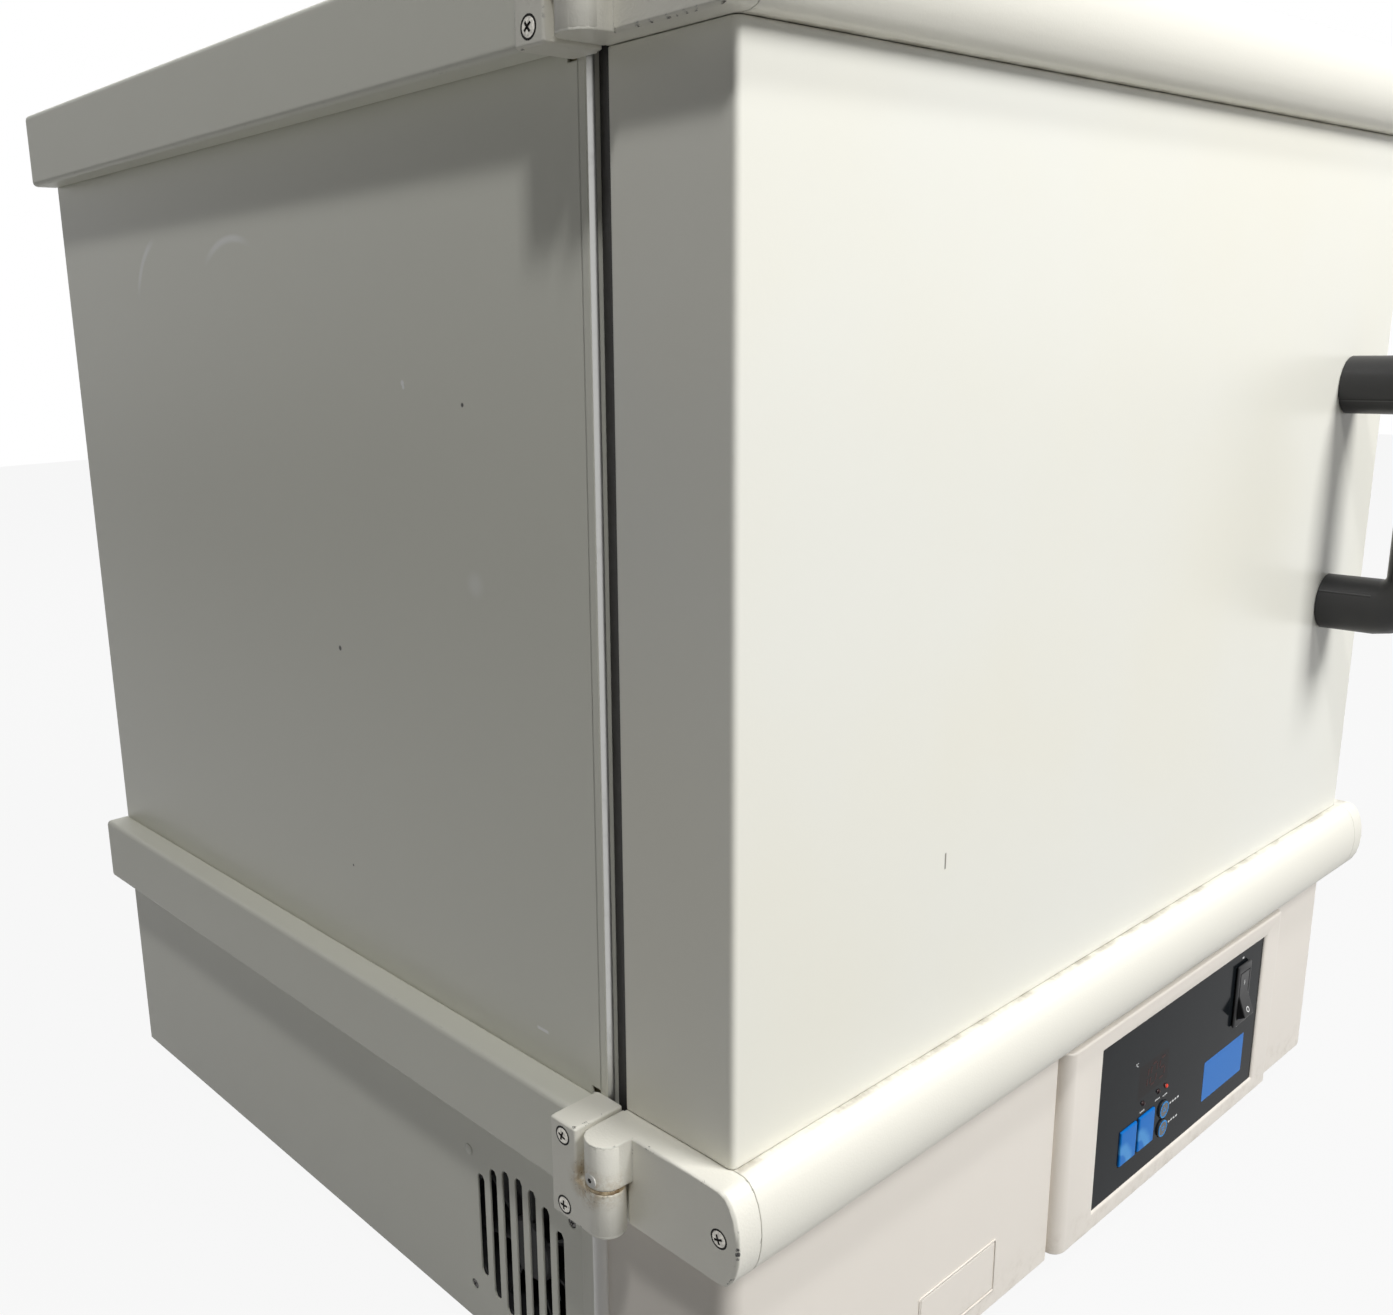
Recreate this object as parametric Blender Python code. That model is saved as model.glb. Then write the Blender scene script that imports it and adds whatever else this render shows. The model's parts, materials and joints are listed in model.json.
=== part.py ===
"""Forced-air laboratory bench oven, built as the separate pieces it is assembled from.

An insulated cabinet with a stainless chamber stands on a shallow control base.
The door hangs on two cast pin hinges at the left and carries a bow handle at the right.
Metres, +Z up, +X to the right seen from the front, the door faces -Y.
The origin is the centre of the overall box, on the surface that the feet stand on.
"""
import math

import bmesh
import bpy
from mathutils import Vector

# Fits shared by the pieces
SEAT_GAP = 0.0003
RUN_GAP = 0.0005
OVERRUN = 0.003
SHEET_T = 0.0012

# Cabinet and door block
CABINET_W = 0.623
DOOR_H = 0.436
DOOR_T = 0.063
DOOR_GAP = 0.0115
TRIM_H = 0.045
BODY_D = 0.5235
BASE_H = 0.1395
FOOT_H = 0.018
BASE_STEP = 0.003
WALL_T = 0.058
REAR_WALL_T = 0.072

# Side rails
RAIL_OUT = 0.0165
RAIL_H = 0.0434
RAIL_ROUND = 0.003
RAIL_WALL = 0.003

# Hinges: the axis lies outside the side panel and inside the door's thickness
AXIS_OUT = 0.0207
AXIS_BACK = 0.0549
KNUCKLE_R = 0.009
KNUCKLE_H = 0.0215
WASHER_T = 0.0022
PIN_R = 0.004
PIN_DEPTH = 0.016
BLOCK_OUT = 0.0288
BLOCK_D = 0.0165
BLOCK_MARGIN = 0.0017
BLOCK_ROUND = 0.0012
KNUCKLE_CLEAR = 0.0012
NOTCH_W = 0.007
NOTCH_H = 0.0035
BLOCK_HOLE_INSET = 0.0052
SET_SCREW_R = 0.0014
SET_SCREW_UP = 0.0036

# Screw holes of the hinge blocks and of the trim caps
SCREW_HOLE_R = 0.0022
SCREW_HOLE_L = 0.014

# Door trims and their end caps
NOSE_OUT = 0.0148
NOSE_START = 0.0044
TRIM_WALL = 0.0025
CAP_OUT = 0.013
CAP_IN = 0.0012
CAP_ROUND = 0.0012

# Door skin, inner pan, gasket and catch
DOOR_BEND_R = 0.003
PAN_INSET = 0.066
PAN_RAISE = 0.006
PAN_SLOPE = 0.007
PAN_ROUND = 0.014
FRAME_T = 0.005
FRAME_ROUND = 0.0012
OPENING_ROUND = 0.014
GASKET_INSET = 0.006
GASKET_W = 0.016
GASKET_ROUND = 0.018
GASKET_BULGE = 0.0012
CATCH_W = 0.020
CATCH_H = 0.050
CATCH_INSET = 0.026

# Handle
HANDLE_FROM_EDGE = 0.0606
HANDLE_LOW = 0.1543
HANDLE_SPAN = 0.1357
HANDLE_REACH = 0.066
POST_R = 0.0175
GRIP_R = 0.0158
ELBOW_R = 0.0195

# Chamber fittings
LINER_T = 0.001
DUCT_W = 0.026
DUCT_SLOT_L = 0.130
DUCT_SLOT_H = 0.007
DUCT_SLOT_ROWS = 5
DUCT_SLOT_COLUMNS = 2
PLENUM_H = 0.046
PANEL_FLANGE = 0.012
INTAKE_R = 0.060
INTAKE_SLOTS = 9
INTAKE_SLOT_W = 0.007
RUNNER_W = 0.014
RUNNER_H = 0.016
RUNNER_T = 0.0012
LOW_SHELF_UP = 0.085
SHELF_PITCH = 0.125
SHELF_FRONT_GAP = 0.024
SHELF_CLEAR = 0.0025
FRAME_WIRE_R = 0.003
ROD_R = 0.002
RODS = 15
PROBE_R = 0.0022
PROBE_L = 0.070
PROBE_COLLAR_R = 0.006
PROBE_COLLAR_T = 0.004
PROBE_DOWN = 0.050
PROBE_FROM_SIDE = 0.060

# Air circulation: wheel in the floor plenum, motor in the base, heater loop round the wheel
WHEEL_R = 0.072
WHEEL_H = 0.034
WHEEL_PLATE_T = 0.0015
WHEEL_RING_W = 0.010
WHEEL_HUB_R = 0.014
WHEEL_UP = 0.006
BLADES = 20
BLADE_T = 0.0012
BLADE_CHORD = 0.015
BLADE_LEAN = 0.005
SHAFT_R = 0.004
SHAFT_CLEAR = 0.001
MOTOR_R = 0.042
MOTOR_L = 0.074
MOTOR_FLANGE_R = 0.054
MOTOR_FLANGE_T = 0.004
MOTOR_ROUND = 0.006
MOTOR_BORE_L = 0.020
HEATER_R = 0.0035
HEATER_LOOP_R = 0.100
HEATER_LEGS_APART = 0.060
HEATER_PLATE_T = 0.003
HEATER_PLATE_MARGIN = 0.012

# Rear vent
VENT_R = 0.017
VENT_WALL = 0.0015
VENT_FLANGE_R = 0.024
VENT_FLANGE_T = 0.003
VENT_DOWN = 0.110
VENT_FROM_SIDE = 0.150
VENT_INSIDE = 0.005
DAMPER_T = 0.002
DAMPER_OFFSET = 0.036
DAMPER_BOSS_R = 0.007
DAMPER_PIN_R = 0.003
DAMPER_TAB_L = 0.011
DAMPER_TAB_W = 0.016

# Base: sheet housing, moulded front with a channel for the control bezel
FRONT_SET_BACK = 0.003
FRONT_DROP = 0.010
FRONT_WRAP = 0.0776
FRONT_WALL = 0.003
FRONT_CORNER_R = 0.011
FRONT_EDGE_R = 0.003
CHANNEL_DEPTH = 0.007
CHANNEL_FLOOR_MARGIN = 0.018
BEZEL_FROM_RIGHT = 0.0752
BEZEL_LEFT_RIM = 0.0377
BEZEL_RIGHT_RIM = 0.0273
BEZEL_PROUD = 0.0052
BEZEL_SIDE_R = 0.0077
BEZEL_REVEAL = 0.0018
BEZEL_BACK = 0.0018
BEZEL_LIP = 0.0014
WINDOW_W = 0.2125
WINDOW_UP = 0.0139
WINDOW_H = 0.1038
WINDOW_SINK = 0.0014
OVERLAY_T = 0.0022

# Vent slots fill a circle over the cooling fan
VENT_CIRCLE_R = 0.0445
VENT_FROM_FRONT = 0.1439
VENT_UP = 0.0636
VENT_SLOTS = 7
VENT_PITCH = 0.01055
VENT_SLOT_W = 0.0059
FAN_SIDE = 0.092
FAN_DEPTH = 0.025
FAN_BORE_R = 0.0432
FAN_ROUND = 0.004
FAN_HUB_R = 0.017
FAN_HUB_H = 0.016
FAN_ARM_W = 0.005
FAN_ARM_T = 0.004
FAN_HOLE_PITCH = 0.0825
FAN_HOLE_R = 0.0022
FAN_HOLE_SHOW_R = 0.0028
FAN_TIP_CLEAR = 0.0015
FAN_BLADES = 7
FAN_BLADE_T = 0.0016
FAN_BLADE_SWEEP = 0.44
FAN_PIN_R = 0.002

# Panel pieces on the overlay, placed from the window's left edge and bottom edge
KEY_W = 0.019
KEY_H = 0.0227
KEY_UP = 0.0156
MENU_KEY_ALONG = 0.0299
SET_KEY_ALONG = 0.0521
KEY_CLEAR = 0.0005
KEY_PROUD = 0.0012
KEY_DEPTH = 0.0018
KEY_ROUND = 0.0006
ROUND_KEY_R = 0.0056
ROUND_KEYS_ALONG = 0.0835
UP_KEY_UP = 0.0314
DOWN_KEY_UP = 0.0183
LAMP_R = 0.0015
LAMP_UP = 0.0469
LAMP_PROUD = 0.0008
LAMP_CLEAR = 0.0003
LAMP_PLACES = (0.0559, 0.0752, 0.0850)
SWITCH_FROM_RIGHT = 0.0397
SWITCH_W = 0.0187
SWITCH_UP = 0.0523
SWITCH_H = 0.0436
SWITCH_FLANGE_T = 0.0020
SWITCH_BODY_MARGIN = 0.0018
SWITCH_BODY_D = 0.024
SWITCH_ROUND = 0.0008
ROCKER_W = 0.0125
ROCKER_HALF_H = 0.0150
ROCKER_VERTEX = 0.0052
ROCKER_TILT = 0.175
ROCKER_CLEAR = 0.0006
ROCKER_BACK = 0.008
ROCKER_PIVOT_SINK = 0.0028

# Inside the base
BOARD_BEYOND_WINDOW = 0.0395
BOARD_H = 0.085
BOARD_T = 0.0016
BOARD_BEHIND = 0.030
BOARD_POST_R = 0.003
BOARD_POST_INSET = 0.008
BOARD_PARTS_SHARES = ((0.10, 0.20, 0.16, 0.30), (0.36, 0.25, 0.10, 0.22), (0.60, 0.15, 0.22, 0.45))
BOARD_PART_TALL = 0.014
INLET_W = 0.030
INLET_H = 0.024
INLET_FLANGE = 0.004
INLET_FLANGE_T = 0.0025
INLET_D = 0.020
INLET_WALL = 0.003
INLET_SOCKET_D = 0.015
INLET_FROM_SIDE = 0.085
INLET_UP = 0.045
INLET_PIN_W = 0.004
INLET_PIN_T = 0.002
INLET_PINS_APART = 0.007
INLET_PIN_L = 0.010
INLET_EARTH_DROP = 0.004
PAN_FLANGE = 0.012
FOOT_R = 0.017
FOOT_TAPER = 0.003
FOOT_INSET_X = 0.045
FOOT_INSET_FRONT = 0.045
FOOT_INSET_BACK = 0.045

# Smoothness of round work
CORNER_STEPS = 3
ROUND_STEPS = 24
SMALL_STEPS = 12
HOLE_STEPS = 16
SHARP_ANGLE = math.radians(35)

# Places worked out from the sizes above
OVERALL_W = AXIS_OUT + KNUCKLE_R + CABINET_W + RAIL_OUT
REAR_REACH = VENT_FLANGE_T + 2 * SEAT_GAP + DAMPER_T + DAMPER_TAB_L
OVERALL_D = HANDLE_REACH + DOOR_T + DOOR_GAP + BODY_D + REAR_REACH
LEFT = -OVERALL_W / 2 + AXIS_OUT + KNUCKLE_R
RIGHT = LEFT + CABINET_W
DOOR_FRONT = -OVERALL_D / 2 + HANDLE_REACH
DOOR_BACK = DOOR_FRONT + DOOR_T
BODY_FRONT = DOOR_BACK + DOOR_GAP
BODY_BACK = BODY_FRONT + BODY_D
FRAME_BACK = BODY_FRONT + FRAME_T
BASE_BACK = BODY_BACK + BASE_STEP
BASE_TOP = FOOT_H + BASE_H
CAB_BOTTOM = BASE_TOP
DOOR_LOW = CAB_BOTTOM + TRIM_H
DOOR_HIGH = DOOR_LOW + DOOR_H
CAB_TOP = DOOR_HIGH + TRIM_H
FRONT_FACE = DOOR_FRONT + FRONT_SET_BACK
BASE_SPLIT = DOOR_FRONT + FRONT_WRAP
FRONT_TOP = CAB_BOTTOM - FRONT_DROP
BACK_FLANGE_FRONT = BODY_BACK - SHEET_T - SEAT_GAP - SHEET_T
INNER_LEFT = LEFT + WALL_T
INNER_RIGHT = RIGHT - WALL_T
INNER_LOW = CAB_BOTTOM + WALL_T
INNER_HIGH = CAB_TOP - WALL_T
INNER_BACK = BODY_BACK - REAR_WALL_T
LINER_FRONT = FRAME_BACK + SEAT_GAP
DUCT_FRONT = LINER_FRONT + OPENING_ROUND
DUCT_BACK = INNER_BACK - SEAT_GAP
MIDDLE_X = (LEFT + RIGHT) / 2
WHEEL_Y = (LINER_FRONT + INNER_BACK) / 2
PLENUM_TOP = INNER_LOW + PLENUM_H
AXIS_X = LEFT - AXIS_OUT
AXIS_Y = DOOR_FRONT + AXIS_BACK
BLOCK_BACK = AXIS_Y + KNUCKLE_R + KNUCKLE_CLEAR + BLOCK_D + SEAT_GAP
HANDLE_X = RIGHT - HANDLE_FROM_EDGE
BEZEL_FACE = FRONT_FACE - BEZEL_PROUD
BEZEL_RIGHT = RIGHT - BEZEL_FROM_RIGHT
BEZEL_W = BEZEL_LEFT_RIM + WINDOW_W + BEZEL_RIGHT_RIM
WINDOW_X = BEZEL_RIGHT - BEZEL_RIGHT_RIM - WINDOW_W
BOARD_W = WINDOW_W + BOARD_BEYOND_WINDOW
WINDOW_Z = FOOT_H + WINDOW_UP
OVERLAY_FACE = BEZEL_FACE + WINDOW_SINK
OVERLAY_BACK = OVERLAY_FACE + OVERLAY_T
FAN_Y = DOOR_FRONT + VENT_FROM_FRONT
FAN_Z = FOOT_H + VENT_UP


def clear_scene():
    """Start from an empty scene."""
    for old in list(bpy.data.objects):
        bpy.data.objects.remove(old, do_unlink=True)


def make_finish(name, colour, roughness, metallic=0.0):
    """One Principled material, with the colour, roughness and metallic value of the real finish."""
    finish = bpy.data.materials.new(name)
    finish.use_nodes = True
    shader = finish.node_tree.nodes["Principled BSDF"]
    shader.inputs["Base Color"].default_value = (*colour, 1.0)
    shader.inputs["Roughness"].default_value = roughness
    shader.inputs["Metallic"].default_value = metallic
    return finish


def lift(outline, axis, at):
    """Put a flat outline into space: (y, z) for axis x, (x, z) for y, (x, y) for z."""
    if axis == "x":
        return [Vector((at, a, b)) for a, b in outline]
    if axis == "y":
        return [Vector((a, at, b)) for a, b in outline]
    return [Vector((a, b, at)) for a, b in outline]


def rectangle(low_a, low_b, high_a, high_b):
    return [(low_a, low_b), (high_a, low_b), (high_a, high_b), (low_a, high_b)]


def arc(centre, radius, start, end, steps):
    """Points along an arc, angles in degrees."""
    turns = [math.radians(start + (end - start) * i / steps) for i in range(steps + 1)]
    return [(centre[0] + radius * math.cos(t), centre[1] + radius * math.sin(t)) for t in turns]


def rounded_rectangle(low_a, low_b, high_a, high_b, radius, steps=CORNER_STEPS):
    corners = ((low_a + radius, low_b + radius, 180), (high_a - radius, low_b + radius, 270),
               (high_a - radius, high_b - radius, 0), (low_a + radius, high_b - radius, 90))
    points = []
    for a, b, start in corners:
        points += arc((a, b), radius, start, start + 90, steps)
    return points


def slot(centre, half_length, half_width, along_b=True, steps=CORNER_STEPS):
    """A slot with round ends, its length along the second coordinate unless told otherwise."""
    reach = half_length - half_width
    if along_b:
        return (arc((centre[0], centre[1] + reach), half_width, 0, 180, steps)
                + arc((centre[0], centre[1] - reach), half_width, 180, 360, steps))
    return (arc((centre[0] + reach, centre[1]), half_width, -90, 90, steps)
            + arc((centre[0] - reach, centre[1]), half_width, 90, 270, steps))


def circle(centre, radius, steps):
    return arc(centre, radius, 0, 360, steps)[:-1]


def add_loft(bm, loops, ring=False):
    """Bridge loops of equal count; the ends are capped, or joined to each other in a ring."""
    rows = [[bm.verts.new(point) for point in loop] for loop in loops]
    pairs = list(zip(rows, rows[1:]))
    if ring:
        pairs.append((rows[-1], rows[0]))
    for first, second in pairs:
        for i in range(len(first)):
            j = (i + 1) % len(first)
            bm.faces.new((first[i], first[j], second[j], second[i]))
    if not ring:
        bm.faces.new(rows[0])
        bm.faces.new(rows[-1])


def add_prism(bm, outline, axis, start, end):
    add_loft(bm, [lift(outline, axis, start), lift(outline, axis, end)])


def add_box(bm, low, high):
    add_prism(bm, rectangle(low[0], low[1], high[0], high[1]), "z", low[2], high[2])


def add_cylinder(bm, centre, radius, axis, start, end, steps=HOLE_STEPS):
    add_prism(bm, circle(centre, radius, steps), axis, start, end)


def add_turned(bm, centre, axis, profile, steps, ring=False):
    """Turn a profile of (place along the axis, radius) pairs about the axis."""
    loops = [lift(circle(centre, radius, steps), axis, along) for along, radius in profile]
    add_loft(bm, loops, ring)


def add_tube(bm, path, radii, sides):
    """Sweep a circle along a path of points without twist."""
    side_way = None
    loops = []
    for i, point in enumerate(path):
        ahead = path[min(i + 1, len(path) - 1)] - path[max(i - 1, 0)]
        ahead.normalize()
        if side_way is None:
            helper = Vector((0, 0, 1)) if abs(ahead.z) < abs(ahead.x) + abs(ahead.y) else Vector((1, 0, 0))
            side_way = ahead.cross(helper)
        side_way = (side_way - ahead * side_way.dot(ahead)).normalized()
        up_way = ahead.cross(side_way)
        turns = [math.tau * k / sides for k in range(sides)]
        loops.append([point + (side_way * math.cos(t) + up_way * math.sin(t)) * radii[i] for t in turns])
    add_loft(bm, loops)


def add_piece(name, bm, finish, origin=None, parent=None):
    """Turn the built faces into a named object whose own origin lies at the given place."""
    if origin is None:
        low = Vector([min(v.co[i] for v in bm.verts) for i in range(3)])
        high = Vector([max(v.co[i] for v in bm.verts) for i in range(3)])
        origin = (low + high) / 2
    origin = Vector(origin)
    bmesh.ops.recalc_face_normals(bm, faces=bm.faces)
    bmesh.ops.translate(bm, vec=-origin, verts=bm.verts)
    mesh = bpy.data.meshes.new(name)
    bm.to_mesh(mesh)
    bm.free()
    mesh.materials.append(finish)
    mesh.shade_smooth()
    mesh.set_sharp_from_angle(angle=SHARP_ANGLE)
    piece = bpy.data.objects.new(name, mesh)
    bpy.context.scene.collection.objects.link(piece)
    piece.location = origin
    if parent is not None:
        piece.parent = parent
        piece.location = origin - parent.location
    return piece


def add_axis(name, place):
    """An empty on a joint axis, which its moving pieces hang from."""
    empty = bpy.data.objects.new(name, None)
    bpy.context.scene.collection.objects.link(empty)
    empty.location = place
    return empty


def combine(piece, bm, operation, label, parent=None):
    """Cut the built faces out of a piece, or join them to it, with a live Boolean."""
    helper = add_piece(f"{piece.name}_{label}", bm, piece.data.materials[0], parent=parent)
    helper.hide_render = True
    helper.display_type = "WIRE"
    step = piece.modifiers.new(label, "BOOLEAN")
    step.operation = operation
    step.object = helper
    step.solver = "EXACT"
    return helper


def round_edges(piece, width, segments=2):
    step = piece.modifiers.new("rounding", "BEVEL")
    step.width = width
    step.segments = segments
    step.limit_method = "ANGLE"
    step.angle_limit = math.radians(50)
    return step


def build_side_panel(name, finish, outer, inward):
    """Side sheet with a return flange behind, and relief notches beside the hinges on the left."""
    inner = outer + inward * SHEET_T
    flange = outer + inward * PANEL_FLANGE
    front = FRAME_BACK + SEAT_GAP
    outline = [(outer, front), (outer, BODY_BACK), (inner, BODY_BACK),
               (inner, BACK_FLANGE_FRONT + SHEET_T), (flange, BACK_FLANGE_FRONT + SHEET_T),
               (flange, BACK_FLANGE_FRONT), (inner, BACK_FLANGE_FRONT), (inner, front)]
    bm = bmesh.new()
    add_prism(bm, outline, "z", CAB_BOTTOM, CAB_TOP)
    panel = add_piece(name, bm, finish)
    if inward > 0:
        notches = bmesh.new()
        lower = CAB_BOTTOM + RAIL_H
        upper = CAB_TOP - RAIL_H - NOTCH_H
        for z in (lower, upper):
            add_box(notches, (outer - OVERRUN, BLOCK_BACK - NOTCH_W / 2, z),
                    (outer + OVERRUN, BLOCK_BACK + NOTCH_W / 2, z + NOTCH_H))
        combine(panel, notches, "DIFFERENCE", "notches")


def build_flanged_sheet(name, finish, outer, inward):
    """Top or floor sheet between the side panels, its long edges turned towards the inside."""
    left = LEFT + SHEET_T + SEAT_GAP
    right = RIGHT - SHEET_T - SEAT_GAP
    inner = outer + inward * SHEET_T
    lip = outer + inward * PANEL_FLANGE
    outline = [(left, outer), (right, outer), (right, lip), (right - SHEET_T, lip),
               (right - SHEET_T, inner), (left + SHEET_T, inner), (left + SHEET_T, lip), (left, lip)]
    bm = bmesh.new()
    add_prism(bm, outline, "y", FRAME_BACK + SEAT_GAP, BACK_FLANGE_FRONT - SEAT_GAP)
    return add_piece(name, bm, finish)


def build_cabinet_shell(paint):
    build_side_panel("left_side_panel", paint, LEFT, 1)
    build_side_panel("right_side_panel", paint, RIGHT, -1)
    build_flanged_sheet("top_panel", paint, CAB_TOP, -1)
    floor = build_flanged_sheet("cabinet_floor", paint, CAB_BOTTOM, 1)
    hole = bmesh.new()
    add_cylinder(hole, (MIDDLE_X, WHEEL_Y), SHAFT_R + SHAFT_CLEAR, "z",
                 CAB_BOTTOM - OVERRUN, CAB_BOTTOM + SHEET_T + OVERRUN)
    combine(floor, hole, "DIFFERENCE", "shaft_hole")

    bm = bmesh.new()
    edge = SHEET_T + SEAT_GAP
    add_box(bm, (LEFT + edge, BODY_BACK - SHEET_T, CAB_BOTTOM), (RIGHT - edge, BODY_BACK, CAB_TOP))
    back = add_piece("back_panel", bm, paint)
    holes = bmesh.new()
    start, end = BODY_BACK - SHEET_T - OVERRUN, BODY_BACK + OVERRUN
    vent_x, vent_z = vent_place()
    add_cylinder(holes, (vent_x, vent_z), VENT_R + SEAT_GAP, "y", start, end, ROUND_STEPS)
    add_cylinder(holes, (vent_x + DAMPER_OFFSET, vent_z), DAMPER_PIN_R + SEAT_GAP, "y", start, end,
                 SMALL_STEPS)
    combine(back, holes, "DIFFERENCE", "vent_holes")


def build_front_frame(paint):
    """Face of the cabinet round the chamber's mouth."""
    outer = rounded_rectangle(LEFT, CAB_BOTTOM, RIGHT, CAB_TOP, FRAME_ROUND)
    inner = rounded_rectangle(INNER_LEFT, INNER_LOW, INNER_RIGHT, INNER_HIGH, OPENING_ROUND)
    edge = rounded_rectangle(LEFT + FRAME_ROUND, CAB_BOTTOM + FRAME_ROUND, RIGHT - FRAME_ROUND,
                             CAB_TOP - FRAME_ROUND, FRAME_ROUND)
    bm = bmesh.new()
    add_loft(bm, [lift(inner, "y", BODY_FRONT), lift(edge, "y", BODY_FRONT),
                  lift(outer, "y", BODY_FRONT + FRAME_ROUND), lift(outer, "y", FRAME_BACK),
                  lift(inner, "y", FRAME_BACK)], ring=True)
    add_piece("front_frame", bm, paint)


def cup(outer, inner, axis, mouth, inner_floor, outer_floor):
    """Loops of an open box: outer floor, outer mouth, inner mouth, inner floor."""
    return [lift(outer, axis, outer_floor), lift(outer, axis, mouth),
            lift(inner, axis, mouth), lift(inner, axis, inner_floor)]


def build_chamber(steel, wool):
    """Stainless liner, and the mineral wool block that it sits in."""
    inner = rounded_rectangle(INNER_LEFT, INNER_LOW, INNER_RIGHT, INNER_HIGH, OPENING_ROUND)
    outer = rounded_rectangle(INNER_LEFT - LINER_T, INNER_LOW - LINER_T, INNER_RIGHT + LINER_T,
                              INNER_HIGH + LINER_T, OPENING_ROUND + LINER_T)
    bm = bmesh.new()
    add_loft(bm, cup(outer, inner, "y", LINER_FRONT, INNER_BACK, INNER_BACK + LINER_T))
    liner = add_piece("chamber_liner", bm, steel)

    skin = LINER_T + SEAT_GAP
    cavity = rounded_rectangle(INNER_LEFT - skin, INNER_LOW - skin, INNER_RIGHT + skin,
                               INNER_HIGH + skin, OPENING_ROUND + skin)
    edge = 2 * SHEET_T + 3 * SEAT_GAP
    sheet = SHEET_T + SEAT_GAP
    block = rounded_rectangle(LEFT + edge, CAB_BOTTOM + sheet, RIGHT - edge, CAB_TOP - sheet,
                              OPENING_ROUND)
    bm = bmesh.new()
    add_loft(bm, cup(block, cavity, "y", LINER_FRONT, INNER_BACK + skin,
                     BACK_FLANGE_FRONT - SEAT_GAP))
    insulation = add_piece("body_insulation", bm, wool)

    vent_x, vent_z = vent_place()
    for piece in (liner, insulation):
        holes = bmesh.new()
        add_cylinder(holes, (MIDDLE_X, WHEEL_Y), SHAFT_R + SHAFT_CLEAR, "z",
                     CAB_BOTTOM - OVERRUN, INNER_LOW + OVERRUN)
        add_cylinder(holes, (vent_x, vent_z), VENT_R + SEAT_GAP, "y",
                     INNER_BACK - OVERRUN, BODY_BACK + OVERRUN, ROUND_STEPS)
        combine(piece, holes, "DIFFERENCE", "holes")


def build_gasket(silicone):
    """Bulb gasket that fills the gap between the door and the cabinet's face."""
    front = DOOR_BACK + SEAT_GAP
    back = BODY_FRONT - SEAT_GAP
    middle = (front + back) / 2

    def loop(inset, at):
        radius = GASKET_ROUND - (inset - GASKET_INSET) / 2
        return lift(rounded_rectangle(LEFT + inset, CAB_BOTTOM + inset, RIGHT - inset,
                                      CAB_TOP - inset, radius), "y", at)

    near, far = GASKET_INSET, GASKET_INSET + GASKET_W
    bm = bmesh.new()
    add_loft(bm, [loop(near, front), loop(near - GASKET_BULGE, middle), loop(near, back),
                  loop(far, back), loop(far + GASKET_BULGE, middle), loop(far, front)], ring=True)
    add_piece("door_gasket", bm, silicone)


def rail_outline(low, high, outer, inner, round_r):
    """Rail section: round outer edges, square inner edges."""
    outward = 1 if outer > inner else -1
    start = -90 if outward > 0 else 270
    lower = arc((outer - outward * round_r, low + round_r), round_r, start, start + outward * 90,
                CORNER_STEPS)
    upper = arc((outer - outward * round_r, high - round_r), round_r, start + outward * 90,
                start + outward * 180, CORNER_STEPS)
    return [(inner, low)] + lower + upper + [(inner, high)]


def build_rails(paint):
    """Four moulded side rails, hollow on the side that covers the panel seam."""
    spans = {"lower": (CAB_BOTTOM, CAB_BOTTOM + RAIL_H), "upper": (CAB_TOP - RAIL_H, CAB_TOP)}
    sides = {"left": (LEFT, -1, BLOCK_BACK + SEAT_GAP), "right": (RIGHT, 1, BODY_FRONT)}
    for side, (plane, outward, front) in sides.items():
        inner = plane + outward * SEAT_GAP
        outer = plane + outward * RAIL_OUT
        for level, (low, high) in spans.items():
            bm = bmesh.new()
            add_prism(bm, rail_outline(low, high, outer, inner, RAIL_ROUND), "y", front, BODY_BACK)
            rail = add_piece(f"{side}_{level}_rail", bm, paint)
            pocket = bmesh.new()
            floor = outer - outward * RAIL_WALL
            mouth = inner - outward * OVERRUN
            add_box(pocket, (min(floor, mouth), front + RAIL_WALL, low + RAIL_WALL),
                    (max(floor, mouth), BODY_BACK - RAIL_WALL, high - RAIL_WALL))
            combine(rail, pocket, "DIFFERENCE", "pocket")


def vent_place():
    return RIGHT - VENT_FROM_SIDE, CAB_TOP - VENT_DOWN


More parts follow.
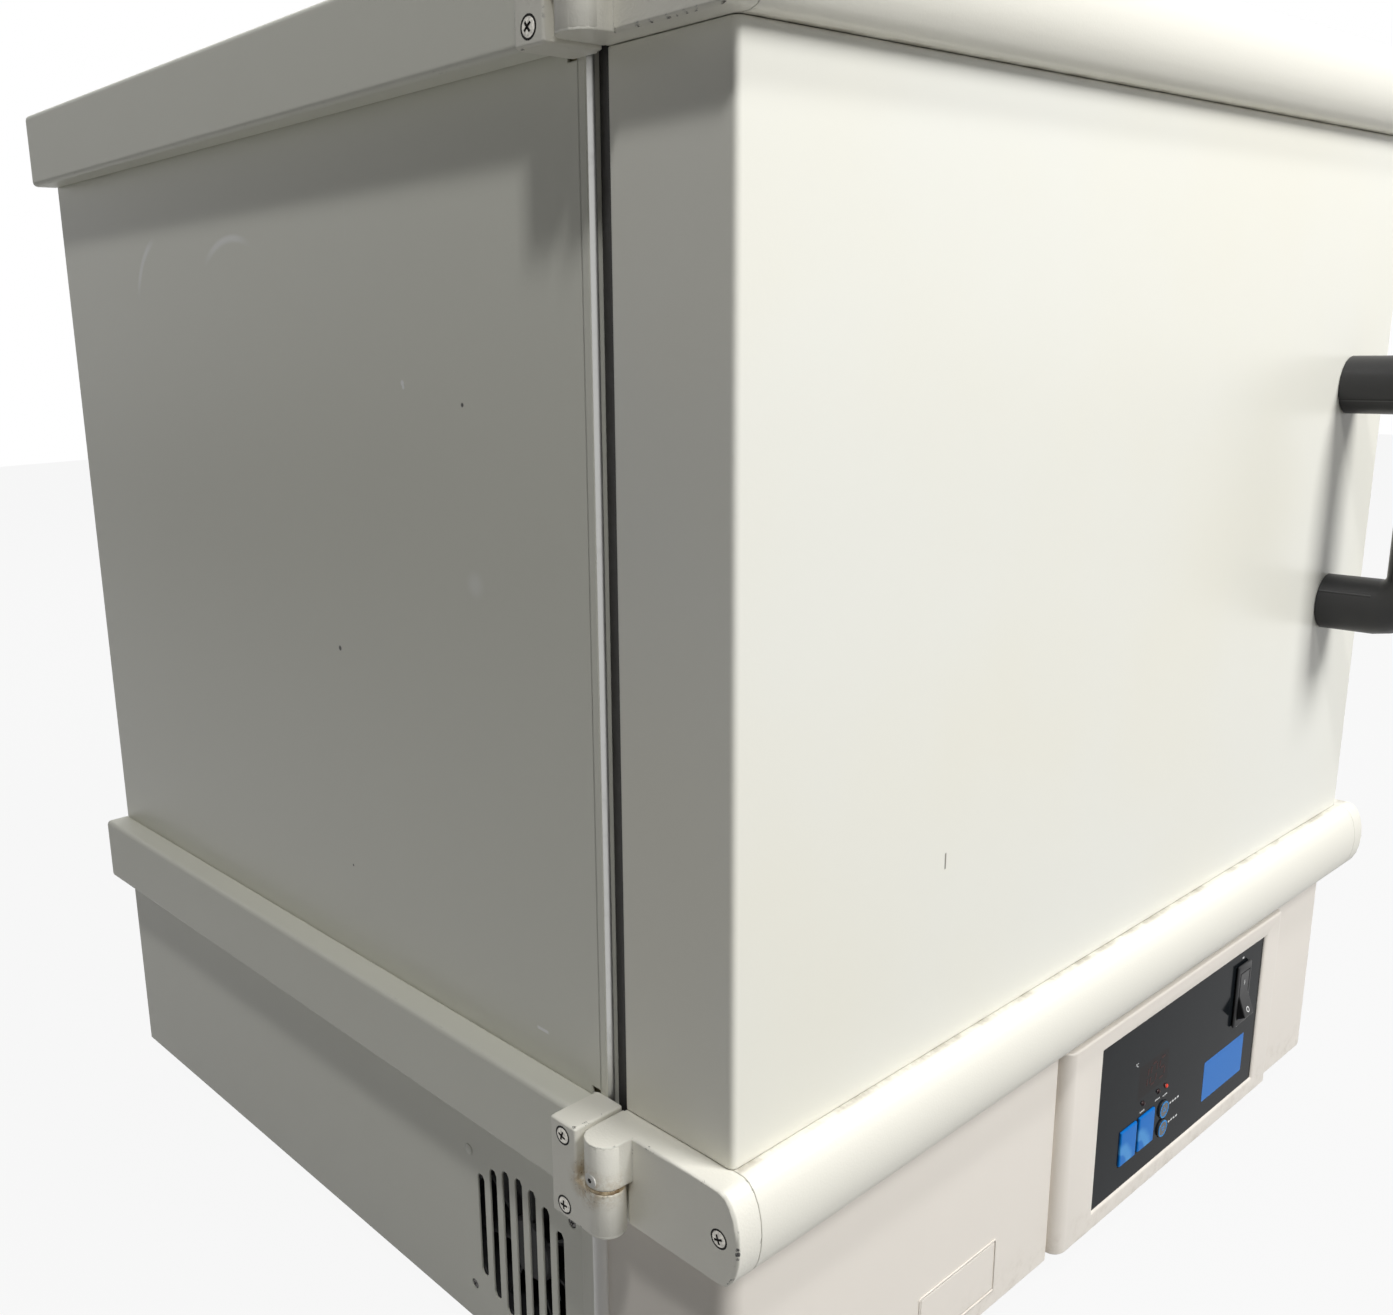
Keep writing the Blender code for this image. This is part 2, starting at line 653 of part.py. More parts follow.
def build_rear_vent(steel, damper_finish):
    """Vent tube through the rear wall and the swinging damper plate that covers it."""
    x, z = vent_place()
    start = INNER_BACK - VENT_INSIDE
    flange = BODY_BACK + SEAT_GAP
    end = flange + VENT_FLANGE_T
    bm = bmesh.new()
    profile = [(start, VENT_R), (flange, VENT_R), (flange, VENT_FLANGE_R), (end, VENT_FLANGE_R),
               (end, VENT_R - VENT_WALL), (start, VENT_R - VENT_WALL)]
    add_turned(bm, (x, z), "y", profile, ROUND_STEPS, ring=True)
    add_piece("exhaust_tube", bm, steel)

    pivot_x = x + DAMPER_OFFSET
    front = end + SEAT_GAP
    axis = add_axis("vent_damper_axis", (pivot_x, front, z))
    bm = bmesh.new()
    plate = (arc((x, z), VENT_FLANGE_R, 60, 300, HOLE_STEPS)
             + arc((pivot_x, z), DAMPER_BOSS_R, -90, 90, CORNER_STEPS * 2))
    add_prism(bm, plate, "y", front, front + DAMPER_T)
    damper = add_piece("vent_damper", bm, damper_finish, origin=axis.location, parent=axis)
    extras = bmesh.new()
    boss = [(BODY_BACK - SHEET_T / 2, DAMPER_PIN_R), (BODY_BACK + SEAT_GAP, DAMPER_PIN_R),
            (BODY_BACK + SEAT_GAP, DAMPER_BOSS_R), (front + DAMPER_T / 2, DAMPER_BOSS_R)]
    add_turned(extras, (pivot_x, z), "y", boss, SMALL_STEPS)
    edge = x - VENT_FLANGE_R / 2
    add_box(extras, (edge - DAMPER_T, front + DAMPER_T / 2, z - DAMPER_TAB_W / 2),
            (edge, front + DAMPER_T + DAMPER_TAB_L, z + DAMPER_TAB_W / 2))
    combine(damper, extras, "UNION", "boss_and_tab", parent=axis)


def build_side_ducts(steel):
    """Slotted duct walls with welded shelf runners; the web stops above the floor plenum."""
    for side, wall, inward in (("left", INNER_LEFT, 1), ("right", INNER_RIGHT, -1)):
        bm = bmesh.new()
        slots = bmesh.new()
        near = wall + inward * SEAT_GAP
        face = wall + inward * DUCT_W
        back_face = face - inward * SHEET_T
        outline = [(near, DUCT_FRONT), (face, DUCT_FRONT), (face, DUCT_BACK), (near, DUCT_BACK),
                   (near, DUCT_BACK - SHEET_T), (back_face, DUCT_BACK - SHEET_T),
                   (back_face, DUCT_FRONT + SHEET_T), (near, DUCT_FRONT + SHEET_T)]
        top = INNER_HIGH - OPENING_ROUND
        add_prism(bm, outline, "z", INNER_LOW + OPENING_ROUND, top)
        ends = sorted((back_face - inward * OVERRUN, face + inward * OVERRUN))
        add_box(slots, (ends[0], DUCT_FRONT + PANEL_FLANGE, INNER_LOW),
                (ends[1], DUCT_BACK - PANEL_FLANGE, PLENUM_TOP - SHEET_T))
        row_pitch = (top - PLENUM_TOP) / DUCT_SLOT_ROWS
        column_pitch = (DUCT_BACK - DUCT_FRONT) / DUCT_SLOT_COLUMNS
        for row in range(DUCT_SLOT_ROWS):
            for column in range(DUCT_SLOT_COLUMNS):
                centre = (DUCT_FRONT + (column + 0.5) * column_pitch,
                          PLENUM_TOP + (row + 0.25) * row_pitch)
                outline = slot(centre, DUCT_SLOT_L / 2, DUCT_SLOT_H / 2, along_b=False)
                add_prism(slots, outline, "x", *ends)
        duct = add_piece(f"{side}_duct_panel", bm, steel)
        combine(duct, slots, "DIFFERENCE", "slots")
        runners = bmesh.new()
        for z in shelf_levels():
            tip = face + inward * RUNNER_W
            web = face + inward * RUNNER_T
            root = face - inward * SHEET_T / 2
            outline = [(root, z), (tip, z), (tip, z - RUNNER_T), (web, z - RUNNER_T),
                       (web, z - RUNNER_H), (root, z - RUNNER_H)]
            add_prism(runners, outline, "y", DUCT_FRONT + PANEL_FLANGE, DUCT_BACK - PANEL_FLANGE)
        combine(duct, runners, "UNION", "runners")


def build_floor_duct(steel):
    """False floor over the blower, with a slotted round intake in the middle."""
    left = INNER_LEFT + DUCT_W + SEAT_GAP
    right = INNER_RIGHT - DUCT_W - SEAT_GAP
    low = INNER_LOW + SEAT_GAP
    outline = [(DUCT_FRONT, low), (DUCT_FRONT, PLENUM_TOP), (DUCT_BACK, PLENUM_TOP), (DUCT_BACK, low),
               (DUCT_BACK - SHEET_T, low), (DUCT_BACK - SHEET_T, PLENUM_TOP - SHEET_T),
               (DUCT_FRONT + SHEET_T, PLENUM_TOP - SHEET_T), (DUCT_FRONT + SHEET_T, low)]
    bm = bmesh.new()
    add_prism(bm, outline, "x", left, right)
    panel = add_piece("floor_duct_panel", bm, steel)
    holes = bmesh.new()
    pitch = 2 * INTAKE_R / INTAKE_SLOTS
    for i in range(INTAKE_SLOTS):
        offset = (i - (INTAKE_SLOTS - 1) / 2) * pitch
        half = math.sqrt(INTAKE_R ** 2 - offset ** 2)
        add_prism(holes, slot((MIDDLE_X + offset, WHEEL_Y), half, INTAKE_SLOT_W / 2), "z",
                  PLENUM_TOP - SHEET_T - OVERRUN, PLENUM_TOP + OVERRUN)
    combine(panel, holes, "DIFFERENCE", "intake")


def shelf_levels():
    return [PLENUM_TOP + LOW_SHELF_UP + i * SHELF_PITCH for i in range(2)]


def build_shelf(name, z, steel):
    """Wire shelf: a bent frame of thick wire with thinner rods welded across its top."""
    axis = add_axis(f"{name}_axis", (MIDDLE_X, WHEEL_Y, z))
    left = INNER_LEFT + DUCT_W + SHELF_CLEAR + FRAME_WIRE_R
    right = INNER_RIGHT - DUCT_W - SHELF_CLEAR - FRAME_WIRE_R
    back = DUCT_BACK - SHELF_CLEAR - FRAME_WIRE_R
    front = DUCT_FRONT + SHELF_FRONT_GAP + FRAME_WIRE_R
    wire_z = z + SEAT_GAP + FRAME_WIRE_R
    corner = FRAME_WIRE_R * 4
    loops = []
    sides = 8
    for k in range(sides):
        turn = math.tau * (k + 0.5) / sides
        out = FRAME_WIRE_R * math.cos(turn)
        outline = rounded_rectangle(left - out, front - out, right + out, back + out, corner + out)
        loops.append(lift(outline, "z", wire_z + FRAME_WIRE_R * math.sin(turn)))
    bm = bmesh.new()
    add_loft(bm, loops, ring=True)
    shelf = add_piece(name, bm, steel, origin=axis.location, parent=axis)
    rods = bmesh.new()
    pitch = (right - left) / (RODS + 1)
    rod_z = wire_z + FRAME_WIRE_R
    for i in range(1, RODS + 1):
        x = left + i * pitch
        path = [Vector((x, front - ROD_R, rod_z)), Vector((x, back + ROD_R, rod_z))]
        add_tube(rods, path, [ROD_R, ROD_R], 6)
    combine(shelf, rods, "UNION", "rods", parent=axis)


def build_probe(steel):
    """Temperature probe with its collar seated on the chamber's rear wall."""
    x = INNER_LEFT + PROBE_FROM_SIDE
    z = INNER_HIGH - PROBE_DOWN
    back = INNER_BACK - SEAT_GAP
    profile = [(back, PROBE_COLLAR_R), (back - PROBE_COLLAR_T, PROBE_COLLAR_R),
               (back - PROBE_COLLAR_T, PROBE_R), (back - PROBE_L + PROBE_R, PROBE_R),
               (back - PROBE_L, PROBE_R / 2)]
    bm = bmesh.new()
    add_turned(bm, (x, z), "y", profile, SMALL_STEPS)
    add_piece("temperature_probe", bm, steel)


def build_heater(steel):
    """Tubular element: a loop round the wheel, its two legs held by a plate at the rear wall."""
    z = INNER_LOW + WHEEL_UP + WHEEL_H / 2
    plate_front = DUCT_BACK - SHEET_T - SEAT_GAP - HEATER_PLATE_T
    gap_angle = math.degrees(math.asin(HEATER_LEGS_APART / 2 / HEATER_LOOP_R))
    steps = 20
    ring = arc((MIDDLE_X, WHEEL_Y), HEATER_LOOP_R, 90 + gap_angle, 450 - gap_angle, steps)
    path = [Vector((MIDDLE_X - HEATER_LEGS_APART / 2, plate_front + HEATER_PLATE_T / 2, z))]
    path += [Vector((x, y, z)) for x, y in ring]
    path.append(Vector((MIDDLE_X + HEATER_LEGS_APART / 2, plate_front + HEATER_PLATE_T / 2, z)))
    bm = bmesh.new()
    add_tube(bm, path, [HEATER_R] * len(path), 8)
    heater = add_piece("heating_element", bm, steel)
    plate = bmesh.new()
    reach = HEATER_LEGS_APART / 2 + HEATER_PLATE_MARGIN
    outline = rounded_rectangle(MIDDLE_X - reach, INNER_LOW + SEAT_GAP, MIDDLE_X + reach,
                                z + HEATER_PLATE_MARGIN, HEATER_R)
    add_prism(plate, outline, "y", plate_front, plate_front + HEATER_PLATE_T)
    combine(heater, plate, "UNION", "plate")


def build_blower(steel, motor_finish):
    """Forward-curved wheel in the plenum, turned by a motor that hangs in the base."""
    low = INNER_LOW + WHEEL_UP
    axis = add_axis("blower_axis", (MIDDLE_X, WHEEL_Y, low))
    flange_top = CAB_BOTTOM - SEAT_GAP
    shaft_low = flange_top - MOTOR_BORE_L + RUN_GAP
    centre = (MIDDLE_X, WHEEL_Y)
    profile = [(shaft_low, SHAFT_R), (low - RUN_GAP, SHAFT_R), (low, WHEEL_R), (low + WHEEL_PLATE_T, WHEEL_R),
               (low + WHEEL_PLATE_T, WHEEL_HUB_R), (low + WHEEL_H / 2, WHEEL_HUB_R * 0.8)]
    bm = bmesh.new()
    add_turned(bm, centre, "z", profile, BLADES * 2)
    wheel = add_piece("blower_wheel", bm, steel, origin=axis.location, parent=axis)

    blades = bmesh.new()
    outer_r = WHEEL_R - BLADE_T
    top = low + WHEEL_H
    for i in range(BLADES):
        turn = math.tau * (i + 0.5) / BLADES

        def spot(radius, lean):
            angle = turn + lean / radius
            return MIDDLE_X + radius * math.cos(angle), WHEEL_Y + radius * math.sin(angle)

        middle_r = outer_r - BLADE_CHORD / 2
        inner_r = outer_r - BLADE_CHORD
        half = BLADE_T / 2
        outline = [spot(inner_r, -half), spot(middle_r, BLADE_LEAN / 3 - half),
                   spot(outer_r, BLADE_LEAN - half), spot(outer_r, BLADE_LEAN + half),
                   spot(middle_r, BLADE_LEAN / 3 + half), spot(inner_r, half)]
        add_prism(blades, outline, "z", low + WHEEL_PLATE_T / 2, top - WHEEL_PLATE_T / 2)
    combine(wheel, blades, "UNION", "blades", parent=axis)
    ring = bmesh.new()
    loops = [(top - WHEEL_PLATE_T, WHEEL_R), (top, WHEEL_R), (top, WHEEL_R - WHEEL_RING_W),
             (top - WHEEL_PLATE_T, WHEEL_R - WHEEL_RING_W)]
    add_turned(ring, centre, "z", loops, BLADES * 2, ring=True)
    combine(wheel, ring, "UNION", "shroud", parent=axis)

    bm = bmesh.new()
    flange_low = flange_top - MOTOR_FLANGE_T
    body_low = flange_low - MOTOR_L
    profile = [(body_low, MOTOR_R / 3), (body_low, MOTOR_R - MOTOR_ROUND), (body_low + MOTOR_ROUND, MOTOR_R),
               (flange_low, MOTOR_R), (flange_low, MOTOR_FLANGE_R), (flange_top, MOTOR_FLANGE_R),
               (flange_top, SHAFT_R + RUN_GAP), (flange_top - MOTOR_BORE_L, SHAFT_R + RUN_GAP)]
    add_turned(bm, centre, "z", profile, ROUND_STEPS)
    add_piece("blower_motor", bm, motor_finish)


def nose_outline(edge, outward, inset):
    """Trim section in (y, z): flat back and faces, rounded nose in front."""
    near = edge + outward * (SEAT_GAP + inset)
    far = edge + outward * (TRIM_H - inset)
    middle = (near + far) / 2
    start = DOOR_FRONT - NOSE_START
    reach = NOSE_OUT - NOSE_START - inset
    half = (far - near) / 2
    steps = 10
    nose = []
    for i in range(steps + 1):
        turn = math.pi * i / steps
        nose.append((start - reach * math.sin(turn), middle + half * math.cos(turn)))
    return [(DOOR_BACK - inset, far)] + nose + [(DOOR_BACK - inset, near)]


def knuckle_outline(back_y, reach_x):
    """Plan of a knuckle: round in front and outside, straight back to its carrier."""
    return (arc((AXIS_X, AXIS_Y), KNUCKLE_R, 90, 270, 8)
            + [(reach_x, AXIS_Y - KNUCKLE_R), (reach_x, back_y)])


def build_hinge(level, edge, outward, paint, axis):
    """Hinge cap with its moving knuckle; outward is away from the door panel, up or down."""
    def at(distance):
        return edge + outward * distance

    bm = bmesh.new()
    section = nose_outline(edge, outward, 0)
    chamfer = nose_outline(edge, outward, CAP_ROUND)
    inner_x = LEFT + CAP_IN
    add_loft(bm, [lift(chamfer, "x", LEFT - CAP_OUT), lift(section, "x", LEFT - CAP_OUT + CAP_ROUND),
                  lift(section, "x", inner_x)])
    cap = add_piece(f"{level}_hinge_cap", bm, paint, origin=axis.location, parent=axis)

    knuckle = bmesh.new()
    span = sorted((at(SEAT_GAP), at(KNUCKLE_H)))
    add_prism(knuckle, knuckle_outline(AXIS_Y + KNUCKLE_R, LEFT - CAP_ROUND), "z", *span)
    combine(cap, knuckle, "UNION", "knuckle", parent=axis)

    relief = bmesh.new()
    inside, outside = sorted((at(KNUCKLE_H), at(TRIM_H + OVERRUN)))
    clear_r = KNUCKLE_R + KNUCKLE_CLEAR
    outline = (arc((AXIS_X, AXIS_Y), clear_r, 180, 360, 12)
               + [(AXIS_X + clear_r, DOOR_BACK + OVERRUN), (AXIS_X - clear_r, DOOR_BACK + OVERRUN)])
    add_prism(relief, outline, "z", inside, outside)
    combine(cap, relief, "DIFFERENCE", "knuckle_relief", parent=axis)

    bores = bmesh.new()
    start, end = sorted((at(KNUCKLE_H - PIN_DEPTH), at(KNUCKLE_H + OVERRUN)))
    add_cylinder(bores, (AXIS_X, AXIS_Y), PIN_R + SEAT_GAP, "z", start, end)
    screw_z = at(KNUCKLE_H - SET_SCREW_UP)
    add_cylinder(bores, (AXIS_Y, screw_z), SET_SCREW_R, "x",
                 AXIS_X - KNUCKLE_R - OVERRUN, AXIS_X - PIN_R, SMALL_STEPS)
    nose_z = at(TRIM_H / 2)
    add_cylinder(bores, (DOOR_FRONT - NOSE_START, nose_z), SCREW_HOLE_R, "x",
                 LEFT - CAP_OUT - OVERRUN, LEFT + CAP_IN + OVERRUN, SMALL_STEPS)
    combine(cap, bores, "DIFFERENCE", "bores", parent=axis)


def build_fixed_hinge(level, edge, outward, paint):
    """Fixed block: an upright on the rail's end, and a foot that carries the outer knuckle."""
    def at(distance):
        return edge + outward * distance

    inner_x = LEFT - SEAT_GAP
    outer_x = LEFT - BLOCK_OUT
    front = BLOCK_BACK - SEAT_GAP - BLOCK_D
    back = BLOCK_BACK - SEAT_GAP
    low, high = sorted((at(-BLOCK_MARGIN), at(TRIM_H + BLOCK_MARGIN)))
    bm = bmesh.new()
    outline = rounded_rectangle(outer_x, front, inner_x, back, BLOCK_ROUND)
    slim = rounded_rectangle(outer_x + BLOCK_ROUND, front + BLOCK_ROUND, inner_x - BLOCK_ROUND,
                             back - BLOCK_ROUND, BLOCK_ROUND)
    add_loft(bm, [lift(slim, "z", low), lift(outline, "z", low + BLOCK_ROUND),
                  lift(outline, "z", high - BLOCK_ROUND), lift(slim, "z", high)])
    block = add_piece(f"{level}_hinge_block", bm, paint)

    foot = bmesh.new()
    plan = (arc((AXIS_X, AXIS_Y), KNUCKLE_R, 180, 360, 12)
            + [(AXIS_X + KNUCKLE_R, front + BLOCK_D / 2), (AXIS_X - KNUCKLE_R + BLOCK_ROUND, front + BLOCK_D / 2)])
    span = sorted((at(KNUCKLE_H + WASHER_T), at(TRIM_H)))
    add_prism(foot, plan, "z", *span)
    combine(block, foot, "UNION", "foot")

    bores = bmesh.new()
    start, end = sorted((at(KNUCKLE_H + WASHER_T - OVERRUN), at(KNUCKLE_H + WASHER_T + PIN_DEPTH)))
    add_cylinder(bores, (AXIS_X, AXIS_Y), PIN_R + SEAT_GAP, "z", start, end)
    middle_y = (front + back) / 2
    for distance in (BLOCK_HOLE_INSET, TRIM_H - BLOCK_HOLE_INSET):
        add_cylinder(bores, (middle_y, at(distance)), SCREW_HOLE_R, "x",
                     outer_x - OVERRUN, outer_x + SCREW_HOLE_L, SMALL_STEPS)
    combine(block, bores, "DIFFERENCE", "bores")


def build_hinge_hardware(steel, beige, axis):
    """Pin and nylon washer of each hinge; the pins turn with the door."""
    for level, edge, outward in (("lower", DOOR_LOW, -1), ("upper", DOOR_HIGH, 1)):
        start = edge + outward * (KNUCKLE_H - PIN_DEPTH + SEAT_GAP)
        end = edge + outward * (KNUCKLE_H + WASHER_T + PIN_DEPTH - SEAT_GAP)
        bm = bmesh.new()
        add_cylinder(bm, (AXIS_X, AXIS_Y), PIN_R, "z", *sorted((start, end)))
        add_piece(f"{level}_hinge_pin", bm, steel, origin=axis.location, parent=axis)
        low, high = sorted((edge + outward * (KNUCKLE_H + SEAT_GAP),
                            edge + outward * (KNUCKLE_H + WASHER_T - SEAT_GAP)))
        ring = [(low, KNUCKLE_R), (high, KNUCKLE_R), (high, PIN_R + SEAT_GAP), (low, PIN_R + SEAT_GAP)]
        bm = bmesh.new()
        add_turned(bm, (AXIS_X, AXIS_Y), "z", ring, HOLE_STEPS, ring=True)
        add_piece(f"{level}_hinge_washer", bm, beige)


def build_trims(paint, axis):
    """Hollow nose trims above and below the door panel, and their plain caps at the free edge."""
    start = LEFT + CAP_IN + SEAT_GAP
    end = RIGHT - CAP_IN - SEAT_GAP
    for level, edge, outward in (("bottom", DOOR_LOW, -1), ("top", DOOR_HIGH, 1)):
        outer = nose_outline(edge, outward, 0)
        inner = nose_outline(edge, outward, TRIM_WALL)
        bm = bmesh.new()
        add_loft(bm, [lift(outer, "x", start), lift(outer, "x", end),
                      lift(inner, "x", end), lift(inner, "x", start)], ring=True)
        add_piece(f"door_{level}_trim", bm, paint, origin=axis.location, parent=axis)
        chamfer = nose_outline(edge, outward, CAP_ROUND)
        bm = bmesh.new()
        add_loft(bm, [lift(outer, "x", RIGHT - CAP_IN),
                      lift(outer, "x", RIGHT + CAP_OUT - CAP_ROUND),
                      lift(chamfer, "x", RIGHT + CAP_OUT)])
        cap = add_piece(f"{level}_end_cap", bm, paint, origin=axis.location, parent=axis)
        hole = bmesh.new()
        add_cylinder(hole, (DOOR_FRONT - NOSE_START, edge + outward * TRIM_H / 2), SCREW_HOLE_R,
                     "x", RIGHT - CAP_IN - OVERRUN, RIGHT + CAP_OUT + OVERRUN, SMALL_STEPS)
        combine(cap, hole, "DIFFERENCE", "screw_hole", parent=axis)


def build_door_panels(paint, steel, wool, axis):
    """Bent outer skin, wool block and the raised inner pan of the door."""
    bend = [(LEFT, DOOR_BACK)] + arc((LEFT + DOOR_BEND_R, DOOR_FRONT + DOOR_BEND_R), DOOR_BEND_R,
                                     180, 270, CORNER_STEPS)
    bend += arc((RIGHT - DOOR_BEND_R, DOOR_FRONT + DOOR_BEND_R), DOOR_BEND_R, 270, 360, CORNER_STEPS)
    bend.append((RIGHT, DOOR_BACK))
    inner_r = DOOR_BEND_R - SHEET_T
    inside = [(LEFT + SHEET_T, DOOR_BACK)]
    inside += arc((LEFT + DOOR_BEND_R, DOOR_FRONT + DOOR_BEND_R), inner_r, 180, 270, CORNER_STEPS)
    inside += arc((RIGHT - DOOR_BEND_R, DOOR_FRONT + DOOR_BEND_R), inner_r, 270, 360, CORNER_STEPS)
    inside.append((RIGHT - SHEET_T, DOOR_BACK))
    bm = bmesh.new()
    add_prism(bm, bend + inside[::-1], "z", DOOR_LOW, DOOR_HIGH)
    add_piece("door_outer_panel", bm, paint, origin=axis.location, parent=axis)

    edge = SHEET_T + SEAT_GAP
    rim = rounded_rectangle(LEFT + edge, DOOR_LOW + SEAT_GAP, RIGHT - edge, DOOR_HIGH - SEAT_GAP,
                            DOOR_BEND_R)

    def pan(inset, at):
        low = CAB_BOTTOM + inset
        return lift(rounded_rectangle(LEFT + inset, low, RIGHT - inset, CAB_TOP - inset, PAN_ROUND),
                    "y", at)

    top_inset = PAN_INSET + PAN_SLOPE
    bm = bmesh.new()
    add_loft(bm, [pan(top_inset, DOOR_BACK + PAN_RAISE - SHEET_T), pan(PAN_INSET, DOOR_BACK - SHEET_T),
                  lift(rim, "y", DOOR_BACK - SHEET_T), lift(rim, "y", DOOR_BACK),
                  pan(PAN_INSET, DOOR_BACK), pan(top_inset, DOOR_BACK + PAN_RAISE)])
    add_piece("door_inner_panel", bm, steel, origin=axis.location, parent=axis)

    bm = bmesh.new()
    add_box(bm, (LEFT + edge, DOOR_FRONT + edge, DOOR_LOW + SEAT_GAP),
            (RIGHT - edge, DOOR_BACK - edge, DOOR_HIGH - SEAT_GAP))
    fill = add_piece("door_insulation", bm, wool, origin=axis.location, parent=axis)
    round_edges(fill, DOOR_BEND_R, 1)


def build_catch(black):
    """Magnet block on the cabinet's face, which holds the door's steel inner pan."""
    middle = (CAB_BOTTOM + CAB_TOP) / 2
    right = RIGHT - CATCH_INSET
    bm = bmesh.new()
    add_box(bm, (right - CATCH_W, DOOR_BACK + SEAT_GAP, middle - CATCH_H / 2),
            (right, BODY_FRONT - SEAT_GAP, middle + CATCH_H / 2))
    magnet = add_piece("magnetic_catch", bm, black)
    round_edges(magnet, KEY_ROUND, 1)


def build_handle(charcoal, axis):
    """Bow handle: two round posts and a slightly slimmer upright grip, turned at tight elbows."""
    low = DOOR_LOW + HANDLE_LOW
    high = low + HANDLE_SPAN
    grip_y = DOOR_FRONT - HANDLE_REACH + GRIP_R
    turn_y = grip_y + ELBOW_R
    seat = DOOR_FRONT - SEAT_GAP
    steps = 6
    lower = arc((turn_y, low + ELBOW_R), ELBOW_R, 270, 180, steps)
    upper = arc((turn_y, high - ELBOW_R), ELBOW_R, 180, 90, steps)
    section = [(seat, low), (seat - ELBOW_R / 2, low)] + lower
    section += [(grip_y, (low + high) / 2)] + upper + [(seat - ELBOW_R / 2, high), (seat, high)]
    path = [Vector((HANDLE_X, y, z)) for y, z in section]
    radii = [POST_R, POST_R]
    radii += [POST_R + (GRIP_R - POST_R) * i / steps for i in range(steps + 1)]
    radii += [GRIP_R]
    radii += [GRIP_R + (POST_R - GRIP_R) * i / steps for i in range(steps + 1)]
    radii += [POST_R, POST_R]
    bm = bmesh.new()
    add_tube(bm, path, radii, HOLE_STEPS + 4)
    add_piece("handle", bm, charcoal, origin=axis.location, parent=axis)


def add_vent_slots(bm, plane):
    """Upright slots cut through a side sheet, together filling a circle."""
    for i in range(VENT_SLOTS):
        offset = (i - (VENT_SLOTS - 1) / 2) * VENT_PITCH
        half = math.sqrt(VENT_CIRCLE_R ** 2 - offset ** 2)
        outline = slot((FAN_Y + offset, FAN_Z), half, VENT_SLOT_W / 2)
        add_prism(bm, outline, "x", plane - OVERRUN, plane + OVERRUN)


def inlet_place():
    return RIGHT - INLET_FROM_SIDE, FOOT_H + INLET_UP


def build_base_housing(paint, pan_finish):
    """Sheet wrapper of the base with vent slots in both sides, and the tray that closes it below."""
    front = BASE_SPLIT + SEAT_GAP
    top = BASE_TOP - SEAT_GAP
    outline = [(LEFT, front), (LEFT, BASE_BACK), (RIGHT, BASE_BACK), (RIGHT, front),
               (RIGHT - SHEET_T, front), (RIGHT - SHEET_T, BASE_BACK - SHEET_T),
               (LEFT + SHEET_T, BASE_BACK - SHEET_T), (LEFT + SHEET_T, front)]
    bm = bmesh.new()
    add_prism(bm, outline, "z", FOOT_H, top)
    housing = add_piece("base_housing", bm, paint)
    holes = bmesh.new()
    for plane in (LEFT, RIGHT):
        add_vent_slots(holes, plane)
    half = FAN_HOLE_PITCH / 2
    for y in (FAN_Y - half, FAN_Y + half):
        for z in (FAN_Z - half, FAN_Z + half):
            add_cylinder(holes, (y, z), FAN_HOLE_SHOW_R, "x", LEFT - OVERRUN, LEFT + OVERRUN,
                         SMALL_STEPS)
    x, z = inlet_place()
    add_box(holes, (x - INLET_W / 2 - SEAT_GAP, BASE_BACK - OVERRUN, z - INLET_H / 2 - SEAT_GAP),
            (x + INLET_W / 2 + SEAT_GAP, BASE_BACK + OVERRUN, z + INLET_H / 2 + SEAT_GAP))
    combine(housing, holes, "DIFFERENCE", "openings")

    edge = SHEET_T + SEAT_GAP
    outer = rectangle(LEFT + edge, front, RIGHT - edge, BASE_BACK - edge)
    inner = rectangle(LEFT + edge + SHEET_T, front + SHEET_T, RIGHT - edge - SHEET_T,
                      BASE_BACK - edge - SHEET_T)
    bm = bmesh.new()
    add_loft(bm, cup(outer, inner, "z", FOOT_H + PAN_FLANGE, FOOT_H + SHEET_T, FOOT_H))
    add_piece("base_floor_pan", bm, pan_finish)


def front_outline(inset, back):
    """Plan of the moulded front: round corners, and a channel that takes the bezel."""
    face = FRONT_FACE + inset
    corner = FRONT_CORNER_R - inset
    left, right = LEFT + inset, RIGHT - inset
    channel_left = BEZEL_RIGHT - BEZEL_W - BEZEL_REVEAL - inset
    channel_right = BEZEL_RIGHT + BEZEL_REVEAL + inset
    floor = FRONT_FACE + CHANNEL_DEPTH + inset
    edge = FRONT_EDGE_R
    points = [(left, back)]
    points += arc((left + corner, face + corner), corner, 180, 270, CORNER_STEPS + 1)
    points += arc((channel_left - edge, face + edge), edge, 270, 360, CORNER_STEPS)
    points += [(channel_left, floor), (channel_right, floor)]
    points += arc((channel_right + edge, face + edge), edge, 180, 270, CORNER_STEPS)
    points += arc((right - corner, face + corner), corner, 270, 360, CORNER_STEPS + 1)
    points.append((right, back))
    return points


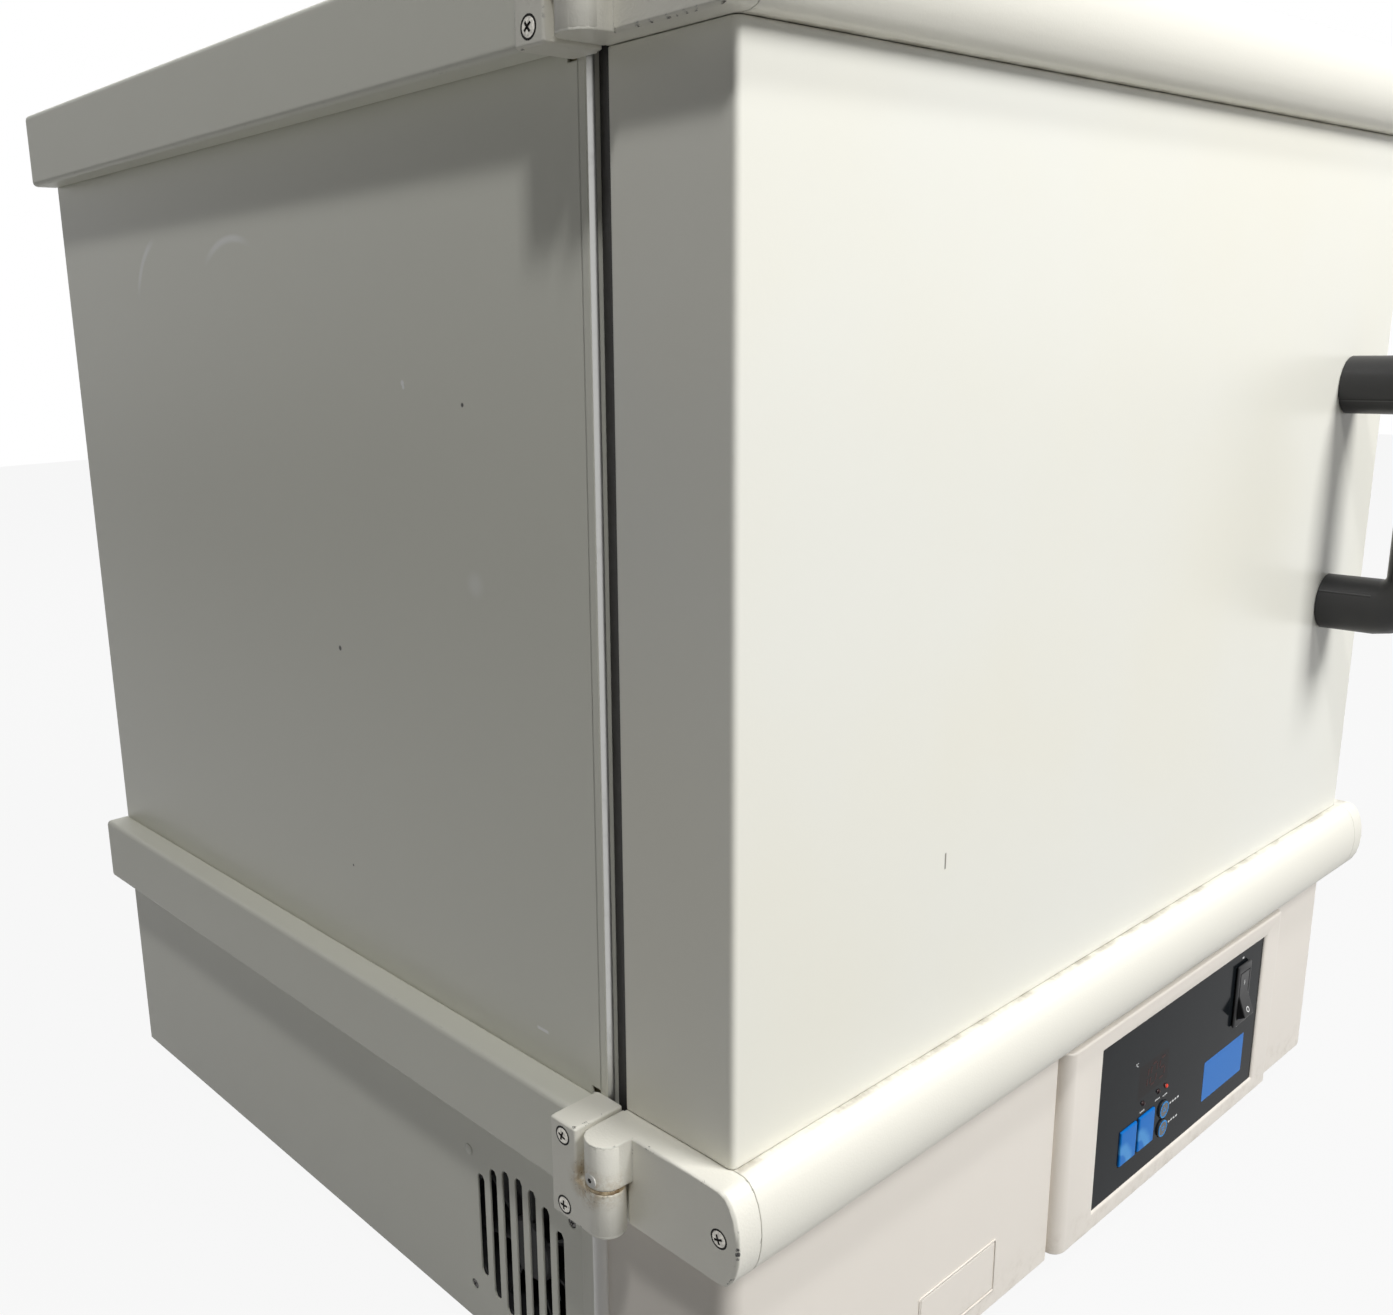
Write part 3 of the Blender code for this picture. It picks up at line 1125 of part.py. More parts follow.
def build_base_front(paint):
    """Moulded front of the base, an open-backed tray with round edges above and below."""
    soft = FRONT_WALL / 3
    back = BASE_SPLIT
    bm = bmesh.new()
    add_loft(bm, [lift(front_outline(soft, back), "z", FOOT_H),
                  lift(front_outline(0, back), "z", FOOT_H + soft),
                  lift(front_outline(0, back), "z", FRONT_TOP - soft),
                  lift(front_outline(soft, back), "z", FRONT_TOP)])
    front = add_piece("base_front_panel", bm, paint)
    hollow = bmesh.new()
    add_prism(hollow, front_outline(FRONT_WALL, back + OVERRUN), "z", FOOT_H + FRONT_WALL,
              FRONT_TOP - FRONT_WALL)
    combine(front, hollow, "DIFFERENCE", "hollow")
    window = bmesh.new()
    margin = CHANNEL_FLOOR_MARGIN / 2
    add_box(window, (WINDOW_X - margin, FRONT_FACE, WINDOW_Z + FRONT_WALL),
            (WINDOW_X + WINDOW_W + margin, FRONT_FACE + CHANNEL_DEPTH + 2 * FRONT_WALL,
             WINDOW_Z + WINDOW_H - FRONT_WALL))
    combine(front, window, "DIFFERENCE", "window")


def build_bezel(paint):
    """Bezel that stands proud of the front, with round sides and a lipped window."""
    left = BEZEL_RIGHT - BEZEL_W
    right = BEZEL_RIGHT
    back = FRONT_FACE + CHANNEL_DEPTH - SEAT_GAP

    def plan(inset):
        radius = BEZEL_SIDE_R - inset
        face = BEZEL_FACE + inset
        return ([(left + inset, back)]
                + arc((left + inset + radius, face + radius), radius, 180, 270, CORNER_STEPS + 2)
                + arc((right - inset - radius, face + radius), radius, 270, 360, CORNER_STEPS + 2)
                + [(right - inset, back)])

    bm = bmesh.new()
    soft = BEZEL_LIP
    add_loft(bm, [lift(plan(soft), "z", FOOT_H + BEZEL_BACK),
                  lift(plan(0), "z", FOOT_H + BEZEL_BACK + soft),
                  lift(plan(0), "z", FRONT_TOP - soft), lift(plan(soft), "z", FRONT_TOP)])
    bezel = add_piece("control_bezel", bm, paint)
    opening = bmesh.new()
    gap = SEAT_GAP

    def window(grow, at):
        return lift(rectangle(WINDOW_X - grow, WINDOW_Z - grow, WINDOW_X + WINDOW_W + grow,
                              WINDOW_Z + WINDOW_H + grow), "y", at)

    add_loft(opening, [window(gap + BEZEL_LIP, BEZEL_FACE - BEZEL_LIP),
                       window(gap + BEZEL_LIP, BEZEL_FACE),
                       window(gap, OVERLAY_FACE), window(gap, OVERLAY_BACK + SEAT_GAP),
                       window(-BEZEL_LIP, OVERLAY_BACK + SEAT_GAP), window(-BEZEL_LIP, back + OVERRUN)])
    combine(bezel, opening, "DIFFERENCE", "window")


def key_places():
    """Name, left edge, bottom edge or centre of the four keys."""
    flat = {"menu_key": MENU_KEY_ALONG, "set_key": SET_KEY_ALONG}
    round_keys = {"up_key": UP_KEY_UP, "down_key": DOWN_KEY_UP}
    return flat, round_keys


def flat_key_outline(along, grow):
    x, z = WINDOW_X + along, WINDOW_Z + KEY_UP
    return rectangle(x - grow, z - grow, x + KEY_W + grow, z + KEY_H + grow)


def round_key_centre(up):
    return WINDOW_X + ROUND_KEYS_ALONG, WINDOW_Z + up


def switch_corners(margin):
    x, z = WINDOW_X + WINDOW_W - SWITCH_FROM_RIGHT, WINDOW_Z + SWITCH_UP
    return x + margin, z + margin, x + SWITCH_W - margin, z + SWITCH_H - margin


def build_overlay(gloss, blue):
    """Flat overlay with its holes, and the four sprung keys."""
    bm = bmesh.new()
    add_box(bm, (WINDOW_X, OVERLAY_FACE, WINDOW_Z),
            (WINDOW_X + WINDOW_W, OVERLAY_BACK, WINDOW_Z + WINDOW_H))
    overlay = add_piece("control_overlay", bm, gloss)
    holes = bmesh.new()
    start, end = OVERLAY_FACE - OVERRUN, OVERLAY_BACK + OVERRUN
    flat, round_keys = key_places()
    deep = OVERLAY_BACK + KEY_DEPTH
    for name, along in flat.items():
        add_prism(holes, flat_key_outline(along, KEY_CLEAR), "y", start, end)
        axis = add_axis(f"{name}_axis", (WINDOW_X + along + KEY_W / 2, OVERLAY_FACE,
                                         WINDOW_Z + KEY_UP + KEY_H / 2))
        key = bmesh.new()
        wide = flat_key_outline(along, 0)
        slim = flat_key_outline(along, -KEY_ROUND)
        add_loft(key, [lift(slim, "y", OVERLAY_FACE - KEY_PROUD),
                       lift(wide, "y", OVERLAY_FACE - KEY_PROUD + KEY_ROUND), lift(wide, "y", deep)])
        add_piece(name, key, blue, origin=axis.location, parent=axis)
    for name, up in round_keys.items():
        centre = round_key_centre(up)
        add_cylinder(holes, centre, ROUND_KEY_R + KEY_CLEAR, "y", start, end, ROUND_STEPS)
        axis = add_axis(f"{name}_axis", (centre[0], OVERLAY_FACE, centre[1]))
        key = bmesh.new()
        profile = [(OVERLAY_FACE - KEY_PROUD, ROUND_KEY_R - KEY_ROUND),
                   (OVERLAY_FACE - KEY_PROUD + KEY_ROUND, ROUND_KEY_R), (deep, ROUND_KEY_R)]
        add_turned(key, centre, "y", profile, ROUND_STEPS)
        add_piece(name, key, blue, origin=axis.location, parent=axis)
    for along in LAMP_PLACES:
        centre = (WINDOW_X + along, WINDOW_Z + LAMP_UP)
        add_cylinder(holes, centre, LAMP_R + LAMP_CLEAR, "y", start, end, SMALL_STEPS)
    left, low, right, high = switch_corners(SWITCH_BODY_MARGIN - SEAT_GAP)
    add_box(holes, (left, start, low), (right, end, high))
    combine(overlay, holes, "DIFFERENCE", "holes")


def build_power_switch(black):
    """Rocker switch: flanged body with a round-bottomed slot, and the rocker on its pivot."""
    left, low, right, high = switch_corners(0)
    middle_x, middle_z = (left + right) / 2, (low + high) / 2
    flange_back = OVERLAY_FACE - SEAT_GAP
    pivot_y = OVERLAY_FACE + ROCKER_PIVOT_SINK
    bm = bmesh.new()
    add_box(bm, (left, flange_back - SWITCH_FLANGE_T, low), (right, flange_back, high))
    body = add_piece("switch_body", bm, black)
    round_edges(body, SWITCH_ROUND, 1)
    block = bmesh.new()
    b_left, b_low, b_right, b_high = switch_corners(SWITCH_BODY_MARGIN)
    add_box(block, (b_left, flange_back - SWITCH_FLANGE_T / 2, b_low),
            (b_right, flange_back + SWITCH_BODY_D, b_high))
    combine(body, block, "UNION", "block")
    half_w = ROCKER_W / 2
    lean = ROCKER_HALF_H * math.sin(ROCKER_TILT)
    reach = math.hypot(ROCKER_VERTEX + lean, ROCKER_HALF_H * math.cos(ROCKER_TILT))
    pocket = bmesh.new()
    add_cylinder(pocket, (pivot_y, middle_z), reach + ROCKER_CLEAR, "x",
                 middle_x - half_w - ROCKER_CLEAR, middle_x + half_w + ROCKER_CLEAR, ROUND_STEPS)
    combine(body, pocket, "DIFFERENCE", "pocket")

    axis = add_axis("power_rocker_axis", (middle_x, pivot_y, middle_z))
    end_angle = math.degrees(math.atan2(ROCKER_HALF_H * math.cos(ROCKER_TILT), ROCKER_VERTEX + lean))
    tilt = math.degrees(ROCKER_TILT)
    back_angle = math.degrees(math.acos(ROCKER_BACK / reach))
    outline = arc((pivot_y, middle_z), reach, 180 - end_angle - tilt, back_angle, 5)
    outline += arc((pivot_y, middle_z), reach, -back_angle, -180 + end_angle - tilt, 5)
    vertex = math.radians(180 - tilt)
    outline.append((pivot_y + ROCKER_VERTEX * math.cos(vertex),
                    middle_z + ROCKER_VERTEX * math.sin(vertex)))
    bm = bmesh.new()
    add_prism(bm, outline, "x", middle_x - half_w, middle_x + half_w)
    add_piece("power_rocker", bm, black, origin=axis.location, parent=axis)


def build_cooling_fan(black):
    """Axial fan over the side vents: square frame with three arms, rotor with pitched blades."""
    near = LEFT + SHEET_T + SEAT_GAP
    far = near + FAN_DEPTH
    half = FAN_SIDE / 2
    centre = (FAN_Y, FAN_Z)
    bm = bmesh.new()
    outline = rounded_rectangle(FAN_Y - half, FAN_Z - half, FAN_Y + half, FAN_Z + half, FAN_ROUND)
    add_prism(bm, outline, "x", near, far)
    frame = add_piece("cooling_fan_frame", bm, black)
    bores = bmesh.new()
    add_cylinder(bores, centre, FAN_BORE_R, "x", near - OVERRUN, far + OVERRUN, ROUND_STEPS + 8)
    hole = FAN_HOLE_PITCH / 2
    for y in (FAN_Y - hole, FAN_Y + hole):
        for z in (FAN_Z - hole, FAN_Z + hole):
            add_cylinder(bores, (y, z), FAN_HOLE_R, "x", near - OVERRUN, far + OVERRUN, 8)
    combine(frame, bores, "DIFFERENCE", "bores")
    arms = bmesh.new()
    arm_front = far - FAN_ARM_T
    for i in range(3):
        turn = math.tau * i / 3 + math.radians(20)
        across = Vector((0, -math.sin(turn), math.cos(turn))) * FAN_ARM_W / 2
        out = Vector((0, math.cos(turn), math.sin(turn)))
        middle = Vector((arm_front, FAN_Y, FAN_Z))
        reach = FAN_BORE_R + FAN_ROUND / 2
        loop = [middle - across + out * FAN_HUB_R / 2, middle - across + out * reach,
                middle + across + out * reach, middle + across + out * FAN_HUB_R / 2]
        step = Vector((FAN_ARM_T, 0, 0))
        add_loft(arms, [loop, [p + step for p in loop]])
    combine(frame, arms, "UNION", "arms")
    hub = bmesh.new()
    profile = [(arm_front - RUN_GAP, FAN_HUB_R), (far, FAN_HUB_R), (far, FAN_PIN_R + RUN_GAP),
               (arm_front - RUN_GAP, FAN_PIN_R + RUN_GAP)]
    add_turned(hub, centre, "x", profile, ROUND_STEPS, ring=True)
    combine(frame, hub, "UNION", "hub")

    axis = add_axis("cooling_fan_axis", (near + FAN_DEPTH / 2, FAN_Y, FAN_Z))
    hub_back = arm_front - 2 * RUN_GAP
    hub_front = hub_back - FAN_HUB_H
    profile = [(far - SEAT_GAP, FAN_PIN_R), (hub_back, FAN_PIN_R), (hub_back, FAN_HUB_R),
               (hub_front + FAN_BLADE_T, FAN_HUB_R), (hub_front, FAN_HUB_R - FAN_BLADE_T)]
    bm = bmesh.new()
    add_turned(bm, centre, "x", profile, FAN_BLADES * 4)
    rotor = add_piece("cooling_fan_rotor", bm, black, origin=axis.location, parent=axis)
    blades = bmesh.new()
    tip = FAN_BORE_R - FAN_TIP_CLEAR
    low_x, high_x = hub_front + FAN_BLADE_T, hub_back - FAN_BLADE_T
    for i in range(FAN_BLADES):
        turn = math.tau * i / FAN_BLADES

        def spot(radius, angle, x):
            return Vector((x, FAN_Y + radius * math.cos(angle), FAN_Z + radius * math.sin(angle)))

        loops = []
        for radius in (FAN_HUB_R - FAN_BLADE_T, (FAN_HUB_R + tip) / 2, tip):
            thick = FAN_BLADE_T / radius
            front_edge = turn - FAN_BLADE_SWEEP / 2
            back_edge = turn + FAN_BLADE_SWEEP / 2
            middle = turn - FAN_BLADE_SWEEP / 8
            middle_x = (low_x + high_x) / 2
            loops.append([spot(radius, front_edge, low_x), spot(radius, middle, middle_x),
                          spot(radius, back_edge, high_x), spot(radius, back_edge + thick, high_x),
                          spot(radius, middle + thick, middle_x), spot(radius, front_edge + thick, low_x)])
        add_loft(blades, loops)
    combine(rotor, blades, "UNION", "blades", parent=axis)


def build_electrics(board_finish, black):
    """Control board with its posts and lamps, and the mains inlet at the back."""
    left = WINDOW_X + WINDOW_W / 2 - BOARD_W / 2
    low = WINDOW_Z + FRONT_WALL * 2
    front = OVERLAY_BACK + BOARD_BEHIND
    bm = bmesh.new()
    outline = rectangle(left, low, left + BOARD_W, low + BOARD_H)
    add_prism(bm, outline, "y", front, front + BOARD_T)
    board = add_piece("control_board", bm, board_finish)
    parts = bmesh.new()
    for x_share, z_share, w_share, h_share in BOARD_PARTS_SHARES:
        x, z = left + x_share * BOARD_W, low + z_share * BOARD_H
        add_box(parts, (x, front + BOARD_T / 2, z),
                (x + w_share * BOARD_W, front + BOARD_T + BOARD_PART_TALL, z + h_share * BOARD_H))
    seat = FRONT_FACE + CHANNEL_DEPTH + FRONT_WALL + SEAT_GAP
    for x in (left + BOARD_POST_INSET / 2, left + BOARD_W - BOARD_POST_INSET / 2):
        for z in (low + BOARD_POST_INSET / 2, low + BOARD_H - BOARD_POST_INSET / 2):
            add_cylinder(parts, (x, z), BOARD_POST_R, "y", seat, front + BOARD_T / 2, 8)
    tip = OVERLAY_FACE - LAMP_PROUD
    for along in LAMP_PLACES:
        profile = [(tip, LAMP_R * 0.4), (tip + LAMP_R * 0.3, LAMP_R * 0.8), (tip + LAMP_R, LAMP_R),
                   (front + BOARD_T / 2, LAMP_R)]
        add_turned(parts, (WINDOW_X + along, WINDOW_Z + LAMP_UP), "y", profile, SMALL_STEPS)
    combine(board, parts, "UNION", "parts_posts_and_lamps")

    x, z = inlet_place()
    back = BASE_BACK + SEAT_GAP
    bm = bmesh.new()
    wide = rounded_rectangle(x - INLET_W / 2 - INLET_FLANGE, z - INLET_H / 2 - INLET_FLANGE,
                             x + INLET_W / 2 + INLET_FLANGE, z + INLET_H / 2 + INLET_FLANGE, INLET_FLANGE)
    add_prism(bm, wide, "y", back, back + INLET_FLANGE_T)
    inlet = add_piece("power_inlet", bm, black)
    block = bmesh.new()
    add_box(block, (x - INLET_W / 2, back - INLET_D, z - INLET_H / 2),
            (x + INLET_W / 2, back + INLET_FLANGE_T / 2, z + INLET_H / 2))
    combine(inlet, block, "UNION", "block")
    socket = bmesh.new()
    cut = INLET_WALL
    left, right = x - INLET_W / 2 + cut, x + INLET_W / 2 - cut
    low, high = z - INLET_H / 2 + cut, z + INLET_H / 2 - cut
    outline = [(left, low), (right, low), (right, high - cut), (right - cut, high),
               (left + cut, high), (left, high - cut)]
    floor = back + INLET_FLANGE_T - INLET_SOCKET_D
    add_prism(socket, outline, "y", floor, back + INLET_FLANGE_T + OVERRUN)
    combine(inlet, socket, "DIFFERENCE", "socket")
    pins = bmesh.new()
    for offset, drop in ((-INLET_PINS_APART, 0), (0, INLET_EARTH_DROP), (INLET_PINS_APART, 0)):
        px, pz = x + offset, z - INLET_EARTH_DROP / 2 + drop - INLET_PIN_T
        add_box(pins, (px - INLET_PIN_T / 2, floor - INLET_WALL / 2, pz - INLET_PIN_W / 2),
                (px + INLET_PIN_T / 2, floor + INLET_PIN_L, pz + INLET_PIN_W / 2))
    combine(inlet, pins, "UNION", "pins")


def build_feet(rubber):
    """Four tapered rubber feet."""
    top = FOOT_H - SEAT_GAP
    for side, x in (("left", LEFT + FOOT_INSET_X), ("right", RIGHT - FOOT_INSET_X)):
        for end, y in (("front", DOOR_FRONT + FOOT_INSET_FRONT), ("rear", BASE_BACK - FOOT_INSET_BACK)):
            profile = [(0, FOOT_R - FOOT_TAPER - SHEET_T), (SHEET_T, FOOT_R - FOOT_TAPER), (top, FOOT_R)]
            bm = bmesh.new()
            add_turned(bm, (x, y), "z", profile, HOLE_STEPS)
            add_piece(f"{end}_{side}_foot", bm, rubber)


def main():
    clear_scene()
    warm_white = make_finish("warm_white_paint", (0.74, 0.73, 0.69), 0.45)
    door_white = make_finish("door_white_paint", (0.80, 0.79, 0.75), 0.42)
    base_grey = make_finish("base_pale_moulding", (0.72, 0.70, 0.67), 0.5)
    steel = make_finish("stainless_steel", (0.58, 0.58, 0.57), 0.3, 0.95)
    zinc = make_finish("zinc_plate", (0.55, 0.55, 0.53), 0.4, 0.8)
    wool = make_finish("mineral_wool", (0.62, 0.55, 0.36), 0.95)
    silicone = make_finish("dark_silicone", (0.05, 0.05, 0.05), 0.6)
    charcoal = make_finish("charcoal_plastic", (0.07, 0.07, 0.075), 0.5)
    black = make_finish("black_plastic", (0.015, 0.015, 0.016), 0.35)
    gloss = make_finish("panel_gloss", (0.03, 0.032, 0.034), 0.15)
    blue = make_finish("key_blue", (0.02, 0.22, 0.62), 0.35)
    beige = make_finish("washer_nylon", (0.66, 0.58, 0.42), 0.5)
    motor_grey = make_finish("motor_grey", (0.25, 0.26, 0.27), 0.5, 0.3)
    board_green = make_finish("board_green", (0.03, 0.18, 0.08), 0.5)
    rubber = make_finish("foot_rubber", (0.03, 0.03, 0.03), 0.8)

    build_cabinet_shell(warm_white)
    build_front_frame(warm_white)
    build_chamber(steel, wool)
    build_gasket(silicone)
    build_rails(warm_white)
    build_rear_vent(steel, zinc)
    build_side_ducts(steel)
    build_floor_duct(steel)
    for name, z in zip(("lower_shelf", "upper_shelf"), shelf_levels()):
        build_shelf(name, z, steel)
    build_probe(steel)
    build_heater(steel)
    build_blower(steel, motor_grey)

    hinge_axis = add_axis("door_axis", (AXIS_X, AXIS_Y, DOOR_LOW))
    for level, edge, outward in (("lower", DOOR_LOW, -1), ("upper", DOOR_HIGH, 1)):
        build_hinge(level, edge, outward, warm_white, hinge_axis)
        build_fixed_hinge(level, edge, outward, warm_white)
    build_hinge_hardware(zinc, beige, hinge_axis)
    build_trims(warm_white, hinge_axis)
    build_door_panels(door_white, steel, wool, hinge_axis)
    build_catch(black)
    build_handle(charcoal, hinge_axis)

    build_base_housing(warm_white, zinc)
    build_base_front(base_grey)
    build_bezel(base_grey)
    build_overlay(gloss, blue)
    build_power_switch(black)
    build_cooling_fan(black)
    build_electrics(board_green, black)
    build_feet(rubber)


main()
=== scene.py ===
"""Looks of a bench forced-air oven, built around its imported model.

The oven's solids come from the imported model. This file gives each of them its finish, adds the
screws, printed marks, lamps, plates and trim that the solids leave out, and sets the floor, the
lights and the camera. Lengths are in metres, +Z is up and the door faces -Y.
"""

import json
import math

import bmesh
import bpy
from bpy.props import FloatProperty, FloatVectorProperty, IntProperty, PointerProperty
from bpy.types import Operator, Panel, PropertyGroup
from mathutils import Matrix, Vector
from mathutils.bvhtree import BVHTree


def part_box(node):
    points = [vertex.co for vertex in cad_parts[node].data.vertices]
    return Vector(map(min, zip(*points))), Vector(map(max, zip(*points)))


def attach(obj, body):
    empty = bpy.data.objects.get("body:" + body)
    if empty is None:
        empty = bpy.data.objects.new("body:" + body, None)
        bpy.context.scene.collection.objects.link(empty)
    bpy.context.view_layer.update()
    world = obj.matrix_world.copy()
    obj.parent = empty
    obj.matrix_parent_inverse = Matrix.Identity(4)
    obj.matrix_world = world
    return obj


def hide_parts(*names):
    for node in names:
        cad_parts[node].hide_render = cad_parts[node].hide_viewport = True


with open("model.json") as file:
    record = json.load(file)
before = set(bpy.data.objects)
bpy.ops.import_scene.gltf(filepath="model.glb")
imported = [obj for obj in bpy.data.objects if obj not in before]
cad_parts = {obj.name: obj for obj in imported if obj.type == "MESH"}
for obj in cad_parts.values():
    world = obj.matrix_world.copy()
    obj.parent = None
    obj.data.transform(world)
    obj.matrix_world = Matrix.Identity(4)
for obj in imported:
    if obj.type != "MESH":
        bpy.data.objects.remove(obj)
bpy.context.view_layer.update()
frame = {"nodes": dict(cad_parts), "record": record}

bl_info = {
    "name": "Bench forced-air oven",
    "version": (1, 0, 0),
    "blender": (4, 5, 0),
    "location": "3D View > Sidebar > Oven",
    "description": "Finishes and small parts of a bench forced-air oven",
    "category": "Object",
}

PHOTO_SIZE = (1393, 1315)

# Where the camera stood, worked out from the cabinet's straight edges
CAMERA_PLACE = (-0.66665, -0.59986, 0.53744)
CAMERA_YAW = 40.07
CAMERA_PITCH = -14.08
CAMERA_ROLL = -1.72
CAMERA_FOCAL_PIXELS = 1341.3
CAMERA_CENTRE_PIXELS = (553.1, 670.2)
SENSOR_WIDTH = 36.0


# Properties

def colour_property(label, default, text):
    return FloatVectorProperty(name=label, description=text, default=default, size=3, min=0.0,
                               max=1.0, subtype="COLOR")


def length_property(label, default, text):
    return FloatProperty(name=label, description=text, default=default, min=0.0, soft_max=0.1,
                         precision=5, subtype="DISTANCE", unit="LENGTH")


class OvenFinishes(PropertyGroup):
    """Colours and textures of the oven's paints, mouldings and metals"""
    cabinet: colour_property("Cabinet paint", (0.765, 0.760, 0.675), "Powder coat of the cabinet")
    door: colour_property("Door paint", (0.825, 0.82, 0.755), "Smooth coat of the door's panel")
    hinge: colour_property("Trim paint", (0.845, 0.825, 0.740), "Coat of the trims and hinges")
    base: colour_property("Base moulding", (0.82, 0.768, 0.698), "Moulded front and bezel")
    overlay: colour_property("Overlay", (0.008, 0.010, 0.012), "Glossy film over the panel")
    key: colour_property("Keys", (0.004, 0.165, 0.57), "Printed blue of the keys and the plate")
    handle: colour_property("Handle", (0.030, 0.030, 0.031), "Moulded bow handle")
    steel: colour_property("Stainless steel", (0.56, 0.56, 0.545), "Chamber, ducts and inner door")
    grain: length_property("Paint grain", 0.0009, "Distance between the bumps of textured paint")
    edge_radius: length_property("Edge radius", 0.0009, "Rounding that shows on folded edges")
    wear: FloatProperty(name="Wear", description="Strength of chips, stains and scuffs",
                        default=1.0, min=0.0, max=2.0, subtype="FACTOR")


class OvenFixings(PropertyGroup):
    """Sizes of the screws and rivets"""
    hinge_head: length_property("Hinge screw head", 0.0036, "Head radius on blocks and caps")
    panel_head: length_property("Panel screw head", 0.0033, "Head radius on sheet panels")
    rivet_head: length_property("Rivet head", 0.0022, "Head radius inside the chamber")
    set_screw: length_property("Set screw", 0.0033, "Cap radius on the hinge knuckles")
    head_height: length_property("Head height", 0.0007, "How far a head stands proud")
    steps: IntProperty(name="Steps round a head", description="Segments of one head", default=20,
                       min=8, max=48)


class OvenPanelMarks(PropertyGroup):
    """Sizes of the marks and lamps on the control panel"""
    digit_height: length_property("Digit height", 0.0135, "Height of one digit of the display")
    mark_line: length_property("Mark line", 0.00045, "Width of a printed line")
    print_lift: length_property("Print thickness", 0.00005, "How far print stands off its surface")


class OvenStage(PropertyGroup):
    """Floor, lights and camera"""
    key_power: FloatProperty(name="Key light", description="Power of the large front light, watts",
                             default=99.0, min=0.0, unit="POWER")
    top_power: FloatProperty(name="Ceiling light", description="Power of the small light high on "
                             "the left, watts", default=23.0, min=0.0, unit="POWER")
    back_power: FloatProperty(name="Back light", description="Power of the light behind, watts",
                              default=34.0, min=0.0, unit="POWER")
    sky: FloatProperty(name="Room light", description="Strength of the light from all round",
                       default=0.05, min=0.0, max=2.0)
    floor: colour_property("Floor", (0.27, 0.27, 0.265), "Pale floor")
    floor_white: FloatProperty(name="Floor whiteness", description="How much of the floor's own "
                               "white the camera sees over its shading", default=0.92, min=0.0,
                               max=1.0, subtype="FACTOR")


# Shader maths

class Value:
    """A number inside a material: sums on it add the Math nodes that work it out."""

    def __init__(self, tree, socket):
        self.tree = tree
        self.socket = socket

    def _math(self, operation, *inputs, clamp=False):
        node = self.tree.nodes.new("ShaderNodeMath")
        node.operation = operation
        node.use_clamp = clamp
        for slot, value in zip(node.inputs, inputs):
            if isinstance(value, Value):
                self.tree.links.new(value.socket, slot)
            else:
                slot.default_value = value
        return Value(self.tree, node.outputs[0])

    def __add__(self, other):
        return self._math("ADD", self, other)

    def __radd__(self, other):
        return self._math("ADD", other, self)

    def __sub__(self, other):
        return self._math("SUBTRACT", self, other)

    def __rsub__(self, other):
        return self._math("SUBTRACT", other, self)

    def __mul__(self, other):
        return self._math("MULTIPLY", self, other)

    def __rmul__(self, other):
        return self._math("MULTIPLY", other, self)

    def __gt__(self, other):
        return self._math("GREATER_THAN", self, other)

    def __lt__(self, other):
        return self._math("LESS_THAN", self, other)

    def __abs__(self):
        return self._math("ABSOLUTE", self)

    def clamped(self):
        return self._math("ADD", self, 0.0, clamp=True)

    def power(self, exponent):
        return self._math("POWER", self, exponent)

    def between(self, low, high):
        """0 below low, 1 above high, and smooth from one to the other."""
        node = self.tree.nodes.new("ShaderNodeMapRange")
        node.interpolation_type = "SMOOTHSTEP"
        self.tree.links.new(self.socket, node.inputs["Value"])
        node.inputs["From Min"].default_value = low
        node.inputs["From Max"].default_value = high
        return Value(self.tree, node.outputs["Result"])


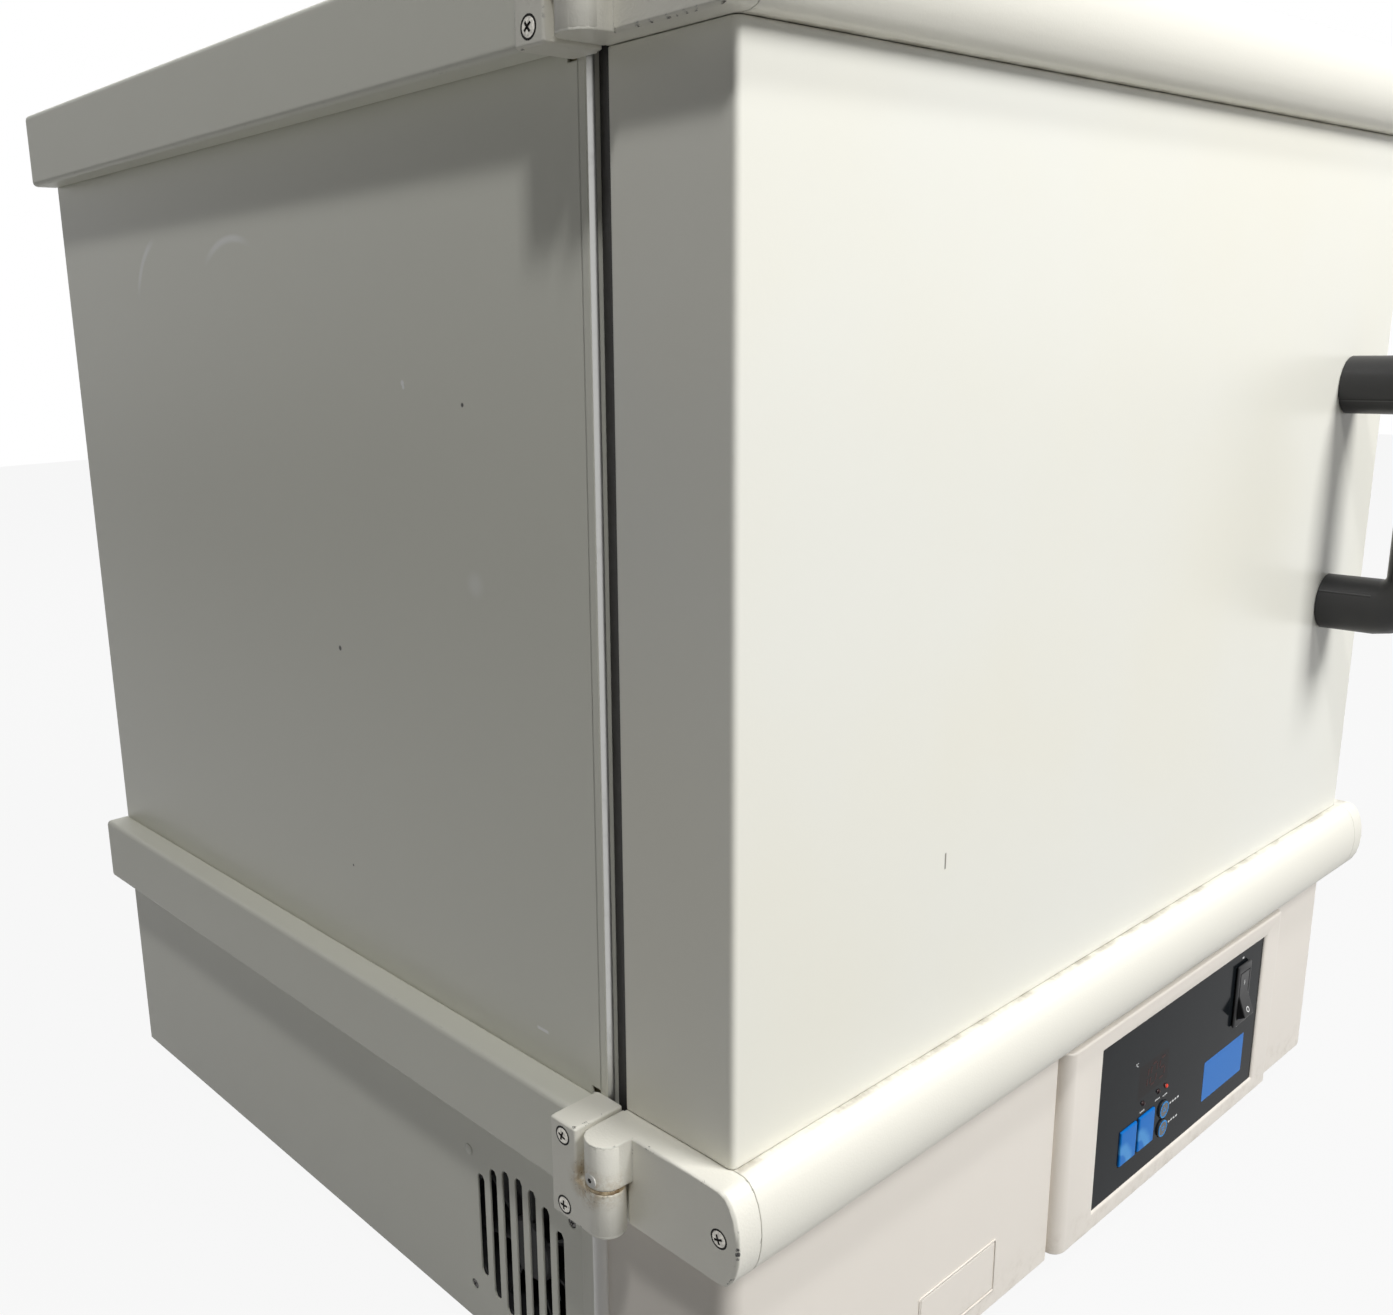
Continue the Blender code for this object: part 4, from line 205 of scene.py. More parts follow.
class Finish:
    """One material, and the nodes that its colour, gloss and bumps are worked out with."""

    def __init__(self, name, roughness=0.5, metallic=0.0, colour=(0.5, 0.5, 0.5), **extra):
        self.material = bpy.data.materials.new(name)
        self.material.use_nodes = True
        self.tree = self.material.node_tree
        self.shader = self.tree.nodes["Principled BSDF"]
        self.shader.inputs["Roughness"].default_value = roughness
        self.shader.inputs["Metallic"].default_value = metallic
        self.shader.inputs["Base Color"].default_value = (*colour, 1.0)
        for socket, value in extra.items():
            self.shader.inputs[socket.replace("_", " ")].default_value = value
        self.material.diffuse_color = (*colour, 1.0)

    def node(self, kind, output=0, settings=None, **values):
        """Adds a node: settings first, then the values or links of its sockets."""
        node = self.tree.nodes.new(kind)
        for name, value in (settings or {}).items():
            if name == "stops":
                ramp = node.color_ramp
                while len(ramp.elements) < len(value):
                    ramp.elements.new(0.5)
                for element, (place, colour) in zip(ramp.elements, value):
                    element.position = place
                    element.color = (*colour, 1.0)
            else:
                setattr(node, name, value)
        for name, value in values.items():
            socket = self._socket(node, name)
            if isinstance(value, Value):
                self.tree.links.new(value.socket, socket)
            elif socket.type == "RGBA":
                socket.default_value = (*value[:3], 1.0)
            else:
                socket.default_value = value
        return Value(self.tree, node.outputs[output])

    @staticmethod
    def _socket(node, name):
        if name.startswith("in_"):
            return node.inputs[int(name[3:])]
        wanted = name.replace("_", " ").lower()
        for socket in node.inputs:
            if socket.enabled and socket.name.lower() == wanted:
                return socket
        raise KeyError(f"{node.bl_idname} has no socket {name}")

    def place(self):
        """The point on the piece, in metres."""
        return self.node("ShaderNodeTexCoord", output="Object")

    def axes(self):
        """The point's X, Y and Z."""
        split = self.tree.nodes.new("ShaderNodeSeparateXYZ")
        self.tree.links.new(self.place().socket, split.inputs[0])
        return [Value(self.tree, socket) for socket in split.outputs]

    def stretched(self, scale):
        """The point with each axis scaled, for brushed and drawn patterns."""
        return self.node("ShaderNodeMapping", Vector=self.place(), Scale=scale)

    def noise(self, size, detail=2.0, rough=0.5, at=None, distortion=0.0, seed=0.0):
        """Cloudy noise from 0 to 1 with bumps about size metres apart."""
        point = at or self.place()
        return self.node("ShaderNodeTexNoise", settings={"noise_dimensions": "4D"}, Vector=point,
                         W=seed, Scale=1.0 / size, Detail=detail, Roughness=rough,
                         Distortion=distortion)

    def cells(self, size):
        """Distance to the nearest of scattered points about size metres apart."""
        return self.node("ShaderNodeTexVoronoi", Vector=self.place(), Scale=1.0 / size)

    def near(self, centre, radius, soft):
        """1 within radius of a point, fading to 0 over soft metres."""
        away = self.node("ShaderNodeVectorMath", output="Value",
                         settings={"operation": "DISTANCE"}, in_0=self.place(), in_1=centre)
        return 1.0 - away.between(radius, radius + soft)

    def mix(self, factor, first, second):
        """Blends two colours by a mask."""
        node = self.tree.nodes.new("ShaderNodeMix")
        node.data_type = "RGBA"
        node.clamp_factor = True
        for socket, value in ((node.inputs[0], factor), (node.inputs[6], first),
                              (node.inputs[7], second)):
            if isinstance(value, Value):
                self.tree.links.new(value.socket, socket)
            elif isinstance(value, (int, float)):
                socket.default_value = value
            else:
                socket.default_value = (*value[:3], 1.0)
        return Value(self.tree, node.outputs[2])

    def feed(self, socket, value):
        self.tree.links.new(value.socket, self.shader.inputs[socket])

    def bump(self, height, depth, edge_radius=0.0):
        """Feeds the normal from a height map; edge_radius rounds the light on sharp edges."""
        values = {"Height": height, "Distance": depth}
        if edge_radius:
            values["Normal"] = self.node("ShaderNodeBevel", settings={"samples": 4},
                                         Radius=edge_radius)
        self.feed("Normal", self.node("ShaderNodeBump", **values))

    def edges(self, radius):
        """1 where a sharp outer or inner edge lies within about radius, else 0."""
        rounded = self.node("ShaderNodeBevel", settings={"samples": 4}, Radius=radius)
        flat = self.node("ShaderNodeNewGeometry", output="True Normal")
        along = self.node("ShaderNodeVectorMath", output="Value",
                          settings={"operation": "DOT_PRODUCT"}, in_0=rounded, in_1=flat)
        return (1.0 - along).between(0.015, 0.12)


# Finishes

def scaled(colour, by):
    """The colour made darker or paler."""
    return tuple(min(1.0, channel * by) for channel in colour)


def span(across, up):
    """Length of the slant line whose two offsets are given."""
    return (across * across + up * up).power(0.5)


def textured_paint(name, colour, finishes, roughness=0.44, grain=1.0, depth=0.00006, shade=0.05,
                   chips=0.0, radius=1.0):
    """Powder coat: fine dimples, faint clouds of tone, and dark chips where an edge is worn."""
    finish = Finish(name, roughness, 0.0, colour)
    size = finishes.grain * grain
    dimples = finish.noise(size, 2.0, 0.55)
    clouds = finish.noise(0.16, 3.0, 0.55, seed=2.0)
    dust = finish.noise(0.012, 4.0, 0.7, seed=5.0)
    tone = (clouds - 0.5) * shade * 2.0 + (dust - 0.5) * shade * 0.5
    paler = scaled(colour, 1.12)
    darker = scaled(colour, 0.80)
    shown = finish.mix(0.5 + tone * 2.0, darker, paler)
    shown = finish.mix(0.72, shown, colour)
    rough = roughness + (dust - 0.5) * 0.10 + (clouds - 0.5) * 0.06
    if chips:
        edge = finish.edges(0.0013)
        spots = finish.noise(0.006, 4.0, 0.65, seed=9.0).between(0.56, 0.66)
        chipped = (edge * spots * chips * finishes.wear).clamped()
        shown = finish.mix(chipped, shown, (0.06, 0.055, 0.05))
        rough = rough + chipped * 0.3
    finish.feed("Base Color", shown)
    finish.feed("Roughness", rough)
    finish.bump(dimples, depth, finishes.edge_radius * radius)
    return finish


def cabinet_paint(finishes):
    """Fine textured coat of the cabinet."""
    return textured_paint("cabinet_paint", tuple(finishes.cabinet), finishes, 0.42,
                          depth=0.00004).material


# Marks on the left side sheet, each from its y and z in metres
# Scuff: place, radius, distance over which it fades, strength
SIDE_SCUFFS = ((-0.0666, 0.5171, 0.0008, 0.0010, 1.0), (-0.0672, 0.5152, 0.0005, 0.0009, 1.0),
               (-0.1165, 0.4274, 0.0010, 0.0075, 0.35))
# Arc: centre of its circle, radius, middle of the arc and its reach
SCUFF_ARCS = ((0.170, 0.5555, 0.0455, 0.2010, 0.5840, 0.024),
              (0.090, 0.5400, 0.0523, 0.0970, 0.5890, 0.030))
# Chip: place, radius, distance over which it fades
SIDE_CHIPS = ((-0.1127, 0.5079, 0.0006, 0.0007), (0.0056, 0.3785, 0.0009, 0.0008))
DASH_Y, DASH_Z = -0.1545, 0.2186
SIDE_X = -0.305


def side_paint(finishes):
    """The side sheet's coat: as the cabinet's, with hairline scratches, scuffs and chips."""
    colour = tuple(finishes.cabinet)
    finish = Finish("side_panel_paint", 0.36, 0.0, colour)
    dimples = finish.noise(finishes.grain, 2.0, 0.55)
    clouds = finish.noise(0.20, 3.0, 0.5, seed=3.0)
    bent = finish.node("ShaderNodeMapping", Vector=finish.place(), Rotation=(0.5, 0.0, 0.0),
                       Scale=(1.0, 9.0, 1.0))
    lines = finish.noise(0.03, 6.0, 0.7, at=bent, distortion=1.2, seed=4.0)
    where = finish.noise(0.07, 2.0, 0.5, seed=7.0).between(0.60, 0.70)
    scratch = (lines.between(0.66, 0.70) * where * finishes.wear * 0.5).clamped()
    rare = finish.noise(0.05, 1.0, seed=8.0).between(0.5, 0.56)
    pins = (1.0 - finish.cells(0.075).between(0.006, 0.014)) * rare
    shown = finish.mix(clouds, scaled(colour, 0.97), scaled(colour, 1.03))
    shown = finish.mix(scratch, shown, (0.86, 0.86, 0.83))
    _, y, z = finish.axes()
    dash = 1.0 - abs(z - DASH_Z).between(0.0004, 0.0012)
    scuffs = dash * finish.near((SIDE_X, DASH_Y, DASH_Z), 0.0030, 0.0020)
    for at_y, at_z, radius, soft, strength in SIDE_SCUFFS:
        scuffs = scuffs + finish.near((SIDE_X, at_y, at_z), radius, soft) * strength
    for centre_y, centre_z, radius, at_y, at_z, reach in SCUFF_ARCS:
        arc = 1.0 - abs(span(y - centre_y, z - centre_z) - radius).between(0.0004, 0.0030)
        scuffs = scuffs + arc * finish.near((SIDE_X, at_y, at_z), reach * 0.3, reach * 0.7) * 0.7
    shown = finish.mix((scuffs * finishes.wear).clamped(), shown, (0.98, 0.98, 0.96))
    chips = pins
    for at_y, at_z, radius, soft in SIDE_CHIPS:
        chips = chips + finish.near((SIDE_X, at_y, at_z), radius, soft)
    shown = finish.mix((chips * finishes.wear).clamped(), shown, (0.05, 0.045, 0.04))
    finish.feed("Base Color", shown)
    finish.feed("Roughness", 0.36 + (clouds - 0.5) * 0.10 - scratch * 0.08)
    finish.bump(dimples, 0.00003, finishes.edge_radius)
    return finish.material


def rail_paint(finishes):
    """Rails that hands and trolleys knock: textured coat with dark chips on their edges."""
    return textured_paint("rail_paint", tuple(finishes.cabinet), finishes, 0.45, depth=0.00005,
                          chips=1.0, radius=1.6).material


# The short dark tick low on the door: the middle's x and z, and half its width and height
TICK_X, TICK_Z = -0.1610, 0.2974
TICK_HALF_WIDTH, TICK_HALF_HEIGHT = 0.0003, 0.0034


def door_paint(finishes):
    """Smooth, nearly white coat of the door, a little yellowed, with slight waves in the sheet."""
    colour = tuple(finishes.door)
    finish = Finish("door_paint", 0.30, 0.0, colour)
    orange_peel = finish.noise(0.0022, 2.0, 0.5)
    waves = finish.noise(0.11, 1.0, 0.4, seed=1.0)
    warm = finish.noise(0.30, 3.0, 0.55, seed=6.0)
    yellowed = (colour[0], colour[1] * 0.985, colour[2] * 0.945)
    shown = finish.mix(warm.between(0.35, 0.65), colour, yellowed)
    rare = finish.noise(0.04, 1.0, seed=3.5).between(0.58, 0.64)
    speck = (1.0 - finish.cells(0.05).between(0.004, 0.010)) * rare
    x, y, z = finish.axes()
    across = 1.0 - abs(x - TICK_X).between(TICK_HALF_WIDTH, TICK_HALF_WIDTH + 0.0005)
    upward = 1.0 - abs(z - TICK_Z).between(TICK_HALF_HEIGHT, TICK_HALF_HEIGHT + 0.0010)
    tick = across * upward * (y < 0.0)
    shown = finish.mix(((speck + tick) * finishes.wear).clamped(), shown, (0.20, 0.18, 0.15))
    finish.feed("Base Color", shown)
    finish.feed("Roughness", 0.27 + warm * 0.09)
    finish.bump(orange_peel * 0.12 + waves, 0.00022, finishes.edge_radius * 1.5)
    return finish.material


def trim_paint(finishes):
    """Warm white coat of the rounded trims, with dirt packed in the seam against the door."""
    colour = tuple(finishes.hinge)
    finish = textured_paint("trim_paint", colour, finishes, 0.40, grain=1.1, depth=0.00006,
                            radius=1.2)
    base = Value(finish.tree, finish.shader.inputs["Base Color"].links[0].from_socket)
    _, y, z = finish.axes()
    low_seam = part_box("door_bottom_trim")[1].z
    high_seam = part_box("door_top_trim")[0].z
    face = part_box("door_outer_panel")[0].y
    off_seam = abs(z - low_seam).between(0.0, 0.0011) * abs(z - high_seam).between(0.0, 0.0011)
    corner = 1.0 - abs(y - face).between(0.0010, 0.0042)
    patches = finish.noise(0.02, 4.0, 0.7, seed=11.0).between(0.40, 0.62)
    dirt = ((1.0 - off_seam) * corner * (0.12 + patches * 0.4) * finishes.wear).clamped()
    finish.feed("Base Color", finish.mix(dirt, base, (0.22, 0.18, 0.12)))
    return finish.material


# Middle and radius of each spot where the castings' paint is knocked off, in metres
CHIP_SPOTS = (((-0.3178, -0.2887, 0.1800), 0.0008), ((-0.3178, -0.2890, 0.1778), 0.0012),
              ((-0.3178, -0.2889, 0.1755), 0.0009), ((-0.3334, -0.2122, 0.1570), 0.0010),
              ((-0.3338, -0.2320, 0.1772), 0.0006))


def hinge_paint(finishes):
    """Painted castings of the hinge, with old grease stains that run down from the washer."""
    colour = tuple(finishes.hinge)
    finish = textured_paint("hinge_paint", colour, finishes, 0.38, grain=1.3, depth=0.00011,
                            chips=1.3, radius=1.3)
    base = Value(finish.tree, finish.shader.inputs["Base Color"].links[0].from_socket)
    stain = 0.0
    for washer, strength in (("lower_hinge_washer", 0.95), ("upper_hinge_washer", 0.45)):
        behind = centre_of(washer) + Vector((0.0, 0.003, 0.0005))
        ring = finish.near(tuple(behind), 0.0085, 0.0075)
        stain = stain + ring * strength
    ragged = finish.noise(0.005, 4.0, 0.75, seed=12.0).between(0.34, 0.62)
    stain = (stain * ragged * finishes.wear).clamped()
    shown = finish.mix(stain * 0.75, base, (0.42, 0.29, 0.125))
    deep = (stain * finish.noise(0.0022, 3.0, 0.7, seed=13.0).between(0.55, 0.66)).clamped()
    shown = finish.mix(deep * 0.7, shown, (0.07, 0.045, 0.02))
    torn = finish.noise(0.0012, 3.0, 0.7, seed=14.0).between(0.30, 0.52)
    knocks = 0.0
    for spot, radius in CHIP_SPOTS:
        knocks = knocks + finish.near(spot, radius, radius * 0.4)
    knocks = (knocks * torn * finishes.wear).clamped()
    finish.feed("Base Color", finish.mix(knocks, shown, (0.045, 0.043, 0.040)))
    return finish.material


def base_moulding(finishes):
    """Slightly pink, finely grained moulding of the base front and bezel."""
    colour = tuple(finishes.base)
    finish = Finish("base_moulding", 0.46, 0.0, colour)
    grain = finish.noise(0.0007, 3.0, 0.6)
    clouds = finish.noise(0.12, 3.0, 0.5, seed=2.5)
    _, _, z = finish.axes()
    dust = finish.noise(0.01, 4.0, 0.7, seed=4.5)
    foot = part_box("base_front_panel")[0].z
    low_down = 1.0 - z.between(foot, foot + 0.03)
    grime = (low_down * dust.between(0.45, 0.75) * 0.35 * finishes.wear).clamped()
    shown = finish.mix(clouds, scaled(colour, 0.965), scaled(colour, 1.03))
    shown = finish.mix(grime, shown, (0.42, 0.36, 0.28))
    finish.feed("Base Color", shown)
    finish.feed("Roughness", 0.43 + (dust - 0.5) * 0.10 + grime * 0.2)
    finish.bump(grain, 0.00004, finishes.edge_radius)
    return finish.material


# The display window in the overlay, from the overlay's left and lower edges
WINDOW_LEFT, WINDOW_RIGHT = 0.0485, 0.0855
WINDOW_LOW, WINDOW_HIGH = 0.0515, 0.0735


def overlay_gloss(finishes):
    """Glossy black overlay with finger smears and a darker filter over the display."""
    colour = tuple(finishes.overlay)
    finish = Finish("overlay_gloss", 0.10, 0.0, colour)
    finish.shader.inputs["Specular IOR Level"].default_value = 0.04
    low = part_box("control_overlay")[0]
    x, _, z = finish.axes()
    inside = (x > low.x + WINDOW_LEFT) * (x < low.x + WINDOW_RIGHT)
    inside = inside * (z > low.z + WINDOW_LOW) * (z < low.z + WINDOW_HIGH)
    smear = finish.noise(0.035, 5.0, 0.65, distortion=1.5, seed=1.5)
    prints = finish.noise(0.004, 5.0, 0.6, distortion=0.8, seed=2.2).between(0.5, 0.75)
    greasy = tuple(channel + 0.005 for channel in colour)
    shown = finish.mix(inside * 0.9, colour, (0.007, 0.004, 0.004))
    shown = finish.mix(smear.between(0.45, 0.8) * 0.25, shown, greasy)
    finish.feed("Base Color", shown)
    finish.feed("Roughness", (0.12 - inside * 0.04 + smear.between(0.5, 0.85) * 0.10
                              + prints * 0.04).clamped())
    finish.bump(finish.noise(0.02, 1.0), 0.00003)
    return finish.material


def key_blue(finishes):
    """Printed blue of the flat keys: a dark sweep under a paler curved band."""
    colour = tuple(finishes.key)
    finish = Finish("key_blue", 0.42, 0.0, colour)
    finish.shader.inputs["Specular IOR Level"].default_value = 0.1
    x, _, z = finish.axes()
    wave = finish.noise(0.006, 1.0, 0.3, seed=1.0) * 0.0035
    bands = []
    for node in ("menu_key", "set_key"):
        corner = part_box(node)[0]
        arch = span(x - corner.x, z - corner.z) + wave
        bands.append(arch.between(0.0085, 0.0105) * (1.0 - arch.between(0.0135, 0.0185)))
    right_key = x > (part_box("menu_key")[1].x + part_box("set_key")[0].x) / 2
    sweep = (bands[0] * (1.0 - right_key) + bands[1] * right_key) * 0.55
    shown = finish.mix(sweep, colour, (0.12, 0.42, 0.80))
    worn = finish.noise(0.004, 4.0, 0.7, seed=3.0).between(0.55, 0.8)
    finish.feed("Base Color", finish.mix(worn * 0.12, shown, (0.05, 0.30, 0.65)))
    finish.feed("Roughness", 0.40 + worn * 0.12)
    finish.bump(finish.noise(0.0005, 2.0), 0.00001, 0.0005)
    return finish.material


def round_key_black(finishes):
    """Round keys: the overlay's black film over a domed button."""
    finish = Finish("round_key_black", 0.2, 0.0, (0.016, 0.018, 0.02))
    smear = finish.noise(0.006, 4.0, 0.6, seed=2.0)
    finish.feed("Base Color", finish.mix(smear, (0.012, 0.013, 0.015), (0.035, 0.038, 0.042)))
    finish.feed("Roughness", 0.15 + smear * 0.12)
    finish.bump(finish.noise(0.0005, 2.0), 0.00001, 0.0006)
    return finish.material


def moulded_plastic(name, colour, roughness=0.42, grain=0.0006, depth=0.00005, radius=0.0008):
    """Plain moulded plastic with a spark-eroded grain and lighter rubbed edges."""
    finish = Finish(name, roughness, 0.0, colour)
    finish.shader.inputs["Specular IOR Level"].default_value = 0.25
    grit = finish.noise(grain, 3.0, 0.6)
    clouds = finish.noise(0.02, 3.0, 0.6, seed=2.0)
    rubbed = finish.edges(radius * 1.2) * 0.35
    paler = tuple(min(1.0, c * 1.6 + 0.03) for c in colour)
    shown = finish.mix(clouds, scaled(colour, 0.88), scaled(colour, 1.12))
    finish.feed("Base Color", finish.mix(rubbed, shown, paler))
    finish.feed("Roughness", roughness + (clouds - 0.5) * 0.12 - rubbed * 0.15)
    finish.bump(grit, depth, radius)
    return finish


GRIP_WIDTH = 0.032


def handle_plastic(finishes):
    """Charcoal bow handle with its mould's parting line down both sides, darkened as painted shade
    with a painted highlight line beside it.
    """
    colour = tuple(finishes.handle)
    finish = Finish("handle_plastic", 0.40, 0.0, colour)
    finish.shader.inputs["Specular IOR Level"].default_value = 0.3
    low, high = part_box("handle")
    _, y, z = finish.axes()
    grip = GRIP_WIDTH / 2
    from_middle = abs(z - (low.z + high.z) / 2)
    offset = from_middle - ((high.z - low.z) / 2 - grip * 1.6)
    on_arms = y > low.y + grip * 2.2
    # Mask of the parting line: a real groove in the bump, and painted shade in the colour.
    arms = on_arms * (1.0 - abs(offset).between(0.00022, 0.00060))
    bar = 1.0 - abs(y - (low.y + grip * 1.6)).between(0.00022, 0.00060)
    line = (arms + bar * (offset < -grip * 0.6)).clamped()
    grit = finish.noise(0.0007, 3.0, 0.6)
    clouds = finish.noise(0.03, 3.0, 0.6, seed=2.0)
    hand = (1.0 - from_middle.between(0.03, 0.075)) * clouds
    shown = finish.mix(clouds, scaled(colour, 0.9), scaled(colour, 1.12))
    # A line just beside the parting line's step, coloured paler as a painted highlight.
    seam_highlight = on_arms * (1.0 - abs(offset + 0.0008).between(0.00020, 0.00055))
    shown = finish.mix(line * 0.8, shown, scaled(colour, 0.30))
    shown = finish.mix(seam_highlight.clamped() * 0.7, shown, scaled(colour, 2.4))
    finish.feed("Base Color", shown)
    finish.feed("Roughness", 0.42 + (clouds - 0.5) * 0.1 - hand * 0.12)
    finish.bump(grit * 0.35 - line * 0.9, 0.00012, 0.0006)
    return finish.material


def rubber(name, colour=(0.025, 0.025, 0.026)):
    """Matt rubber, dusty in patches."""
    finish = Finish(name, 0.72, 0.0, colour)
    fine = finish.noise(0.0012, 4.0, 0.65)
    dust = finish.noise(0.008, 4.0, 0.7, seed=4.0).between(0.45, 0.75)
    finish.feed("Base Color", finish.mix(dust * 0.5, colour, tuple(c + 0.07 for c in colour)))
    finish.feed("Roughness", 0.66 + dust * 0.2)
    finish.bump(fine, 0.00007, 0.0006)
    return finish.material


def brushed_steel(name, finishes, along=2, tint=(1.0, 1.0, 1.0), roughness=0.30, heat=0.0):
    """Stainless sheet brushed along one axis, with faint water marks, heat tint and dulling."""
    colour = tuple(c * t for c, t in zip(finishes.steel, tint))
    finish = Finish(name, roughness, 1.0, colour)
    scale = [1.0, 1.0, 1.0]
    scale[along] = 0.02
    lines = finish.noise(0.0006, 3.0, 0.6, at=finish.stretched(scale))
    broad = finish.noise(0.006, 2.0, 0.5, at=finish.stretched(scale), seed=2.0)
    marks = finish.noise(0.05, 5.0, 0.65, seed=5.0)
    shown = finish.mix(lines, scaled(colour, 0.86), scaled(colour, 1.1))
    if heat:
        warm = finish.noise(0.09, 3.0, 0.6, seed=7.0).between(0.42, 0.7)
        shown = finish.mix(warm * heat, shown, (0.42, 0.33, 0.20))
    finish.feed("Base Color", shown)
    finish.feed("Roughness", roughness + (broad - 0.5) * 0.12 + (marks - 0.5) * 0.16)
    finish.bump(lines, 0.00002, 0.0005)
    return finish.material


def zinc_sheet(name):
    """Bright zinc-coated sheet with its broad crystal spangle."""
    finish = Finish(name, 0.40, 0.9, (0.55, 0.56, 0.56))
    spangle = finish.node("ShaderNodeTexVoronoi", output="Color", Vector=finish.place(),
                          Scale=90.0)
    level = finish.node("ShaderNodeRGBToBW", Color=spangle)
    haze = finish.noise(0.05, 4.0, 0.6, seed=2.0)
    finish.feed("Base Color", finish.mix(level, (0.40, 0.42, 0.43), (0.64, 0.65, 0.66)))
    finish.feed("Roughness", 0.30 + level * 0.12 + (haze - 0.5) * 0.2)
    finish.bump(level, 0.00001, 0.0005)
    return finish.material


def bright_metal(name, colour=(0.70, 0.70, 0.70), roughness=0.16):
    """Chromed wire or plated steel, slightly scuffed."""
    finish = Finish(name, roughness, 1.0, colour)
    scuff = finish.noise(0.01, 5.0, 0.7)
    finish.feed("Base Color", finish.mix(scuff.between(0.5, 0.8) * 0.4, colour,
                                         scaled(colour, 0.72)))
    finish.feed("Roughness", roughness + scuff.between(0.45, 0.8) * 0.2)
    finish.bump(finish.noise(0.0008, 3.0), 0.00002, 0.0003)
    return finish.material


def nylon_washer():
    """Beige nylon washer, soaked dark by grease in patches."""
    finish = Finish("nylon_washer", 0.42, 0.0, (0.60, 0.47, 0.29))
    grease = finish.noise(0.005, 4.0, 0.7).between(0.42, 0.66)
    finish.feed("Base Color", finish.mix(grease, (0.62, 0.50, 0.32), (0.22, 0.14, 0.06)))
    finish.feed("Roughness", 0.5 - grease * 0.25)
    finish.bump(finish.noise(0.0009, 3.0), 0.00004, 0.0003)
    return finish.material


def mineral_wool():
    """Pressed wool: pale, fibrous and loose."""
    finish = Finish("mineral_wool", 0.95, 0.0, (0.62, 0.56, 0.38))
    fibres = finish.noise(0.0016, 6.0, 0.75, at=finish.stretched((1.0, 0.2, 0.6)), distortion=2.0)
    clumps = finish.noise(0.018, 4.0, 0.6, seed=3.0)
    finish.feed("Base Color", finish.mix(fibres * 0.5 + clumps * 0.5, (0.45, 0.39, 0.24),
                                         (0.72, 0.66, 0.47)))
    finish.bump(fibres + clumps, 0.0006)
    return finish.material


def motor_enamel():
    """Cast motor case with a rough dark enamel."""
    finish = Finish("motor_enamel", 0.5, 0.0, (0.14, 0.145, 0.15))
    rough = finish.noise(0.0018, 4.0, 0.65)
    finish.feed("Base Color", finish.mix(rough, (0.10, 0.105, 0.11), (0.19, 0.195, 0.20)))
    finish.feed("Roughness", 0.45 + rough * 0.15)
    finish.bump(rough, 0.00012, 0.0008)
    return finish.material


def circuit_board():
    """Green solder mask with copper runs, and black bodies on the parts side."""
    finish = Finish("circuit_board", 0.35, 0.0, (0.03, 0.16, 0.08))
    low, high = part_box("control_board")
    _, y, _ = finish.axes()
    runs = finish.node("ShaderNodeTexBrick", output="Fac",
                       settings={"offset": 0.35, "squash": 1.0},
                       Vector=finish.node("ShaderNodeMapping", Vector=finish.place(),
                                          Rotation=(math.radians(90), 0.0, 0.0)),
                       Scale=60.0, Mortar_Size=0.012)
    parts_side = y > high.y - 0.0135
    posts = y < low.y + 0.030
    lamps = y < low.y + 0.012
    shown = finish.mix(runs, (0.03, 0.16, 0.08), (0.12, 0.34, 0.14))
    shown = finish.mix(parts_side, shown, (0.02, 0.02, 0.022))
    shown = finish.mix(posts, shown, (0.55, 0.53, 0.48))
    finish.feed("Base Color", finish.mix(lamps, shown, (0.045, 0.014, 0.013)))
    finish.feed("Roughness", 0.30 + runs * 0.15)
    finish.bump(runs, 0.00003, 0.0003)
    return finish.material


def heater_sheath():
    """Sheathed heater tube, blued and browned by heat."""
    finish = Finish("heater_sheath", 0.38, 0.9, (0.24, 0.21, 0.19))
    bands = finish.noise(0.03, 4.0, 0.6)
    shown = finish.node("ShaderNodeValToRGB", Fac=bands, settings={"stops": [
        (0.30, (0.08, 0.08, 0.11)), (0.45, (0.16, 0.13, 0.20)), (0.58, (0.34, 0.24, 0.14)),
        (0.75, (0.45, 0.40, 0.34))]})
    finish.feed("Base Color", shown)
    finish.feed("Roughness", 0.32 + bands * 0.2)
    finish.bump(finish.noise(0.001, 3.0), 0.00004)
    return finish.material


def plain_print(name, colour, roughness=0.45):
    """Thin screen print: even colour with soft wear."""
    finish = Finish(name, roughness, 0.0, colour)
    finish.shader.inputs["Specular IOR Level"].default_value = 0.1
    worn = finish.noise(0.0009, 4.0, 0.7)
    finish.feed("Base Color", finish.mix(worn.between(0.6, 0.8) * 0.35, colour,
                                         scaled(colour, 0.6)))
    finish.feed("Roughness", roughness + worn * 0.1)
    return finish.material


def glowing(name, colour, strength, unlit):
    """Lit mark behind smoked film, a little uneven."""
    finish = Finish(name, 0.3, 0.0, unlit)
    finish.shader.inputs["Specular IOR Level"].default_value = 0.05
    finish.shader.inputs["Emission Strength"].default_value = strength
    spread = finish.noise(0.0012, 2.0)
    finish.feed("Emission Color", finish.mix(spread, scaled(colour, 0.7), colour))
    return finish.material


def screw_metal(name, colour, roughness):
    """Plated screw, dull in patches."""
    finish = Finish(name, roughness, 1.0, colour)
    dull = finish.noise(0.0011, 3.0, 0.65)
    finish.feed("Base Color", finish.mix(dull.between(0.35, 0.7), scaled(colour, 0.55), colour))
    finish.feed("Roughness", roughness + dull * 0.2)
    finish.bump(finish.noise(0.0004, 2.0), 0.00001, 0.0002)
    return finish.material


